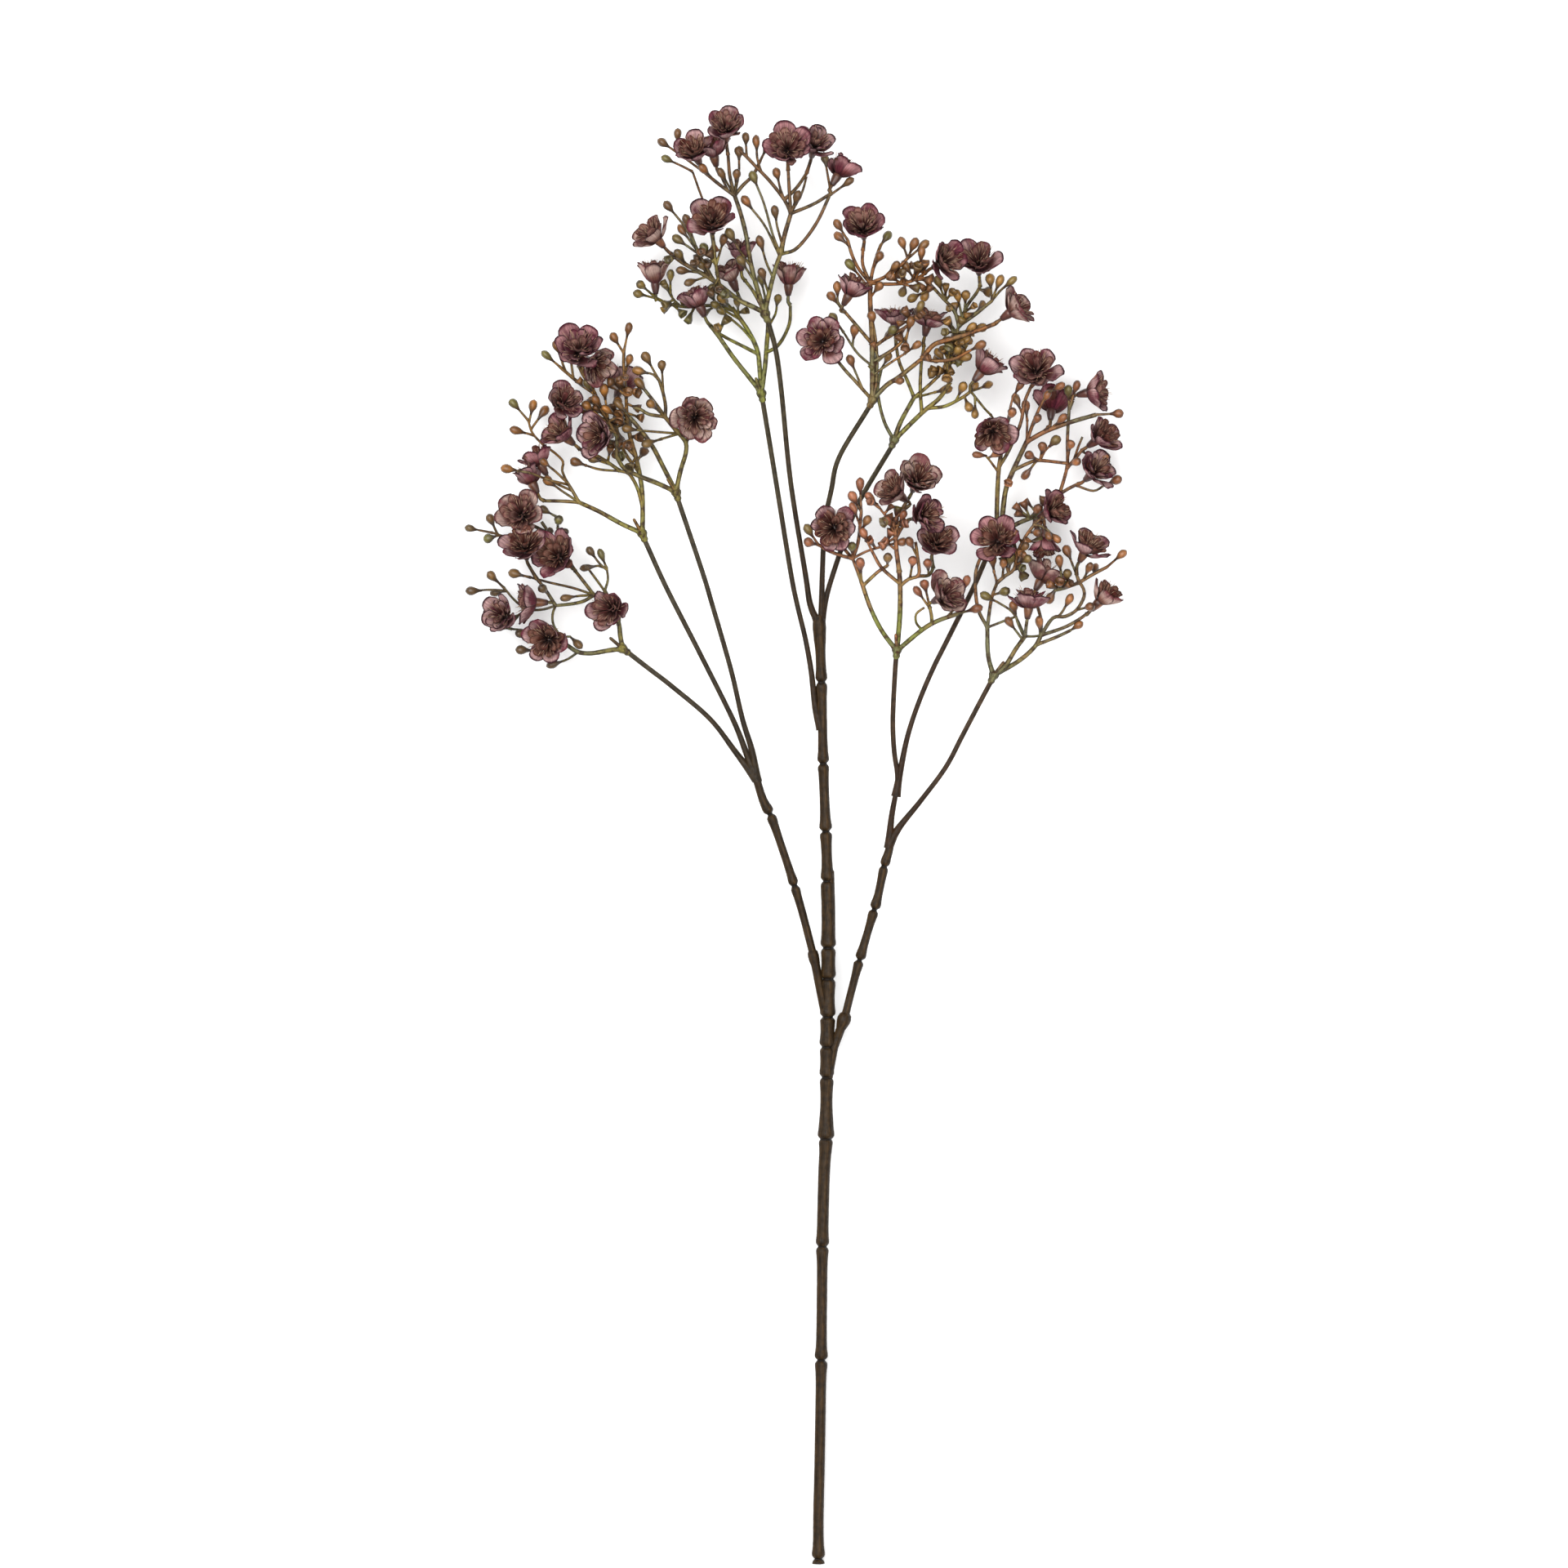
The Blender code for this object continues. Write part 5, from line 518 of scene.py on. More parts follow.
# Buds of each spray: the twig they leave, foot (x, y), then any bend and the middle of the bud
BUDS = {
    "spray_a": (
        ("left_up", (-50, 274.6), (-57, 283, 38)),
        ("left_up", (-44.5, 264.3), (-48.8, 276.3, 42)),
        ("left_up", (-44, 263), (-50.8, 272.5, 33.5)),
        ("left_up", (-43.5, 262), (-52.5, 268.3, 36)),
        ("left", (-49, 257.4), (-52.3, 261.6, 33)),
        ("left", (-38, 251), (-42.3, 256.8, 36.5)),
        ("left", (-43, 254), (-50.5, 254.8, 34)),
        ("left", (-40, 252.3), (-47.2, 249.8, 35.5)),
        ("to_big", (-36, 257), (-41, 264.5, 36.5)),
        ("to_big", (-36, 257), (-32.8, 267.8, 41.5)),
        ("far_up", (-46.5, 299), (-51, 301.3, 36.5), (-57.5, 304.3, 37)),
        ("pair_left", (-53, 307.2), (-59.3, 311.6, 35)),
        ("pair_left", (-50, 305), (-53.2, 309.5, 36), (-53.1, 315, 36)),
        ("middle", (-27.7, 288), (-33.2, 297, 48)),
        ("middle", (-27.7, 288), (-26.8, 296.5, 50)),
        ("fork_left", (-37, 295), (-41.2, 299.3, 47.5)),
        ("fork_right", (-16.5, 303), (-13.4, 309.3, 43.5)),
        ("long_left", (-22.3, 305), (-22.7, 312.8, 48.5)),
        ("long_left", (-16, 298.4), (-17.6, 304.5, 48.5), (-18, 311, 49)),
        ("long_left", (-5.5, 286), (-7.2, 290.5, 46), (-8.8, 297.2, 47)),
        ("right_up", (-2.6, 280), (0, 286.8, 46.5)),
        ("long_right", (14.5, 288), (22.5, 293.6, 43)),
        ("long_right", (15.2, 289.5), (13.8, 297, 47.5), (12.7, 303.6, 46)),
        ("right", (-7.2, 262), (-10.5, 270, 44), (-14.5, 284, 45), (-19, 295.5, 45.5)),
        ("right", (-7.5, 261), (-14, 274, 46), (-22.2, 284.8, 47)),
        ("right_up", (-6.5, 266), (-8.7, 274, 46.5), (-9.6, 280, 47.5)),
        ("right", (-10.5, 251.5), (-13.5, 258, 42.5), (-16, 266.5, 44)),
        ("middle", (-20.2, 256), (-25.5, 263.5, 44), (-29.3, 270, 45.5)),
        ("middle", (-18.3, 249), (-24.4, 258.3, 43)),
        ("right", (-12.3, 244), (-15.2, 252.5, 44)),
    ),
    "spray_b": (
        ("long_left", (-62.5, 243), (-70.3, 244.9, 17)),
        ("long_left", (-62.5, 243), (-69.3, 248.5, 23.5)),
        ("long_peg", (-56.5, 246), (-56.4, 252.3, 29)),
        ("middle", (-26, 234.8), (-26.5, 240.8, 24)),
        ("middle", (-27.5, 237), (-33, 242, 23)),
        ("middle", (-27.5, 237), (-37, 246.8, 26.5)),
        ("middle", (-25, 233.2), (-35.5, 239.3, 22.5)),
        ("right", (-14, 243), (-15.8, 251, 15.5)),
        ("right", (-12.9, 230), (-9.5, 236, 19.5), (-8.5, 242, 22)),
        ("inner", (-29.5, 233.8), (-33.3, 236.6, 27)),
    ),
    "spray_c": (
        ("up_left", (22.8, 268), (18.8, 274.4, 42)),
        ("up_left", (23.6, 265.5), (19.4, 269.3, 39.5)),
        ("centre", (32.8, 246), (28.5, 251.5, 43.5), (24.3, 256.5, 44.5)),
        ("up", (37.5, 266), (40, 269.6, 36.5)),
        ("up", (34, 255), (36.6, 260.3, 44.5)),
        ("up_right", (49.5, 260), (47.2, 266.3, 46)),
        ("up_right", (49.5, 260), (52, 265.6, 47)),
        ("up_right", (48.5, 259), (56, 265.3, 45)),
        ("up_right", (39, 251.5), (43.4, 256, 47)),
        ("to_right", (52.5, 250.7), (49, 256, 41)),
        ("to_right", (53, 250.9), (55, 256, 44), (55.6, 261.8, 45)),
        ("centre", (32.8, 242.5), (36.2, 246.8, 44.5)),
        ("side", (21.5, 236), (18.4, 240.5, 43.5), (18.1, 246.3, 44.5)),
        ("side", (19.8, 238), (15.9, 242.5, 43)),
        ("low_side", (21, 227), (16.8, 233, 39.5)),
        ("low_side", (25, 221), (25.7, 227.3, 41)),
        ("long_left", (29.5, 201.8), (24.3, 214, 38.5)),
        ("thick", (42, 204.8), (45.4, 205.4, 38.5)),
        ("far_low", (76.5, 218.5), (81.3, 221, 41)),
        ("branch_high", (52.5, 232.8), (54.8, 237.8, 41)),
        ("branch_high", (38, 223), (42.2, 227.5, 41.5)),
        ("branch_mid", (49, 225), (50.6, 231, 40.5)),
        ("branch_low", (48, 217.5), (53, 221, 39)),
        ("to_right", (48.8, 249.4), (47.5, 245.8, 38)),
    ),
    "spray_d": (
        ("left", (37.8, 211), (40.6, 216, 25)),
        ("short", (63.5, 208), (66.6, 211.6, 24)),
        ("short_low", (61.5, 200.8), (66.2, 202, 20.5)),
        ("long_right", (77.8, 201.3), (79.2, 203.3, 22.5)),
        ("long_right", (71, 197), (74, 202.5, 25.5)),
        ("long_right", (77.8, 201.3), (81, 202.3, 22), (85, 204, 17.5)),
        ("long_right", (75, 199), (76.8, 194.8, 24)),
        ("hanging", (80, 198.8), (79.8, 192, 22)),
        ("hanging", (86.8, 191), (89.2, 187.6, 15)),
        ("cluster", (67.6, 212), (64, 217.5, 26)),
        ("cluster", (67.5, 214), (71.5, 219, 31)),
        ("cluster", (68.5, 218), (75, 223.5, 30)),
        ("cluster", (67.6, 213), (75, 216, 29)),
        ("cluster", (70, 223), (77.5, 229, 31)),
        ("cluster", (71.5, 227), (82, 229.3, 31)),
        ("fork_up", (74, 234), (72, 243, 33)),
        ("fork_up", (75, 237), (75.5, 243.3, 34)),
        ("fork_left", (66.5, 241.5), (63.4, 249.3, 35)),
        ("fork_left", (59.5, 249), (57.6, 244.4, 31)),
        ("fork_left", (61, 247.4), (52.4, 243, 33)),
        ("fork_right", (87.3, 241.5), (88.5, 245, 32.5), (90.4, 249.5, 33)),
        ("fork_right", (87.3, 241.5), (86.5, 250.3, 31)),
        ("fork_right", (87, 241.2), (91, 246, 31.5), (95.4, 249.7, 32)),
    ),
    "spray_e": (
        ("far_left", (9.5, 132.6), (5.6, 138.5, 38)),
        ("far_left", (10.5, 132), (6, 133.2, 40)),
        ("left_up", (28.8, 147), (25.4, 153, 43)),
        ("left_up", (28.8, 147), (28.3, 158.5, 43)),
        ("left_up", (28.3, 141), (25.6, 147.8, 41)),
        ("left_up", (27.8, 137), (31, 142.5, 42)),
        ("left", (29, 115.5), (28.4, 123.2, 41)),
        ("left_bud", (40.5, 123), (40.6, 125.9, 42)),
        ("left_end", (25, 126.2), (24.6, 131, 42)),
        ("centre_left", (33.8, 129), (30, 136.8, 43)),
        ("centre_right", (50.5, 117.3), (51.7, 124.5, 43)),
        ("centre_right", (53.9, 127), (50.6, 133, 44)),
        ("centre_up", (44, 137), (40.7, 142.6, 45)),
        ("centre_up", (44, 138), (47.2, 145, 46)),
        ("curl", (36, 150), (33.2, 152.8, 45)),
        ("right", (72, 101.6), (79.4, 103.6, 36)),
        ("right", (67, 100), (73, 107, 36), (75.5, 115.3, 37)),
        ("to_low", (59.5, 104), (54.4, 111, 37)),
        ("to_low", (59.5, 104), (57.2, 114, 38.5)),
        ("to_low_right", (59, 118.8), (58.6, 123.5, 37)),
    ),
    "spray_f": (
        ("bud_fork", (84.5, 172.3), (81.7, 172.6, 28)),
        ("bud_fork", (85.5, 171.2), (88.7, 173, 30)),
        ("loop", (94.8, 187.5), (96, 191, 31)),
        ("loop", (97, 199), (99.6, 203.2, 28)),
        ("to_top", (101, 191), (98.5, 197, 23)),
        ("long_right", (134, 190.8), (143.3, 191.3, 23.5)),
        ("long_right", (113.5, 184.3), (118.4, 188.7, 24)),
        ("up", (108.5, 193.5), (111.6, 198.8, 26.5)),
        ("up", (108.5, 193.5), (112, 200, 28), (117, 203, 29)),
        ("up", (105, 184.5), (107.3, 188.5, 26)),
        ("up_thin", (103.2, 188), (102.6, 194, 19)),
        ("rod", (108.5, 170.4), (104.6, 172.4, 23.5)),
        ("rod", (109, 170.4), (109.8, 176, 24)),
        ("rod", (109, 170.4), (111, 174.5, 22.5), (115.3, 178.8, 23)),
        ("rod", (107.5, 170), (103.2, 164.8, 17)),
        ("low", (104, 144.3), (107.4, 148.2, 24)),
        ("to_end", (122, 193.5), (125, 203, 23.5)),
        ("to_end", (122, 193.5), (121.6, 200.8, 22)),
        ("low_up", (121.3, 171), (122.5, 177, 20)),
        ("low_up", (121, 168), (124.8, 169.5, 20)),
        ("under", (138, 159.5), (142.6, 161.5, 14)),
        ("to_mid", (127.5, 174.8), (132, 172.5, 11.5), (137.3, 172.2, 12.5)),
    ),
    "spray_g": (
        ("middle", (102, 91.5), (97, 101.5, 35), (91, 106, 35.5), (85.2, 109, 36)),
        ("middle", (101, 90), (95.4, 97.3, 33)),
        ("middle", (101.5, 91), (98.5, 98, 37), (97, 104.3, 37)),
        ("inner", (87.5, 110), (92.3, 111.3, 36)),
        ("inner_left", (88.2, 120), (87.5, 125.2, 34.5)),
        ("inner_right", (92, 117.5), (92.3, 123.5, 37)),
        ("inner_right", (94.5, 119.5), (95.4, 125.5, 38)),
        ("inner_right", (97.3, 123), (102.4, 125.6, 39)),
        ("inner_right", (98.3, 127), (101.5, 131, 40)),
        ("inner_right", (103.5, 138), (106.9, 137.6, 42)),
        ("inner_right", (106, 141.3), (110, 140.3, 40), (112, 136.6, 42)),
        ("inner_right", (106, 141.3), (111, 139.6, 40), (115.3, 135.6, 41)),
        ("low_right", (122, 94), (125.4, 96.2, 30)),
        ("loop", (117, 100), (119, 103, 34), (121.4, 107.4, 35.5)),
        ("loop", (125, 103.3), (130.3, 104.5, 39)),
        ("top_left", (115, 112), (113.6, 109.2, 34)),
        ("top_left", (121, 113.5), (120.8, 118.8, 39)),
        ("top_left", (119, 113), (117.3, 124.3, 41)),
        ("top_right", (128, 116.6), (130.3, 121.6, 38.5)),
        ("top_right", (132.5, 119.3), (133.3, 121.6, 31)),
        ("top_right", (138.5, 122.4), (144.6, 127.6, 35)),
        ("to_right", (125, 119), (121, 129, 34)),
        ("low", (108.8, 91.3), (108.4, 97.3, 33)),
    ),
    "spray_h": (
        ("side_long", (-69, 183.3), (-74.8, 184, 36.5)),
        ("side_short", (-60, 179.7), (-65.8, 177.8, 38.5)),
        ("up_high", (-61.5, 206), (-66.8, 215.3, 39)),
        ("up_high", (-61.3, 205.5), (-64, 208.3, 38), (-69.8, 209.8, 37.5)),
        ("up", (-58.8, 189.5), (-64.6, 194.8, 39.5)),
        ("middle", (-74.5, 189.3), (-78.8, 194.3, 34)),
    ),
    "spray_i": (
        ("long_bud", (-94, 168), (-98.2, 169.4, 22)),
        ("up", (-76, 190), (-79.5, 196, 27.5)),
        ("up", (-75.5, 187), (-84.3, 192.5, 27)),
        ("fan", (-83, 186), (-89.5, 196.5, 28)),
        ("fan", (-84, 188), (-86, 201, 27.5)),
        ("fan", (-88, 195), (-93.3, 203.8, 29)),
        ("fan", (-83, 186), (-93.5, 194.3, 26.5)),
        ("fan", (-81, 183), (-92.5, 187.5, 25)),
        ("tall", (-77.2, 219), (-75.2, 228.5, 31.5)),
        ("tall", (-77.2, 218), (-81.3, 224.5, 30.5)),
        ("tall", (-77, 208), (-75, 214.6, 32)),
        ("low_left", (-83, 168.5), (-90.5, 170.8, 20)),
        ("top_left", (-105.5, 211.8), (-111.3, 216.8, 25)),
        ("top_left", (-103.5, 210), (-107.2, 221, 24.5)),
        ("top_left", (-100, 207), (-102.3, 225, 23.5)),
        ("left_out", (-119, 164.5), (-128.6, 166.2, 33)),
        ("left_up", (-102.5, 160.3), (-107.5, 165, 25), (-112.5, 169, 28.5)),
        ("left", (-97, 151.5), (-104.5, 156.3, 23.5), (-110.6, 160.7, 23.5)),
        ("left_hook", (-120.3, 188.5), (-126.4, 195.5, 14)),
        ("left_hook", (-120, 187.5), (-118.4, 194.5, 12)),
        ("left_hook", (-117.5, 181.9), (-125, 183.8, 13)),
        ("left_hook", (-119, 184.5), (-113.8, 192, 10)),
    ),
    "spray_j": (
        ("left", (-102.5, 87.5), (-104, 91, 15), (-101.5, 91.6, 16), (-98.6, 88.8, 17)),
        ("far_peg", (-118, 85.4), (-122.6, 85.6, 13)),
        ("under", (-127.5, 95), (-132.8, 95.8, 12)),
        ("under", (-118, 94), (-122.8, 93.2, 15)),
        ("across", (-90.8, 110.2), (-97, 109.8, 19.5), (-102.3, 109, 21.5)),
        ("to_mid", (-110.8, 110), (-113.3, 112.6, 25.5)),
        ("long_bud", (-119, 118), (-125.6, 119.6, 19)),
        ("bud_fork", (-85, 122), (-87.2, 127.6, 19)),
        ("bud_fork", (-85, 121.5), (-88, 124, 20.5), (-92, 129.2, 21)),
        ("bud_fork", (-85, 122), (-89, 123.3, 17.5), (-93.5, 122.6, 16.5)),
        ("hook", (-107.2, 145), (-112.5, 147.9, 21.5)),
        ("hook", (-107.1, 137.5), (-104.5, 138.2, 20.5)),
        ("hook", (-107, 140), (-106.5, 143.2, 24)),
        ("behind", (-110.5, 137.5), (-110.5, 138.5, 21)),
        ("far_left", (-136, 138), (-145.6, 139.9, 18)),
        ("far_left", (-134, 137.5), (-136.8, 143.6, 19)),
        ("far_left", (-133, 137.2), (-137.5, 135.8, 15)),
        ("far_low", (-131, 113.3), (-136.2, 118.3, 13)),
        ("far_low", (-130, 112.2), (-134.4, 111.4, 8.5)),
        ("far_low", (-130, 112.2), (-137.5, 112.6, 12), (-144.8, 112.2, 12.5)),
    ),
}

# Blooms: name, spray and twig they sit on, foot (x, y), middle, facing (azimuth, rise), radius, depth, lobes
BLOOMS = (
    ("far", "spray_a", "left", (-56, 262.5), (-65, 272, 33), (132, 25), 8.5, 8.0, 5),
    ("big", "spray_a", "to_big", (-37, 266), (-38, 277.3, 50), (95, 50), 9.5, 8.5, 5),
    ("left", "spray_a", "fork_left", (-41.5, 298.6), (-46, 308, 49), (115, 45), 8.5, 8.0, 5),
    ("mid", "spray_a", "pair_mid", (-35, 299), (-37.8, 309.5, 45), (103, 20), 7.5, 8.0, 5),
    ("top", "spray_a", "fork_up", (-30.6, 306), (-31.5, 318.3, 52), (92, 48), 9.0, 8.0, 5),
    ("front", "spray_a", "to_front", (-3.8, 299), (-4, 309, 55), (90, 66), 9.8, 7.5, 5),
    ("pale", "spray_a", "to_pale", (4.4, 298), (8.3, 311.5, 49), (75, 45), 8.5, 8.0, 5),
    ("back", "spray_a", "long_right", (15.2, 289.5), (20.3, 300.6, 40), (60, -12), 8.0, 8.0, 5),
    ("low", "spray_a", "low", (-23, 250.5), (-25.5, 264.3, 29), (95, 12), 7.2, 8.0, 5),
    ("lower", "spray_a", "low_left", (-25, 241.5), (-30.2, 254.5, 24.5), (112, 10), 6.8, 7.5, 5),
    ("mid", "spray_b", "left", (-38.3, 230.3), (-45, 243, 24), (115, 5), 7.5, 8.0, 5),
    ("left", "spray_b", "long_left", (-62.5, 243), (-63.5, 255, 17), (92, 3), 7.3, 9.5, 5),
    ("right", "spray_b", "to_right", (-2.8, 240), (-3.4, 254, 18), (88, 5), 7.3, 9.0, 5),
    ("big", "spray_c", "to_big", (29.5, 263.5), (29.5, 274.3, 50), (95, 55), 9.5, 8.5, 6),
    ("side", "spray_c", "side", (21.5, 236), (25.2, 247.2, 51), (62, 10), 7.2, 8.5, 5),
    ("left", "spray_c", "long_left", (16, 217.5), (11.2, 223.5, 43), (135, 78), 10.0, 7.0, 6),
    ("right", "spray_c", "to_right", (57, 253.3), (66.8, 258.8, 46), (25, 45), 9.2, 8.0, 5),
    ("far", "spray_c", "far", (88.5, 231), (98.3, 238, 40), (35, 20), 8.8, 7.5, 5),
    ("left", "spray_d", "to_left", (44.6, 221), (43.8, 235.0, 26), (93, 8), 8.6, 6.5, 5),
    ("mid", "spray_d", "upright", (56.9, 221), (59.0, 234.0, 26), (78, 8), 8.6, 6.5, 5),
    ("top", "spray_d", "fork_up", (82, 248), (81, 260.0, 33.5), (95, 45), 9.8, 8.0, 5),
    ("right", "spray_d", "long_right", (77.8, 201.3), (85.3, 213.5, 26), (52, -5), 8.0, 9.0, 5),
    ("left", "spray_e", "to_left", (18.2, 136.5), (16.6, 139.6, 46), (200, 82), 9.9, 7.0, 6),
    ("mid", "spray_e", "to_mid", (49.5, 142.8), (58.3, 145, 47), (10, 45), 8.5, 8.0, 5),
    ("top", "spray_e", "to_top", (46, 146.5), (54.2, 161.7, 51), (65, 48), 10.0, 8.0, 5),
    ("top_left", "spray_e", "to_top", (46, 146.5), (43.1, 156.7, 49.5), (140, 35), 8.2, 8.0, 5),
    ("low_right", "spray_e", "to_low_right", (61, 122), (62.8, 134, 39.5), (70, 52), 8.8, 7.5, 5),
    ("low", "spray_e", "to_low", (59.5, 104), (66.8, 110, 45), (28, 42), 9.5, 8.0, 5),
    ("left", "spray_f", "to_left", (87.2, 183.5), (87.9, 182, 35), (290, 68), 9.3, 7.5, 5),
    ("top", "spray_f", "to_top", (104.8, 203.3), (106.6, 211, 34), (100, 64), 10.2, 8.0, 6),
    ("back", "spray_f", "to_back", (112.5, 185.2), (114.5, 197.2, 10.95), (85, -25), 9.6, 8.5, 5),
    ("end", "spray_f", "to_end", (123.7, 197.2), (134.3, 201.5, 23), (12, 15), 8.0, 8.0, 5),
    ("right", "spray_f", "to_mid", (127.5, 174.8), (137.2, 181.5, 23), (35, 30), 8.2, 8.0, 5),
    ("low_right", "spray_f", "to_low", (126, 160), (134.6, 166.3, 20), (40, 42), 8.0, 8.0, 5),
    ("low", "spray_f", "low", (106, 145), (115.5, 148.3, 26), (25, 35), 8.0, 8.0, 5),
    ("left", "spray_g", "left_up", (87, 131.5), (89.2, 134.8, 41), (120, 70), 9.8, 7.5, 6),
    ("hidden", "spray_g", "hang", (109.5, 144.5), (110.8, 131.8, 32), (271, 12), 6.8, 7.5, 5),
    ("right", "spray_g", "to_right", (125, 119), (130.2, 132.3, 42), (62, 24), 9.0, 8.0, 5),
    ("mid", "spray_g", "to_mid", (107.8, 105), (111, 120.2, 24), (62, -10), 9.8, 8.0, 5),
    ("low", "spray_g", "middle", (102, 91.5), (104, 107.8, 44), (82, 4), 9.5, 7.0, 5),
    ("low_right", "spray_g", "to_low_right", (129.2, 101.3), (138.3, 110, 34), (45, 15), 7.5, 8.5, 5),
    ("main", "spray_h", "to_main", (-46.3, 187), (-45.3, 188.6, 45), (300, 80), 10.4, 7.5, 6),
    ("left", "spray_h", "left", (-80.5, 172), (-89, 181, 41), (180, 45), 9.6, 8.0, 5),
    ("low", "spray_i", "to_low", (-81.5, 193), (-78, 206.5, 9.16), (70, -25), 9.2, 8.0, 5),
    ("right", "spray_i", "to_top", (-95.5, 208.5), (-89.3, 212.3, 34), (325, 48), 8.5, 8.0, 5),
    ("top", "spray_i", "to_top", (-97.5, 212.5), (-97, 220, 40), (90, 62), 10.8, 8.5, 6),
    ("shelf", "spray_i", "to_shelf", (-102, 193.2), (-103.5, 196.5, 30), (60, 62), 8.3, 7.5, 5),
    ("left_low", "spray_i", "low_left", (-97, 175.2), (-105.8, 182.8, 27), (140, 30), 9.0, 8.0, 5),
    ("side", "spray_i", "to_side", (-110, 161.3), (-116.6, 172, 19.5), (120, 5), 6.8, 7.5, 5),
    ("side_low", "spray_i", "left_end", (-113, 152.3), (-120.3, 163.8, 21.5), (118, 0), 6.6, 8.0, 5),
    ("top", "spray_j", "to_top", (-120.5, 142.5), (-123.8, 146.6, 27), (130, 68), 9.8, 7.5, 5),
    ("mid", "spray_j", "to_mid", (-116.3, 117.3), (-121.8, 132.8, 33), (100, 42), 10.2, 7.5, 6),
    ("right_top", "spray_j", "to_right_top", (-100, 122), (-107.6, 128.2, 32), (140, 60), 10.2, 7.5, 6),
    ("edge", "spray_j", "to_edge", (-108, 105.4), (-120.4, 106.8, 20), (180, 4), 9.6, 7.0, 5),
    ("right", "spray_j", "up", (-79.8, 98), (-83.6, 103.3, 28), (190, 66), 9.3, 7.5, 6),
    ("low", "spray_j", "to_low", (-106.5, 89.3), (-112, 89.8, 26), (200, 72), 9.9, 7.5, 6),
    ("far", "spray_j", "to_far", (-125.5, 100.8), (-132.4, 101.2, 22), (160, 58), 8.8, 7.5, 5),
)

# Blooms whose petals grow into each other and hold together as one body
GROUPS = (
    ("spray_a", ("top", "left", "mid")),
    ("spray_a", ("front", "pale")),
    ("spray_a", ("low", "lower")),
    ("spray_d", ("left", "mid")),
    ("spray_e", ("top", "top_left")),
    ("spray_i", ("top", "right")),
    ("spray_i", ("left_low", "shelf")),
    ("spray_i", ("side", "side_low")),
    ("spray_j", ("top", "mid", "right_top")),
)

# Petals: heart (dye and painted shade at the foot), middle, pale outer part (dye and a painted glow of light
# through the cloth), rim, and the rose of the patches
PETAL_COLOURS = {
    "petal_mauve": ((72, 28, 18), (134, 84, 80), (204, 162, 160), (54, 20, 32), (116, 52, 66)),
    "petal_plum": ((64, 24, 18), (122, 64, 66), (188, 134, 136), (50, 16, 30), (108, 44, 60)),
    "petal_dusk": ((78, 42, 28), (144, 100, 86), (212, 178, 166), (64, 30, 34), (128, 70, 74)),
    "heart_brown": ((46, 17, 9), (98, 54, 42), (160, 112, 96), (110, 68, 56), (88, 38, 32)),
    "heart_dusk": ((48, 19, 12), (106, 60, 52), (170, 124, 112), (114, 72, 66), (100, 44, 44)),
}
PETAL_PLEATS = 3.2
HEART_PLEATS = 6.0
# Threads, from foot to head, and their dirt. Calyx: light, body, dirt (also its dark neck, tip and painted
# side shade), and the odd ones
THREAD_COLOURS = ((0.0, (48, 24, 16)), (0.45, (98, 60, 52)), (0.8, (216, 178, 150)), (1.0, (206, 160, 120)))
THREAD_DIRT = (58, 32, 26)
CALYX_COLOURS = ((150, 96, 60), (98, 56, 46), (66, 38, 34), (82, 52, 52))
# Stems and wands: lower end, upper end or, on the stems, painted shade in the grooves, and dirt
STEM_COLOURS = {
    "stem_bark": ((64, 46, 24), (28, 20, 12), (34, 24, 13)),
    "main_stem_wand": ((66, 48, 30), (84, 73, 51), (40, 32, 21)),
    "left_limb_wand": ((68, 54, 36), (86, 76, 58), (40, 32, 21)),
    "right_limb_wand": ((68, 46, 28), (86, 65, 46), (40, 32, 21)),
}
# Each spray: foot, tip and dirt of its twigs, then the light and the body of its buds. The dirt is also the
# buds' dark neck, tip and painted side shade
SPRAY_COLOURS = {
    "spray_a": ((118, 109, 56), (105, 73, 45), (56, 41, 26), (150, 92, 46), (104, 72, 38)),
    "spray_b": ((121, 121, 54), (111, 98, 41), (60, 51, 29), (150, 112, 44), (116, 94, 40)),
    "spray_c": ((124, 96, 48), (134, 86, 46), (65, 41, 24), (172, 116, 66), (136, 88, 48)),
    "spray_d": ((119, 114, 52), (124, 98, 48), (56, 36, 18), (190, 138, 68), (152, 112, 52)),
    "spray_e": ((110, 112, 50), (139, 92, 60), (62, 34, 21), (180, 116, 82), (150, 90, 60)),
    "spray_f": ((110, 94, 50), (128, 85, 55), (65, 41, 29), (174, 112, 68), (132, 82, 50)),
    "spray_g": ((115, 104, 60), (130, 88, 53), (58, 38, 22), (172, 112, 64), (132, 84, 48)),
    "spray_h": ((108, 97, 49), (103, 79, 41), (56, 42, 26), (152, 104, 42), (112, 80, 36)),
    "spray_i": ((121, 113, 54), (130, 94, 49), (58, 38, 20), (170, 112, 48), (126, 80, 36)),
    "spray_j": ((118, 108, 54), (94, 70, 44), (52, 38, 27), (124, 90, 46), (92, 68, 38)),
}
TWIG_SLATE = (96, 94, 66)
GREEN_BUD = (112, 106, 52)
# The studio's light is strong, so every paint is this share of the brightness that its numbers say
DEEPER = 0.61


def feed(tree, socket, value):
    """Links an output to the input socket, or sets a plain value on it."""
    if isinstance(value, bpy.types.NodeSocket):
        tree.links.new(value, socket)
    else:
        socket.default_value = value


def add(tree, kind, sockets=None, **settings):
    """A node with these settings, and its inputs linked or set by name or number."""
    node = tree.nodes.new(kind)
    for name, value in settings.items():
        setattr(node, name, value)
    for key, value in (sockets or {}).items():
        feed(tree, node.inputs[key], value)
    return node


def maths(tree, operation, *values):
    """The output of a math node."""
    return add(tree, "ShaderNodeMath", dict(enumerate(values)), operation=operation).outputs[0]


def times(tree, first, second):
    """The product of two numbers."""
    return maths(tree, "MULTIPLY", first, second)


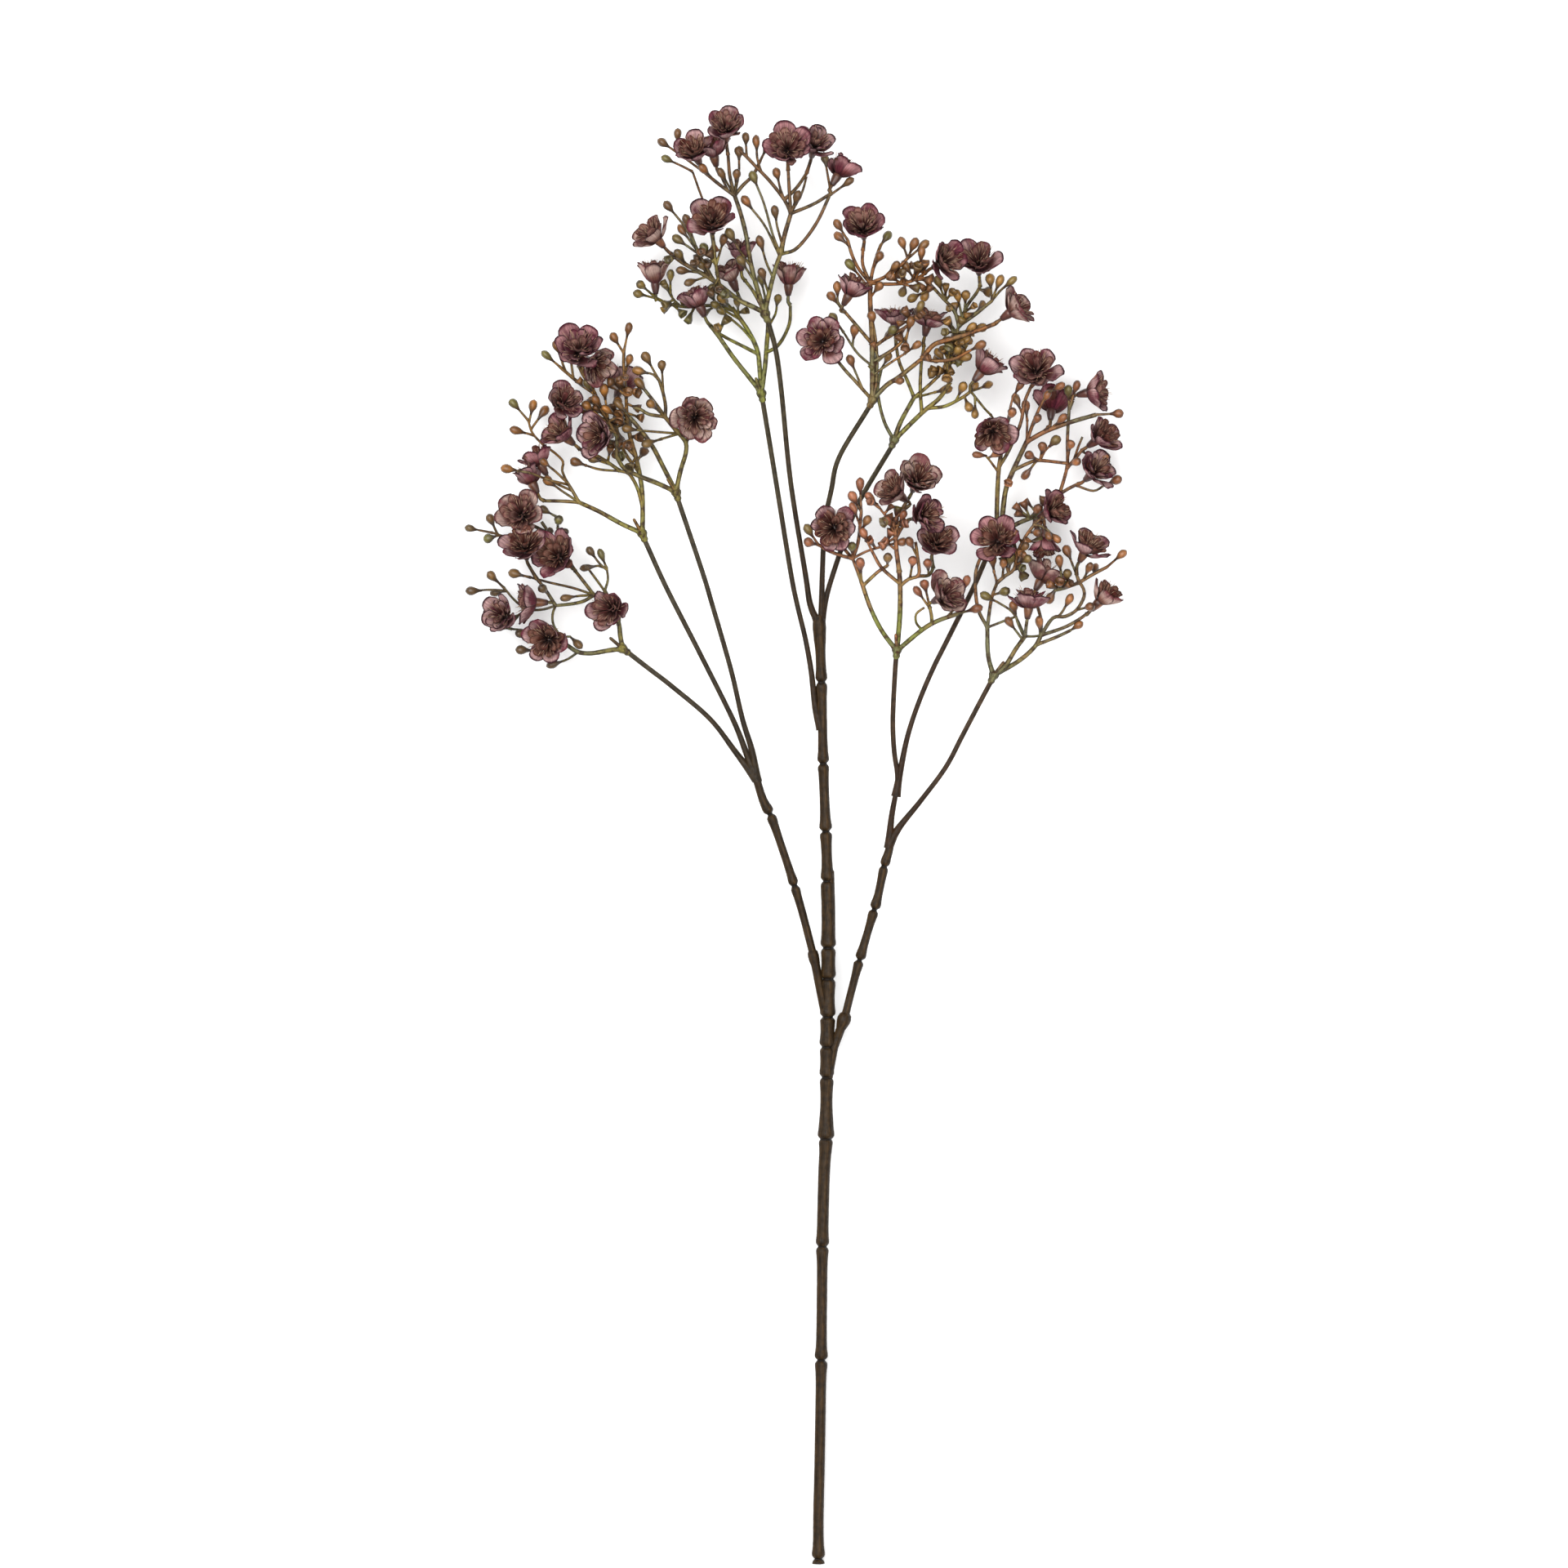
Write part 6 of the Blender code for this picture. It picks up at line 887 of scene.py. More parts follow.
def vector(tree, x, y, z):
    """A vector of three numbers."""
    return add(tree, "ShaderNodeCombineXYZ", {"X": x, "Y": y, "Z": z}).outputs[0]


def longer(tree, way, scale):
    """The vector made this many times as long."""
    return add(tree, "ShaderNodeVectorMath", {0: way, "Scale": scale}, operation="SCALE").outputs[0]


def summed(tree, first, second):
    """The sum of two vectors."""
    return add(tree, "ShaderNodeVectorMath", {0: first, 1: second}, operation="ADD").outputs[0]


def spanned(tree, value, least, most, low, high):
    """A value between least and most as one between low and high, which it doesn't pass."""
    sockets = {"Value": value, "From Min": least, "From Max": most, "To Min": low, "To Max": high}
    return add(tree, "ShaderNodeMapRange", sockets).outputs[0]


def node_group(kind, name, inputs, outputs):
    """An empty node group with named inputs, each a socket kind and a default, and named outputs."""
    tree = bpy.data.node_groups.new(name, kind)
    for socket, (socket_kind, default) in inputs.items():
        made = tree.interface.new_socket(socket, in_out="INPUT", socket_type="NodeSocket" + socket_kind)
        if default is not None:
            made.default_value = default
    for socket, socket_kind in outputs.items():
        tree.interface.new_socket(socket, in_out="OUTPUT", socket_type="NodeSocket" + socket_kind)
    return tree, tree.nodes.new("NodeGroupInput").outputs, tree.nodes.new("NodeGroupOutput").inputs


def shape_tree(name, **sizes):
    """An empty tree of Geometry Nodes with these inputs besides geometry and material. None is an object."""
    kinds = {int: "Int", float: "Float", type(None): "Object"}
    inputs = {"Geometry": ("Geometry", None)}
    for size, default in sizes.items():
        inputs[size.replace("_", " ")] = (kinds[type(default)], default)
    inputs["Material"] = ("Material", None)
    return node_group("GeometryNodeTree", name, inputs, {"Geometry": "Geometry"})


def named(tree, name, data_type="FLOAT"):
    """The output of a named attribute."""
    return add(tree, "GeometryNodeInputNamedAttribute", {"Name": name}, data_type=data_type).outputs[0]


def chance(tree, low, high, seed):
    """A random number for each point, between low and high."""
    return add(tree, "FunctionNodeRandomValue", {2: low, 3: high, "Seed": seed}, data_type="FLOAT").outputs[1]


def chances(tree, share, seed, first, count):
    """Random numbers between 1 less this share and 1 more, each from its own seed."""
    low = maths(tree, "SUBTRACT", 1.0, share)
    high = maths(tree, "ADD", 1.0, share)
    return [chance(tree, low, high, maths(tree, "ADD", seed, first + number)) for number in range(count)]


def stored(tree, geometry, name, value):
    """The geometry with a value kept on its points as a named attribute."""
    sockets = {"Geometry": geometry, "Name": name, "Value": value}
    return add(tree, "GeometryNodeStoreNamedAttribute", sockets, data_type="FLOAT", domain="POINT").outputs[0]


def raised(tree, geometry, height):
    """The geometry with its points moved along their normals."""
    offset = longer(tree, add(tree, "GeometryNodeInputNormal").outputs[0], height)
    return add(tree, "GeometryNodeSetPosition", {"Geometry": geometry, "Offset": offset}).outputs[0]


def copies(tree, points, shape, rotation, scale):
    """A real copy of the shape on every point."""
    sockets = {"Points": points, "Instance": shape, "Rotation": rotation, "Scale": scale}
    made = add(tree, "GeometryNodeInstanceOnPoints", sockets).outputs[0]
    return add(tree, "GeometryNodeRealizeInstances", {"Geometry": made}).outputs[0]


def rippled(tree, geometry, scale, height, seed):
    """The geometry with its points moved along their normals by a smooth random ripple."""
    apart = vector(tree, times(tree, seed, SEED_APART), 0.0, 0.0)
    place = summed(tree, add(tree, "GeometryNodeInputPosition").outputs[0], apart)
    noise = add(tree, "ShaderNodeTexNoise", {"Vector": place, "Scale": scale, "Detail": 1.0}).outputs[0]
    return raised(tree, geometry, times(tree, maths(tree, "SUBTRACT", noise, 0.5), height))


def finished(tree, geometry, given, made):
    """Ends a tree: real mesh, shaded smooth, with its material."""
    real = add(tree, "GeometryNodeRealizeInstances", {"Geometry": geometry}).outputs[0]
    smooth = add(tree, "GeometryNodeSetShadeSmooth", {"Geometry": real}).outputs[0]
    sockets = {"Geometry": smooth, "Material": given["Material"]}
    tree.links.new(add(tree, "GeometryNodeSetMaterial", sockets).outputs[0], made["Geometry"])
    return tree


def tube_tree():
    """Chains of edges made tubes, as thick as their points say, with low ridges along them."""
    tree, given, made = shape_tree("moulded tubes", Sides=12, Ridges=5, Ridge_Height=0.0)
    line = add(tree, "GeometryNodeMeshToCurve", {"Mesh": given["Geometry"]}).outputs[0]
    line = add(tree, "GeometryNodeSetCurveNormal", {"Curve": line}, mode="Z_UP").outputs[0]
    sockets = {"Resolution": given["Sides"], "Radius": 1.0}
    ring = add(tree, "GeometryNodeCurvePrimitiveCircle", sockets).outputs[0]
    along = add(tree, "GeometryNodeSplineParameter").outputs
    line = stored(tree, line, "along", along["Length"])
    ring = stored(tree, ring, "around", along["Factor"])
    sockets = {"Curve": line, "Profile Curve": ring, "Scale": named(tree, "thick"), "Fill Caps": True}
    tube = add(tree, "GeometryNodeCurveToMesh", sockets).outputs[0]
    turns = times(tree, times(tree, named(tree, "around"), TURN), given["Ridges"])
    tube = stored(tree, tube, "ridge", maths(tree, "COSINE", turns))
    tube = raised(tree, tube, times(tree, named(tree, "ridge"), given["Ridge Height"]))
    return finished(tree, tube, given, made)


def bud_tree():
    """A bud on every point, along the way its point says, each a little unlike the next."""
    tree, given, made = shape_tree(
        "buds on stalks", Bud=None, Half_Length=0.003, Radius=0.002, Variation=0.12, Ripple=0.0, Seed=0
    )
    bud = add(tree, "GeometryNodeObjectInfo", {"Object": given["Bud"]}).outputs["Geometry"]
    points = add(tree, "GeometryNodeMeshToPoints", {"Mesh": given["Geometry"]}).outputs[0]
    points = stored(tree, points, "tint", chance(tree, 0.0, 1.0, given["Seed"]))
    way = named(tree, "axis", "FLOAT_VECTOR")
    rotation = add(tree, "FunctionNodeAlignRotationToVector", {"Vector": way}, axis="Z").outputs[0]
    # Roll each bud so that its Y points up: its painted highlight lies on top and its painted side shade at
    # the sides
    sockets = {"Rotation": rotation, "Vector": (0, 0, 1)}
    rotation = add(tree, "FunctionNodeAlignRotationToVector", sockets, axis="Y", pivot_axis="Z").outputs[0]
    wide, broad, long = chances(tree, given["Variation"], given["Seed"], 1, 3)
    wide, broad = (times(tree, size, given["Radius"]) for size in (wide, broad))
    scale = vector(tree, wide, broad, times(tree, long, given["Half Length"]))
    buds = copies(tree, points, bud, rotation, scale)
    return finished(tree, rippled(tree, buds, BUD_RIPPLE_SCALE, given["Ripple"], given["Seed"]), given, made)


def whorl_tree():
    """Copies of one petal, sepal or thread set round an axis, each with its own lean, size and ruffle."""
    tree, given, made = shape_tree(
        "whorl", Count=5, Reach=0.01, Depth=0.01, Turn=0.0, Loose=0.05, Lean=0.05, Ruffle=0.0, Seed=0
    )
    points = add(tree, "GeometryNodePoints", {"Count": given["Count"]}).outputs[0]
    points = stored(tree, points, "tint", chance(tree, 0.0, 1.0, given["Seed"]))
    share = maths(tree, "DIVIDE", add(tree, "GeometryNodeInputIndex").outputs[0], given["Count"])
    seeds = [maths(tree, "ADD", given["Seed"], number) for number in (1, 2, 3)]
    start = maths(tree, "ADD", given["Turn"], chance(tree, -TURN_PLAY, TURN_PLAY, seeds[0]))
    angle = maths(tree, "ADD", times(tree, share, TURN), start)
    back = times(tree, given["Lean"], -1.0)
    leans = [chance(tree, back, given["Lean"], seed) for seed in seeds[1:]]
    rotation = add(tree, "FunctionNodeEulerToRotation", {"Euler": vector(tree, *leans, angle)}).outputs[0]
    wide, deep = chances(tree, given["Loose"], given["Seed"], 4, 2)
    reach = times(tree, given["Reach"], wide)
    scale = vector(tree, reach, reach, times(tree, given["Depth"], deep))
    whorl = copies(tree, points, given["Geometry"], rotation, scale)
    ruffle = times(tree, maths(tree, "POWER", named(tree, "reach"), 2.0), given["Ruffle"])
    return finished(tree, rippled(tree, whorl, PETAL_RIPPLE_SCALE, ruffle, given["Seed"]), given, made)


def shown(name, mesh):
    """An object of this mesh, in the scene."""
    obj = bpy.data.objects.new(name, mesh)
    bpy.context.scene.collection.objects.link(obj)
    return obj


def with_tree(obj, tree, **sizes):
    """Puts the tree on the object with these sizes. An underscore stands for the space in a socket's name."""
    modifier = obj.modifiers.new(tree.name, "NODES")
    modifier.node_group = tree
    sockets = {item.name: item.identifier for item in tree.interface.items_tree if item.in_out == "INPUT"}
    for name, value in sizes.items():
        modifier[sockets[name.replace("_", " ")]] = value
    return obj


def settled(objects):
    """Plain meshes of the objects with their modifiers, and the objects gone."""
    bpy.context.view_layer.update()
    graph = bpy.context.evaluated_depsgraph_get()
    meshes = [
        bpy.data.meshes.new_from_object(
            obj.evaluated_get(graph), preserve_all_data_layers=True, depsgraph=graph
        )
        for obj in objects
    ]
    for obj in objects:
        bpy.data.objects.remove(obj, do_unlink=True)
    return meshes


def dressed(name, meshes, node):
    """One piece of all these meshes, which rides on the stem's body and stands for a plain solid."""
    objects = [shown(f"{name}_{number}", mesh) for number, mesh in enumerate(meshes)]
    piece = objects[0]
    if len(objects) > 1:
        with bpy.context.temp_override(
            active_object=piece, object=piece, selected_objects=objects, selected_editable_objects=objects
        ):
            bpy.ops.object.join()
    piece.name = name
    piece.data.name = name
    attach(piece, "root")
    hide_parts(node)


def smooth_route(points, step):
    """Points about a step apart on a smooth curve through the given ones."""
    route = [Vector(point) for point in points]
    ends = [2 * route[0] - route[1]] + route + [2 * route[-1] - route[-2]]
    made = []
    for before, start, stop, after in zip(ends, ends[1:], ends[2:], ends[3:]):
        pieces = max(1, round((stop - start).length / step))
        for i in range(pieces):
            t = i / pieces
            made.append(
                0.5 * (2 * start + (stop - before) * t + (2 * before - 5 * start + 4 * stop - after) * t * t
                       + (3 * start - before - 3 * stop + after) * t * t * t)
            )
    made.append(route[-1])
    return made


def between(table, at):
    """The value at a place in a table of (place, value)."""
    for (low, first), (high, last) in zip(table, table[1:]):
        if at <= high:
            return first + (last - first) * min(1.0, max(0.0, (at - low) / (high - low)))
    return table[-1][1]


def at_y(route, y):
    """The point of a route, which climbs in Y, at this Y."""
    for start, stop in zip(route, route[1:]):
        if start.y <= y <= stop.y:
            return start.lerp(stop, (y - start.y) / (stop.y - start.y))
    return route[0] if y < route[0].y else route[-1]


def foot_on(route, x, y):
    """The point of a route that is nearest to (x, y) as seen from above."""
    best = None
    for start, stop in zip(route, route[1:]):
        run = Vector((stop.x - start.x, stop.y - start.y))
        t = ((x - start.x) * run.x + (y - start.y) * run.y) / max(run.length_squared, 1e-9)
        point = start.lerp(stop, min(1.0, max(0.0, t)))
        away = math.hypot(point.x - x, point.y - y)
        if best is None or away < best[0]:
            best = (away, point)
    return best[1]


def keep_on_points(mesh, name, values):
    """Keeps a number for every point of the mesh as a named attribute."""
    mesh.attributes.new(name, "FLOAT", "POINT").data.foreach_set("value", values)


def wires(name, chains):
    """A mesh of chains of edges. A chain is (points, radii, how far out each point is from 0 to 1, on stems
    the painted groove shade).
    """
    points, edges, thick, out = [], [], [], []
    for chain, radii, far in chains:
        first = len(points)
        points += [tuple(Vector(point) * MM) for point in chain]
        edges += [(first + i, first + i + 1) for i in range(len(chain) - 1)]
        thick += [radius * MM for radius in radii]
        out += far
    mesh = bpy.data.meshes.new(name)
    mesh.from_pydata(points, edges, [])
    keep_on_points(mesh, "thick", thick)
    keep_on_points(mesh, "out", out)
    return shown(name, mesh)


def sheet(name, rows, columns, place, closed=False):
    """A grid of points from place(reach, side), both kept on it. Closed, its last column meets the first."""
    wide = columns if closed else columns + 1
    grid = [(row / rows, 2 * column / columns - 1) for row in range(rows + 1) for column in range(wide)]
    faces = []
    for row in range(rows):
        for column in range(columns):
            a = row * wide + column
            b = row * wide + (column + 1) % wide
            faces.append((a, b, b + wide, a + wide))
    if closed:
        faces.append(tuple(reversed(range(wide))))
        faces.append(tuple(rows * wide + i for i in range(wide)))
    mesh = bpy.data.meshes.new(name)
    mesh.from_pydata([place(reach, side) for reach, side in grid], [], faces)
    keep_on_points(mesh, "reach", [reach for reach, _ in grid])
    keep_on_points(mesh, "side", [side for _, side in grid])
    return mesh


def paint(red, green, blue):
    """A colour given as it shows on a screen, from 0 to 255, as a linear one."""
    shares = (red / 255, green / 255, blue / 255)
    linear = [share / 12.92 if share <= 0.04 else ((share + 0.055) / 1.055) ** 2.4 for share in shares]
    return (*(share * DEEPER for share in linear), 1.0)


def mottle_group():
    """Patches of a slow random pattern over the surface, as a mask from Low to High."""
    inputs = {"Scale": ("Float", 200.0), "Low": ("Float", 0.0), "High": ("Float", 1.0)}
    tree, given, made = node_group("ShaderNodeTree", "mottle", inputs, {"Mask": "Float"})
    place = add(tree, "ShaderNodeTexCoord").outputs["Object"]
    sockets = {"Vector": place, "Scale": given["Scale"], "Detail": 3.0}
    noise = add(tree, "ShaderNodeTexNoise", sockets).outputs[0]
    tree.links.new(spanned(tree, noise, 0.36, 0.64, given["Low"], given["High"]), made["Mask"])
    return tree


def streak_group():
    """Fine lines that follow a pattern space: how light they are, and the relief that they make."""
    inputs = {
        "Space": ("Vector", None), "Scale": ("Float", 5.0), "Low": ("Float", 0.7), "High": ("Float", 1.2),
        "Relief": ("Float", 0.5), "Relief Depth": ("Float", 0.0002),
    }
    outputs = {"Shade": "Float", "Normal": "Vector"}
    tree, given, made = node_group("ShaderNodeTree", "streaks", inputs, outputs)
    sockets = {"Vector": given["Space"], "Scale": given["Scale"], "Detail": 4.0, "Roughness": 0.6}
    noise = add(tree, "ShaderNodeTexNoise", sockets).outputs[0]
    tree.links.new(spanned(tree, noise, 0.3, 0.7, given["Low"], given["High"]), made["Shade"])
    sockets = {"Height": noise, "Strength": given["Relief"], "Distance": given["Relief Depth"]}
    tree.links.new(add(tree, "ShaderNodeBump", sockets).outputs[0], made["Normal"])
    return tree


def placed(tree, source, **sockets):
    """The outputs of a shader group with these values. An underscore is the space in a socket's name."""
    node = tree.nodes.new("ShaderNodeGroup")
    node.node_tree = source
    for name, value in sockets.items():
        feed(tree, node.inputs[name.replace("_", " ")], value)
    return node.outputs


def patches(tree, groups, scale, low, high):
    """The mask of the mottle group."""
    return placed(tree, groups["mottle"], Scale=scale, Low=low, High=high)["Mask"]


def attribute(tree, name):
    """A number kept on the surface."""
    return add(tree, "ShaderNodeAttribute", attribute_name=name).outputs["Fac"]


def blend(tree, factor, first, second, mode="MIX"):
    """Two colours mixed."""
    node = add(tree, "ShaderNodeMix", data_type="RGBA", blend_type=mode)
    for socket, value in ((node.inputs[0], factor), (node.inputs[6], first), (node.inputs[7], second)):
        feed(tree, socket, value)
    return node.outputs[2]


def ramp(tree, factor, *stops):
    """Colours along a value, from (place, colour) stops."""
    node = add(tree, "ShaderNodeValToRGB", {"Fac": factor})
    elements = node.color_ramp.elements
    while len(elements) < len(stops):
        elements.new(0.5)
    for element, (place, colour) in zip(elements, stops):
        element.position = place
        element.color = colour
    return node.outputs["Color"]


def shaded(tree, colour, shade):
    """The colour made lighter or darker by a number."""
    grey = add(tree, "ShaderNodeCombineColor", {"Red": shade, "Green": shade, "Blue": shade}).outputs[0]
    return blend(tree, 1.0, colour, grey, "MULTIPLY")


def coating(name, **fixed):
    """A new material: its tree and its shader, with the values that are the same all over."""
    material = bpy.data.materials.new(name)
    material.use_nodes = True
    shader = material.node_tree.nodes["Principled BSDF"]
    for socket, value in fixed.items():
        shader.inputs[socket.replace("_", " ")].default_value = value
    return material, material.node_tree, shader


def coated(material, tree, shader, colour, rough, normal=None):
    """The material with what changes over its surface linked to its shader."""
    tree.links.new(colour, shader.inputs["Base Color"])
    tree.links.new(rough, shader.inputs["Roughness"])
    if normal:
        tree.links.new(normal, shader.inputs["Normal"])
    return material


def petal_cloth(name, groups, deep, middle, pale, rim, rose, pleats):
    """Dyed cloth: dark at the heart, partly painted shade at the foot, paler and streaked outwards, partly a
    painted glow through the cloth, with a dark singed rim.
    """
    material, tree, shader = coating(name, Sheen_Weight=0.04, Sheen_Roughness=0.4, Specular_IOR_Level=0.06)
    reach, side, tint = (attribute(tree, word) for word in ("reach", "side", "tint"))
    space = vector(tree, times(tree, side, 3.4), times(tree, reach, 0.5), times(tree, tint, 9.0))
    relief = {"Relief": 0.8, "Relief_Depth": 0.0006}
    veins = placed(tree, groups["streaks"], Space=space, Scale=pleats, Low=0.5, High=1.42, **relief)
    # Along the reach: the dark heart is dye and painted shade at the petal's foot; the pale band is dye and a
    # painted glow of light through the cloth
    colour = ramp(
        tree, reach, (0.0, deep), (0.24, deep), (0.46, middle), (0.7, pale), (0.88, pale), (0.97, rim)
    )
    colour = blend(tree, patches(tree, groups, 150.0, -0.4, 0.9), colour, rose)
    edge = spanned(tree, maths(tree, "ABSOLUTE", side), 0.86, 1.0, 0.0, 0.6)
    colour = shaded(tree, blend(tree, edge, colour, rim), veins["Shade"])
    colour = shaded(tree, colour, spanned(tree, tint, 0.0, 1.0, 0.85, 1.15))
    rough = patches(tree, groups, 600.0, 0.66, 0.84)
    return coated(material, tree, shader, colour, rough, veins["Normal"])


def moulded(name, groups, foot, tip, dark, slate=None):
    """Moulded plastic: one colour at the foot running into another, with dirt, streaks and a soft gloss.

    Twigs have slate as well, a painted highlight along the top and painted shade along the sides. On stems
    and wands the mould ridges are lighter.
    """
    material, tree, shader = coating(name, Specular_IOR_Level=0.2 if slate else 0.14)
    # Dirt patches, then light and shade across the tube: painted on twigs, lighter ridges on stems and wands
    dirt_and_groove_shade, ridge_light_and_shade = ((-0.5, 0.95), (1.5, 0.22)) if slate else ((-0.2, 0.6), (0.7, 1.3))
    # On stems this share is 1 in the grooves, so the darker second colour there is painted shade
    share = maths(tree, "ADD", attribute(tree, "out"), patches(tree, groups, 90.0, -0.18, 0.18))
    colour = ramp(tree, share, (0.3, foot), (0.75, tip))
    if slate:
        colour = blend(tree, patches(tree, groups, 40.0, -0.6, 0.85), colour, slate)
    place = longer(tree, add(tree, "ShaderNodeTexCoord").outputs["Object"], 20.0)
    turn = times(tree, attribute(tree, "around"), TURN)
    thick = times(tree, attribute(tree, "thick"), 300.0)
    across = [times(tree, maths(tree, wave, turn), thick) for wave in ("COSINE", "SINE")]
    lines = summed(tree, vector(tree, *across, times(tree, attribute(tree, "along"), 20.0)), place)
    relief = {"Relief": 0.6, "Relief_Depth": 0.0004}
    streak = placed(tree, groups["streaks"], Space=lines, Scale=5.0, Low=0.5, High=1.6, **relief)
    colour = blend(tree, patches(tree, groups, 420.0, *dirt_and_groove_shade), colour, dark)
    colour = shaded(tree, colour, streak["Shade"])
    # Twigs: painted highlight between the seams, painted shade on the seams at the sides. Stems and wands:
    # lighter mould ridges
    colour = shaded(tree, colour, spanned(tree, attribute(tree, "ridge"), -0.6, 1.0, *ridge_light_and_shade))
    rough = patches(tree, groups, 700.0, 0.36, 0.58)
    return coated(material, tree, shader, colour, rough, streak["Normal"])


def bud_skin(name, groups, light, body, dark, odd):
    """Bud plastic: a dark neck, a warm body and a dark tip, unlike from bud to bud, with painted shade along
    the sides and a painted highlight along the top.
    """
    material, tree, shader = coating(name, Specular_IOR_Level=0.3, Coat_Weight=0.3, Coat_Roughness=0.2)
    reach, side, tint = (attribute(tree, word) for word in ("reach", "side", "tint"))
    warm = ramp(tree, tint, (0.0, odd), (0.3, body), (0.62, body), (1.0, light))
    greys = [(place, (grey, grey, grey, 1)) for place, grey in ((0.18, 0), (0.5, 1), (0.84, 1), (0.97, 0.2))]
    colour = blend(tree, ramp(tree, reach, *greys), dark, warm)
    colour = blend(tree, patches(tree, groups, 350.0, 0.0, 0.55), colour, dark)
    # Painted shade: darker along the two sides of each bud, on either side of its top
    painted_side_shade = maths(tree, "COSINE", times(tree, side, TURN))
    colour = blend(tree, spanned(tree, painted_side_shade, 0.0, 1.0, 0.0, 0.7), colour, dark)
    # Painted highlight: the top of each bud is painted up to half again as light
    top = maths(tree, "SINE", times(tree, side, math.pi))
    colour = shaded(tree, colour, spanned(tree, top, 0.4, 1.0, 0.92, 1.5))
    space = vector(tree, times(tree, side, 3.0), reach, times(tree, tint, 9.0))
    relief = {"Relief": 0.4, "Relief_Depth": 0.0003}
    streak = placed(tree, groups["streaks"], Space=space, Scale=2.5, Low=0.8, High=1.2, **relief)
    colour = shaded(tree, colour, streak["Shade"])
    rough = patches(tree, groups, 500.0, 0.36, 0.55)
    return coated(material, tree, shader, colour, rough, streak["Normal"])


def heart_threads(name, groups):
    """Threads of the heart: dark at the foot, with pale ochre heads."""
    material, tree, shader = coating(name, Specular_IOR_Level=0.3)
    stops = [(place, paint(*colour)) for place, colour in THREAD_COLOURS]
    colour = ramp(tree, attribute(tree, "reach"), *stops)
    colour = blend(tree, patches(tree, groups, 900.0, 0.0, 0.5), colour, paint(*THREAD_DIRT))
    return coated(material, tree, shader, colour, patches(tree, groups, 700.0, 0.5, 0.75))


def make_cloths():
    """Every material, by name."""
    groups = {"mottle": mottle_group(), "streaks": streak_group()}
    cloths = {"heart_threads": heart_threads("heart_threads", groups)}
    for name, colours in PETAL_COLOURS.items():
        pleats = HEART_PLEATS if "heart" in name else PETAL_PLEATS
        cloths[name] = petal_cloth(name, groups, *(paint(*colour) for colour in colours), pleats)
    cloths["calyx_skin"] = bud_skin("calyx_skin", groups, *(paint(*colour) for colour in CALYX_COLOURS))
    for name, colours in STEM_COLOURS.items():
        cloths[name] = moulded(name, groups, *(paint(*colour) for colour in colours))
    for spray, colours in SPRAY_COLOURS.items():
        foot, tip, dark, light, body, slate, green = (paint(*c) for c in (*colours, TWIG_SLATE, GREEN_BUD))
        cloths[spray] = moulded(f"{spray}_twig", groups, foot, tip, dark, slate)
        cloths[spray + "_bud"] = bud_skin(f"{spray}_bud", groups, light, body, dark, green)
    return cloths


def stem_swell(distance):
    """Change of a stem's radius this far above a knuckle's groove. It is rounder above than below."""
    rise = min(1.0, abs(distance) / BULGE_RISE)
    rise = rise * rise * (3 - 2 * rise) * (1 if distance > 0 else LOWER_BULGE)
    bulge = BULGE * rise * math.exp(-max(0.0, abs(distance) - BULGE_FLAT * BULGE_RISE) / BULGE_RUN)
    return bulge - GROOVE * math.exp(-((distance / GROOVE_HALF) ** 2))


def stem_chain(points, knuckles, radii, draw):
    """A knuckled stem as a chain of points with their radii, and with painted shade in the grooves."""
    route = smooth_route(points, STEM_STEP)
    high = route[-1].y
    marks = [route[0].y]
    while marks[-1] < high:
        near = any(-KNUCKLE_BELOW < marks[-1] - y < KNUCKLE_ABOVE for y in knuckles)
        marks.append(marks[-1] + (KNUCKLE_STEP if near else STEM_STEP))
    marks[-1] = high
    strength = {y: draw.uniform(*KNUCKLE_STRENGTH) for y in knuckles}
    sizes = []
    for y in marks:
        radius = between(radii, y)
        for knuckle in knuckles:
            radius += strength[knuckle] * stem_swell(y - knuckle)
        sizes.append(radius + draw.uniform(-STEM_UNEVEN, STEM_UNEVEN))
    # Painted shade in the grooves: 1 at a groove, falling to 0 away from it
    dirt_and_groove_shade = [max(math.exp(-(((y - knuckle) / GROOVE_HALF) ** 2)) for knuckle in knuckles) for y in marks]
    return [at_y(route, y) for y in marks], sizes, dirt_and_groove_shade


def wand_chain(points):
    """A long bare wand, thicker over the first part of its length."""
    route = smooth_route(points, WAND_STEP)
    last = len(route) - 1
    foot, tip = WAND_RADII
    radii = [
        foot + (tip - foot) * min(1.0, i / last / WAND_FLARE)
        + WAND_ROOT * math.exp(-i * WAND_STEP / WAND_ROOT_RUN)
        for i in range(last + 1)
    ]
    return route, radii, [i / last for i in range(last + 1)]


def plain_chain(points, radii, far=0.0):
    """A chain through given points with given radii."""
    return [Vector(point) for point in points], list(radii), [far] * len(points)


def turned_chain(start, way, profile, far=0.0):
    """A straight chain along this way, from (place, radius) points."""
    return plain_chain([start + way * place for place, _ in profile], [radius for _, radius in profile], far)


def facing(azimuth, rise):
    """The way a bloom looks, as a unit vector."""
    turn, rise = math.radians(azimuth), math.radians(rise)
    flat = math.cos(rise)
    return Vector((flat * math.cos(turn), flat * math.sin(turn), math.sin(rise)))


def twig_chain(route, thickness, start, draw):
    """A twig as a chain: swollen where it leaves its parent, thinner towards its tip."""
    last = len(route) - 1
    radii = []
    gone = 0.0
    for i, point in enumerate(route):
        if i:
            gone += (point - route[i - 1]).length
        radius = thickness * (1 - (1 - TWIG_TAPER) * i / last)
        radius *= draw.uniform(1 - TWIG_UNEVEN, 1 + TWIG_UNEVEN)
        radii.append(radius * (FORK_SWELL if gone < FORK_RUN * thickness else 1.0))
    far = [min(1.0, (point - start).length / SPRAY_REACH) for point in route]
    return route, radii, far


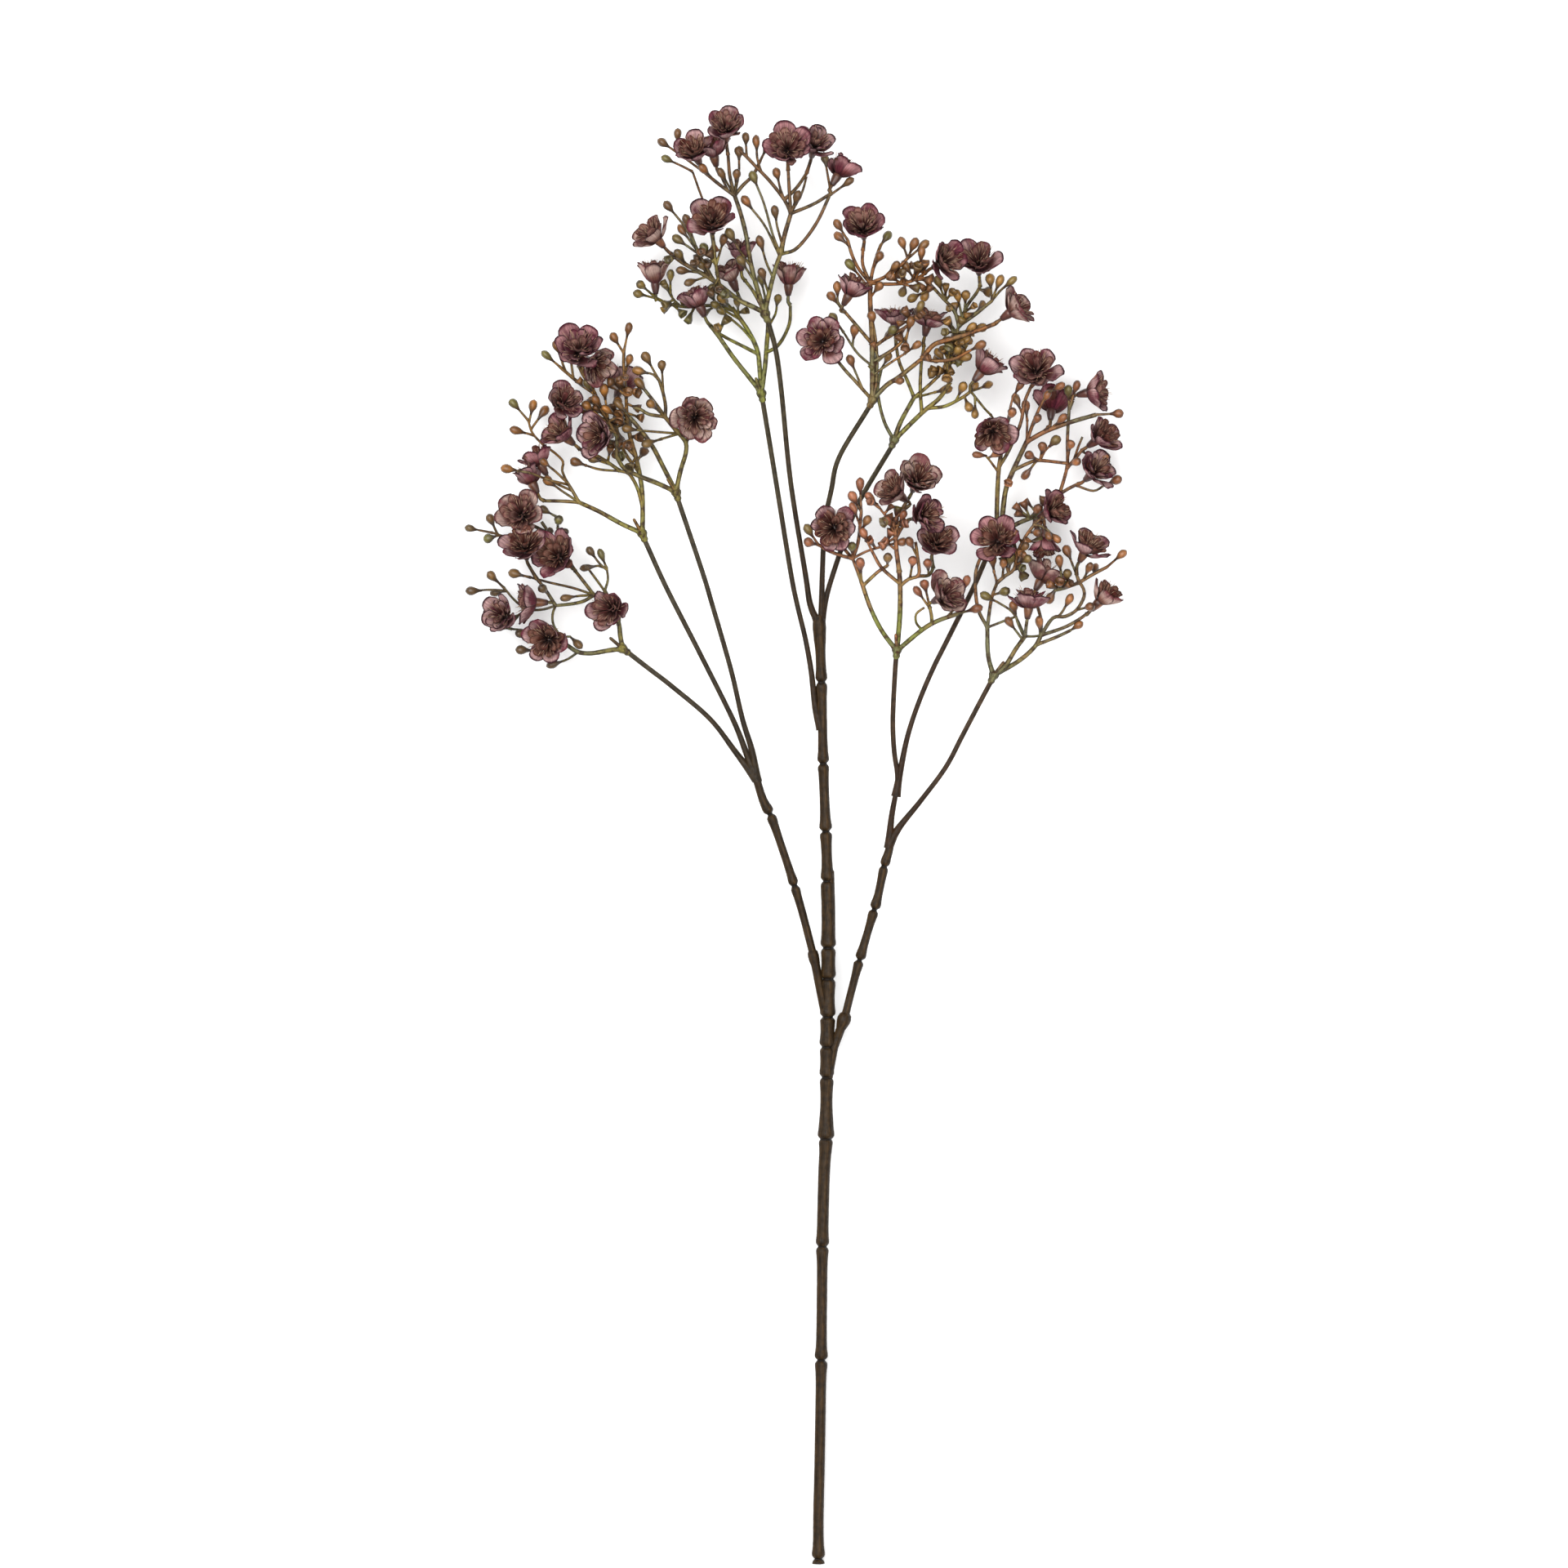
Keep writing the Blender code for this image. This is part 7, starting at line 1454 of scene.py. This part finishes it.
def spray_parts(spray, start, lean, peg):
    """The chains of one spray, then its buds and its florets, each as (middle, way)."""
    draw = random.Random(ord(spray[-1]))
    start = Vector(start)
    along = Vector(lean).normalized()
    top = start + along * COLLAR_LENGTH
    routes = {"": [start + along * COLLAR_SINK, top - along * COLLAR_SINK]}
    chains = []

    def grow(points, thickness):
        """Adds the twig along this route."""
        chains.append(twig_chain(points, thickness, start, draw))

    for name, parent, thickness, foot, *route in TWIGS[spray]:
        routes[name] = smooth_route([foot_on(routes[parent], *foot), *route], TWIG_STEP)
        grow(routes[name], thickness)
    twigs = list(routes)[1:]
    blooms = []
    for _, home, parent, foot, middle, way, _, depth, _ in BLOOMS:
        if home != spray:
            continue
        blooms.append(Vector(middle))
        way = facing(*way)
        end = blooms[-1] - way * (CUP_LOW * depth + CALYX_LENGTH)
        points = [foot_on(routes[parent], *foot), end - way * STALK_RUN, end + way * STALK_SINK]
        grow(smooth_route(points, TWIG_STEP), TWIG)
    buds = []
    for parent, foot, *bends, middle in BUDS[spray]:
        middle = Vector(middle)
        points = [foot_on(routes[parent], *foot)] + [Vector(bend) for bend in bends]
        way = (middle - points[-1]).normalized()
        points.append(middle - way * BUD_HALF * BUD_SEAT)
        grow(smooth_route(points, TWIG_STEP), STALK)
        buds.append((middle, way))
    taken = [middle for middle, _ in buds] + blooms
    feet = [points[0] for points, _, _ in chains]
    for name in twigs:
        tip = routes[name][-1]
        way = (tip - routes[name][-2]).normalized()
        clear = min((tip - place).length for place in taken) > BARE
        if clear and min((tip - place).length for place in feet) > BARE_FORK:
            buds.append((tip + way * BUD_HALF * END_BUD_SEAT, way))
    florets = []
    twig_points = [point for route in routes.values() for point in route]
    for x, y, half_x, half_y, count in FLORETS.get(spray, ()):
        near = [p for p in twig_points if abs(p.x - x) < half_x and abs(p.y - y) < half_y]
        for _ in range(count):
            foot = draw.choice(near)
            way = Vector([draw.gauss(*spread) for spread in FLORET_WAY]).normalized()
            middle = foot + way * draw.uniform(*FLORET_OUT)
            middle.z = max(middle.z, FLORET_LOWEST)
            grow([foot, foot.lerp(middle, 0.5), middle - way * FLORET_STALK_END], STALK)
            florets.append((middle, way))
    collar = turned_chain(start, along, COLLAR_PROFILE)
    stub = turned_chain(start + along * PEG_FOOT_AT, Vector(peg).normalized(), PEG_PROFILE, 1.0)
    return chains + [collar, stub], buds, florets


def bud_points(name, buds):
    """A point for every bud, with the way that it looks."""
    mesh = bpy.data.meshes.new(name)
    mesh.from_pydata([tuple(middle * MM) for middle, _ in buds], [], [])
    ways = [value for _, way in buds for value in way]
    mesh.attributes.new("axis", "FLOAT_VECTOR", "POINT").data.foreach_set("vector", ways)
    return shown(name, mesh)


def through(profile, steps=24):
    """A smooth curve through (reach, height) points, as a function of a share from 0 to 1."""
    fine = smooth_route([(reach, height, 0) for reach, height in profile], 1 / steps)
    lengths = [0.0]
    for start, stop in zip(fine, fine[1:]):
        lengths.append(lengths[-1] + (stop - start).length)

    def place(share):
        at = share * lengths[-1]
        for i in range(len(fine) - 1):
            if at <= lengths[i + 1]:
                return fine[i].lerp(fine[i + 1], (at - lengths[i]) / (lengths[i + 1] - lengths[i]))
        return fine[-1]
    return place


def petal_shape(name, profile, count, widths, rows, columns, round_off, tuck, hollow):
    """One petal of a ring of this many, on a reach and a depth of 1, rounded, hollowed and tucked under."""
    curve = through(profile)

    def place(reach, side):
        point = curve(reach * (1 - round_off * abs(side) ** PETAL_ROUNDING))
        angle = side * (TURN / count) * between(widths, reach)
        radius = point.x + tuck * side * reach
        return radius * math.cos(angle), radius * math.sin(angle), point.y + hollow * side * side * reach
    return sheet(name, rows, columns, place)


def lathe_shape(name, profile, columns, lobes=0.0):
    """A closed round body from (radius, height) points, with five lobes this deep at its top."""
    def place(reach, side):
        radius, height = profile[round(reach * (len(profile) - 1))]
        angle = side * math.pi
        radius *= 1 + lobes * reach * math.cos(5 * angle)
        return radius * math.cos(angle), radius * math.sin(angle), height
    return sheet(name, len(profile) - 1, columns, place, closed=True)


def thread_shape(name, path, sizes):
    """A thin bent thread along a path of (reach, height) points, as thick as the sizes say."""
    def place(reach, side):
        at = round(reach * (len(path) - 1))
        angle = side * math.pi
        return path[at][0] + sizes[at] * math.cos(angle), sizes[at] * math.sin(angle), path[at][1]
    return sheet(name, len(path) - 1, THREAD_SIDES, place, closed=True)


def make_shapes():
    """The shapes that a bloom repeats, on a reach and a depth of 1. Outer petals go by how many there are."""
    shapes = {"calyx": lathe_shape("calyx", CALYX_PROFILE, CALYX_SIDES)}
    for count in (5, 6):
        shapes[count] = petal_shape(
            f"outer_petal_{count}", OUTER_PROFILE, count, OUTER_WIDTHS,
            rows=6, columns=8, round_off=0.24, tuck=0.035, hollow=0.09,
        )
    for name, (count, profile, hollow) in FRILLS.items():
        shapes[name] = petal_shape(
            name, profile, count, FRILL_WIDTHS, rows=5, columns=6, round_off=0.3, tuck=0.05, hollow=hollow
        )
    for name, (_, _, path) in THREADS.items():
        shapes[name] = thread_shape(name, path, THREAD_SIZES)
    return shapes


def bloom_meshes(place, radius, depth, lobes, seed, shapes, whorls, cloths):
    """Everything of one bloom, as settled meshes in their place, and none of it below the surface."""
    draw = random.Random(seed)
    cloth = cloths["petal_" + draw.choice(("mauve", "mauve", "plum", "dusk"))]
    heart = cloths["heart_" + draw.choice(("brown", "dusk"))]
    turn = draw.uniform(0, TURN)
    frill = cloth if draw.random() < PALE_FRILLS else heart
    objects = []

    def ring(name, skin, count, start, loose, lean, ruffle, number, reach=radius, deep=depth):
        """Adds a ring of this many copies of a shape."""
        objects.append(with_tree(
            shown("bloom_part", shapes[name].copy()), whorls, Count=count, Reach=reach * MM, Depth=deep * MM,
            Turn=start, Loose=loose, Lean=lean, Ruffle=ruffle, Seed=number, Material=skin,
        ))

    first = seed * 7
    middle, inner = "middle_frill", "inner_frill"
    ring(lobes, cloth, lobes, turn, *PETAL_PLAY["outer"], first)
    ring(middle, frill, FRILLS[middle][0], turn + TURN / lobes / 2, *PETAL_PLAY[middle], first + 1)
    ring(inner, heart, FRILLS[inner][0], turn, *PETAL_PLAY[inner], first + 2)
    for petals in objects:
        wall = petals.modifiers.new("cloth", "SOLIDIFY")
        wall.thickness = PETAL_THICKNESS * MM
        wall.offset = 0.0
    for number, (name, (count, lean, _)) in enumerate(THREADS.items()):
        ring(name, cloths["heart_threads"], count, turn, THREAD_LOOSE, lean, 0.0, first + 3 + number)
    ring("calyx", cloths["calyx_skin"], 1, turn, CALYX_LOOSE, 0.0, 0.0, seed, 1.0, 1.0)
    meshes = settled(objects)
    for mesh in meshes:
        mesh.transform(place)
        for point in mesh.vertices:
            point.co.z = max(point.co.z, 0.0)
    return meshes


def make_stems(tubes, cloths):
    """The main stem and its limbs, each with its wands."""
    stubs = [plain_chain(LEFT_STUB, LEFT_STUB_RADII), plain_chain(RIGHT_STUB, RIGHT_STUB_RADII),
             plain_chain(LUMP, LUMP_RADII)]
    stems = {
        "main_stem": (MAIN_ROUTE, MAIN_KNUCKLES, MAIN_RADII, stubs),
        "left_limb": (LEFT_ROUTE, LEFT_KNUCKLES, LEFT_RADII, []),
        "right_limb": (RIGHT_ROUTE, RIGHT_KNUCKLES, RIGHT_RADII, []),
    }
    for number, (node, (route, knuckles, radii, extra)) in enumerate(stems.items()):
        if not extra:
            foot = Vector(route[0])
            route = (foot - (Vector(route[1]) - foot).normalized() * SOCKET_DEPTH, *route)
        stem = wires("stem", [stem_chain(route, knuckles, radii, random.Random(number))] + extra)
        wands = wires("wands", [wand_chain(points) for points in WANDS[node]])
        with_tree(stem, tubes, Sides=STEM_SIDES, Ridges=STEM_RIDGES, Ridge_Height=STEM_RIDGE * MM,
                  Material=cloths["stem_bark"])
        with_tree(wands, tubes, Sides=WAND_SIDES, Ridges=SEAMS, Ridge_Height=WAND_RIDGE * MM,
                  Material=cloths[node + "_wand"])
        dressed(node + "_bark", settled([stem, wands]), node)


def make_sprays(tubes, cloths):
    """Every spray's twigs, buds and florets."""
    stalks = bud_tree()
    bud = shown("bud_shape", lathe_shape("bud", BUD_PROFILE, BUD_SIDES))
    floret = shown("floret_shape", lathe_shape("floret", FLORET_PROFILE, FLORET_SIDES, FLORET_LOBES))
    for spray, collar in COLLARS.items():
        chains, buds, florets = spray_parts(spray, *collar)
        seed = ord(spray[-1])
        skin = cloths[spray + "_bud"]
        parts = [
            with_tree(wires("twigs", chains), tubes, Sides=TWIG_SIDES, Ridges=SEAMS,
                      Ridge_Height=TWIG_RIDGE * MM, Material=cloths[spray]),
            with_tree(bud_points("buds", buds), stalks, Bud=bud, Half_Length=BUD_HALF * MM,
                      Radius=BUD_RADIUS * MM, Variation=BUD_LOOSE, Ripple=BUD_RIPPLE, Seed=seed,
                      Material=skin),
        ]
        if florets:
            parts.append(with_tree(
                bud_points("florets", florets), stalks, Bud=floret, Half_Length=FLORET_HALF * MM,
                Radius=FLORET_RADIUS * MM, Variation=FLORET_LOOSE, Ripple=FLORET_RIPPLE,
                Seed=seed + FLORET_SEED, Material=skin,
            ))
        dressed(spray + "_twigs", settled(parts), spray)
    for shape in (bud, floret):
        bpy.data.objects.remove(shape, do_unlink=True)


def make_blooms(cloths):
    """Every bloom, with those that grow into each other in one piece."""
    whorls = whorl_tree()
    shapes = make_shapes()
    nodes = {
        (spray, name): f"blooms_{spray[-1]}_" + "_".join(names) for spray, names in GROUPS for name in names
    }
    pieces = {}
    for seed, (name, spray, _, _, middle, way, radius, depth, lobes) in enumerate(BLOOMS):
        way = facing(*way)
        low = Vector(middle) - way * (CUP_LOW * depth)
        place = Matrix.Translation(low * MM) @ way.to_track_quat("Z", "Y").to_matrix().to_4x4()
        made = bloom_meshes(place, radius, depth, lobes, seed, shapes, whorls, cloths)
        pieces.setdefault(nodes.get((spray, name), f"bloom_{spray[-1]}_{name}"), []).extend(made)
    for node, meshes in pieces.items():
        dressed(node + "_petals", meshes, node)


def make_studio():
    """White floor, soft lights, and a camera that looks straight down as the photograph does."""
    scene = bpy.context.scene
    world = bpy.data.worlds.new("studio")
    scene.world = world
    world.use_nodes = True
    background = world.node_tree.nodes["Background"]
    background.inputs["Color"].default_value = (1, 1, 1, 1)
    background.inputs["Strength"].default_value = WORLD_LIGHT
    floor_paint, _, shader = coating("floor_paint", Roughness=0.9, Specular_IOR_Level=0.1)
    shader.inputs["Base Color"].default_value = (FLOOR_WHITE, FLOOR_WHITE, FLOOR_WHITE, 1.0)
    bpy.ops.mesh.primitive_plane_add(size=FLOOR_SIZE, location=(0, 0, -FLOOR_DROP))
    floor = bpy.context.object
    floor.name = "floor"
    floor.data.materials.append(floor_paint)
    for name, place, size, power in LIGHTS:
        light = bpy.data.lights.new(name, "AREA")
        light.size = size
        light.energy = power
        lamp = shown(name, light)
        lamp.location = place
        lamp.rotation_euler = (-Vector(place)).to_track_quat("-Z", "Y").to_euler()
    camera = bpy.data.cameras.new("camera")
    camera.sensor_width = SENSOR
    camera.lens = SENSOR * CAMERA_HEIGHT / (PHOTO_PIXELS * PIXEL)
    camera.clip_end = FARTHEST
    scene.camera = shown("camera", camera)
    scene.camera.location = (*PHOTO_MIDDLE, HEADS_HEIGHT + CAMERA_HEIGHT)
    scene.view_settings.view_transform = "Standard"


def main():
    """Makes everything."""
    tubes = tube_tree()
    cloths = make_cloths()
    make_studio()
    make_stems(tubes, cloths)
    make_sprays(tubes, cloths)
    make_blooms(cloths)


main()
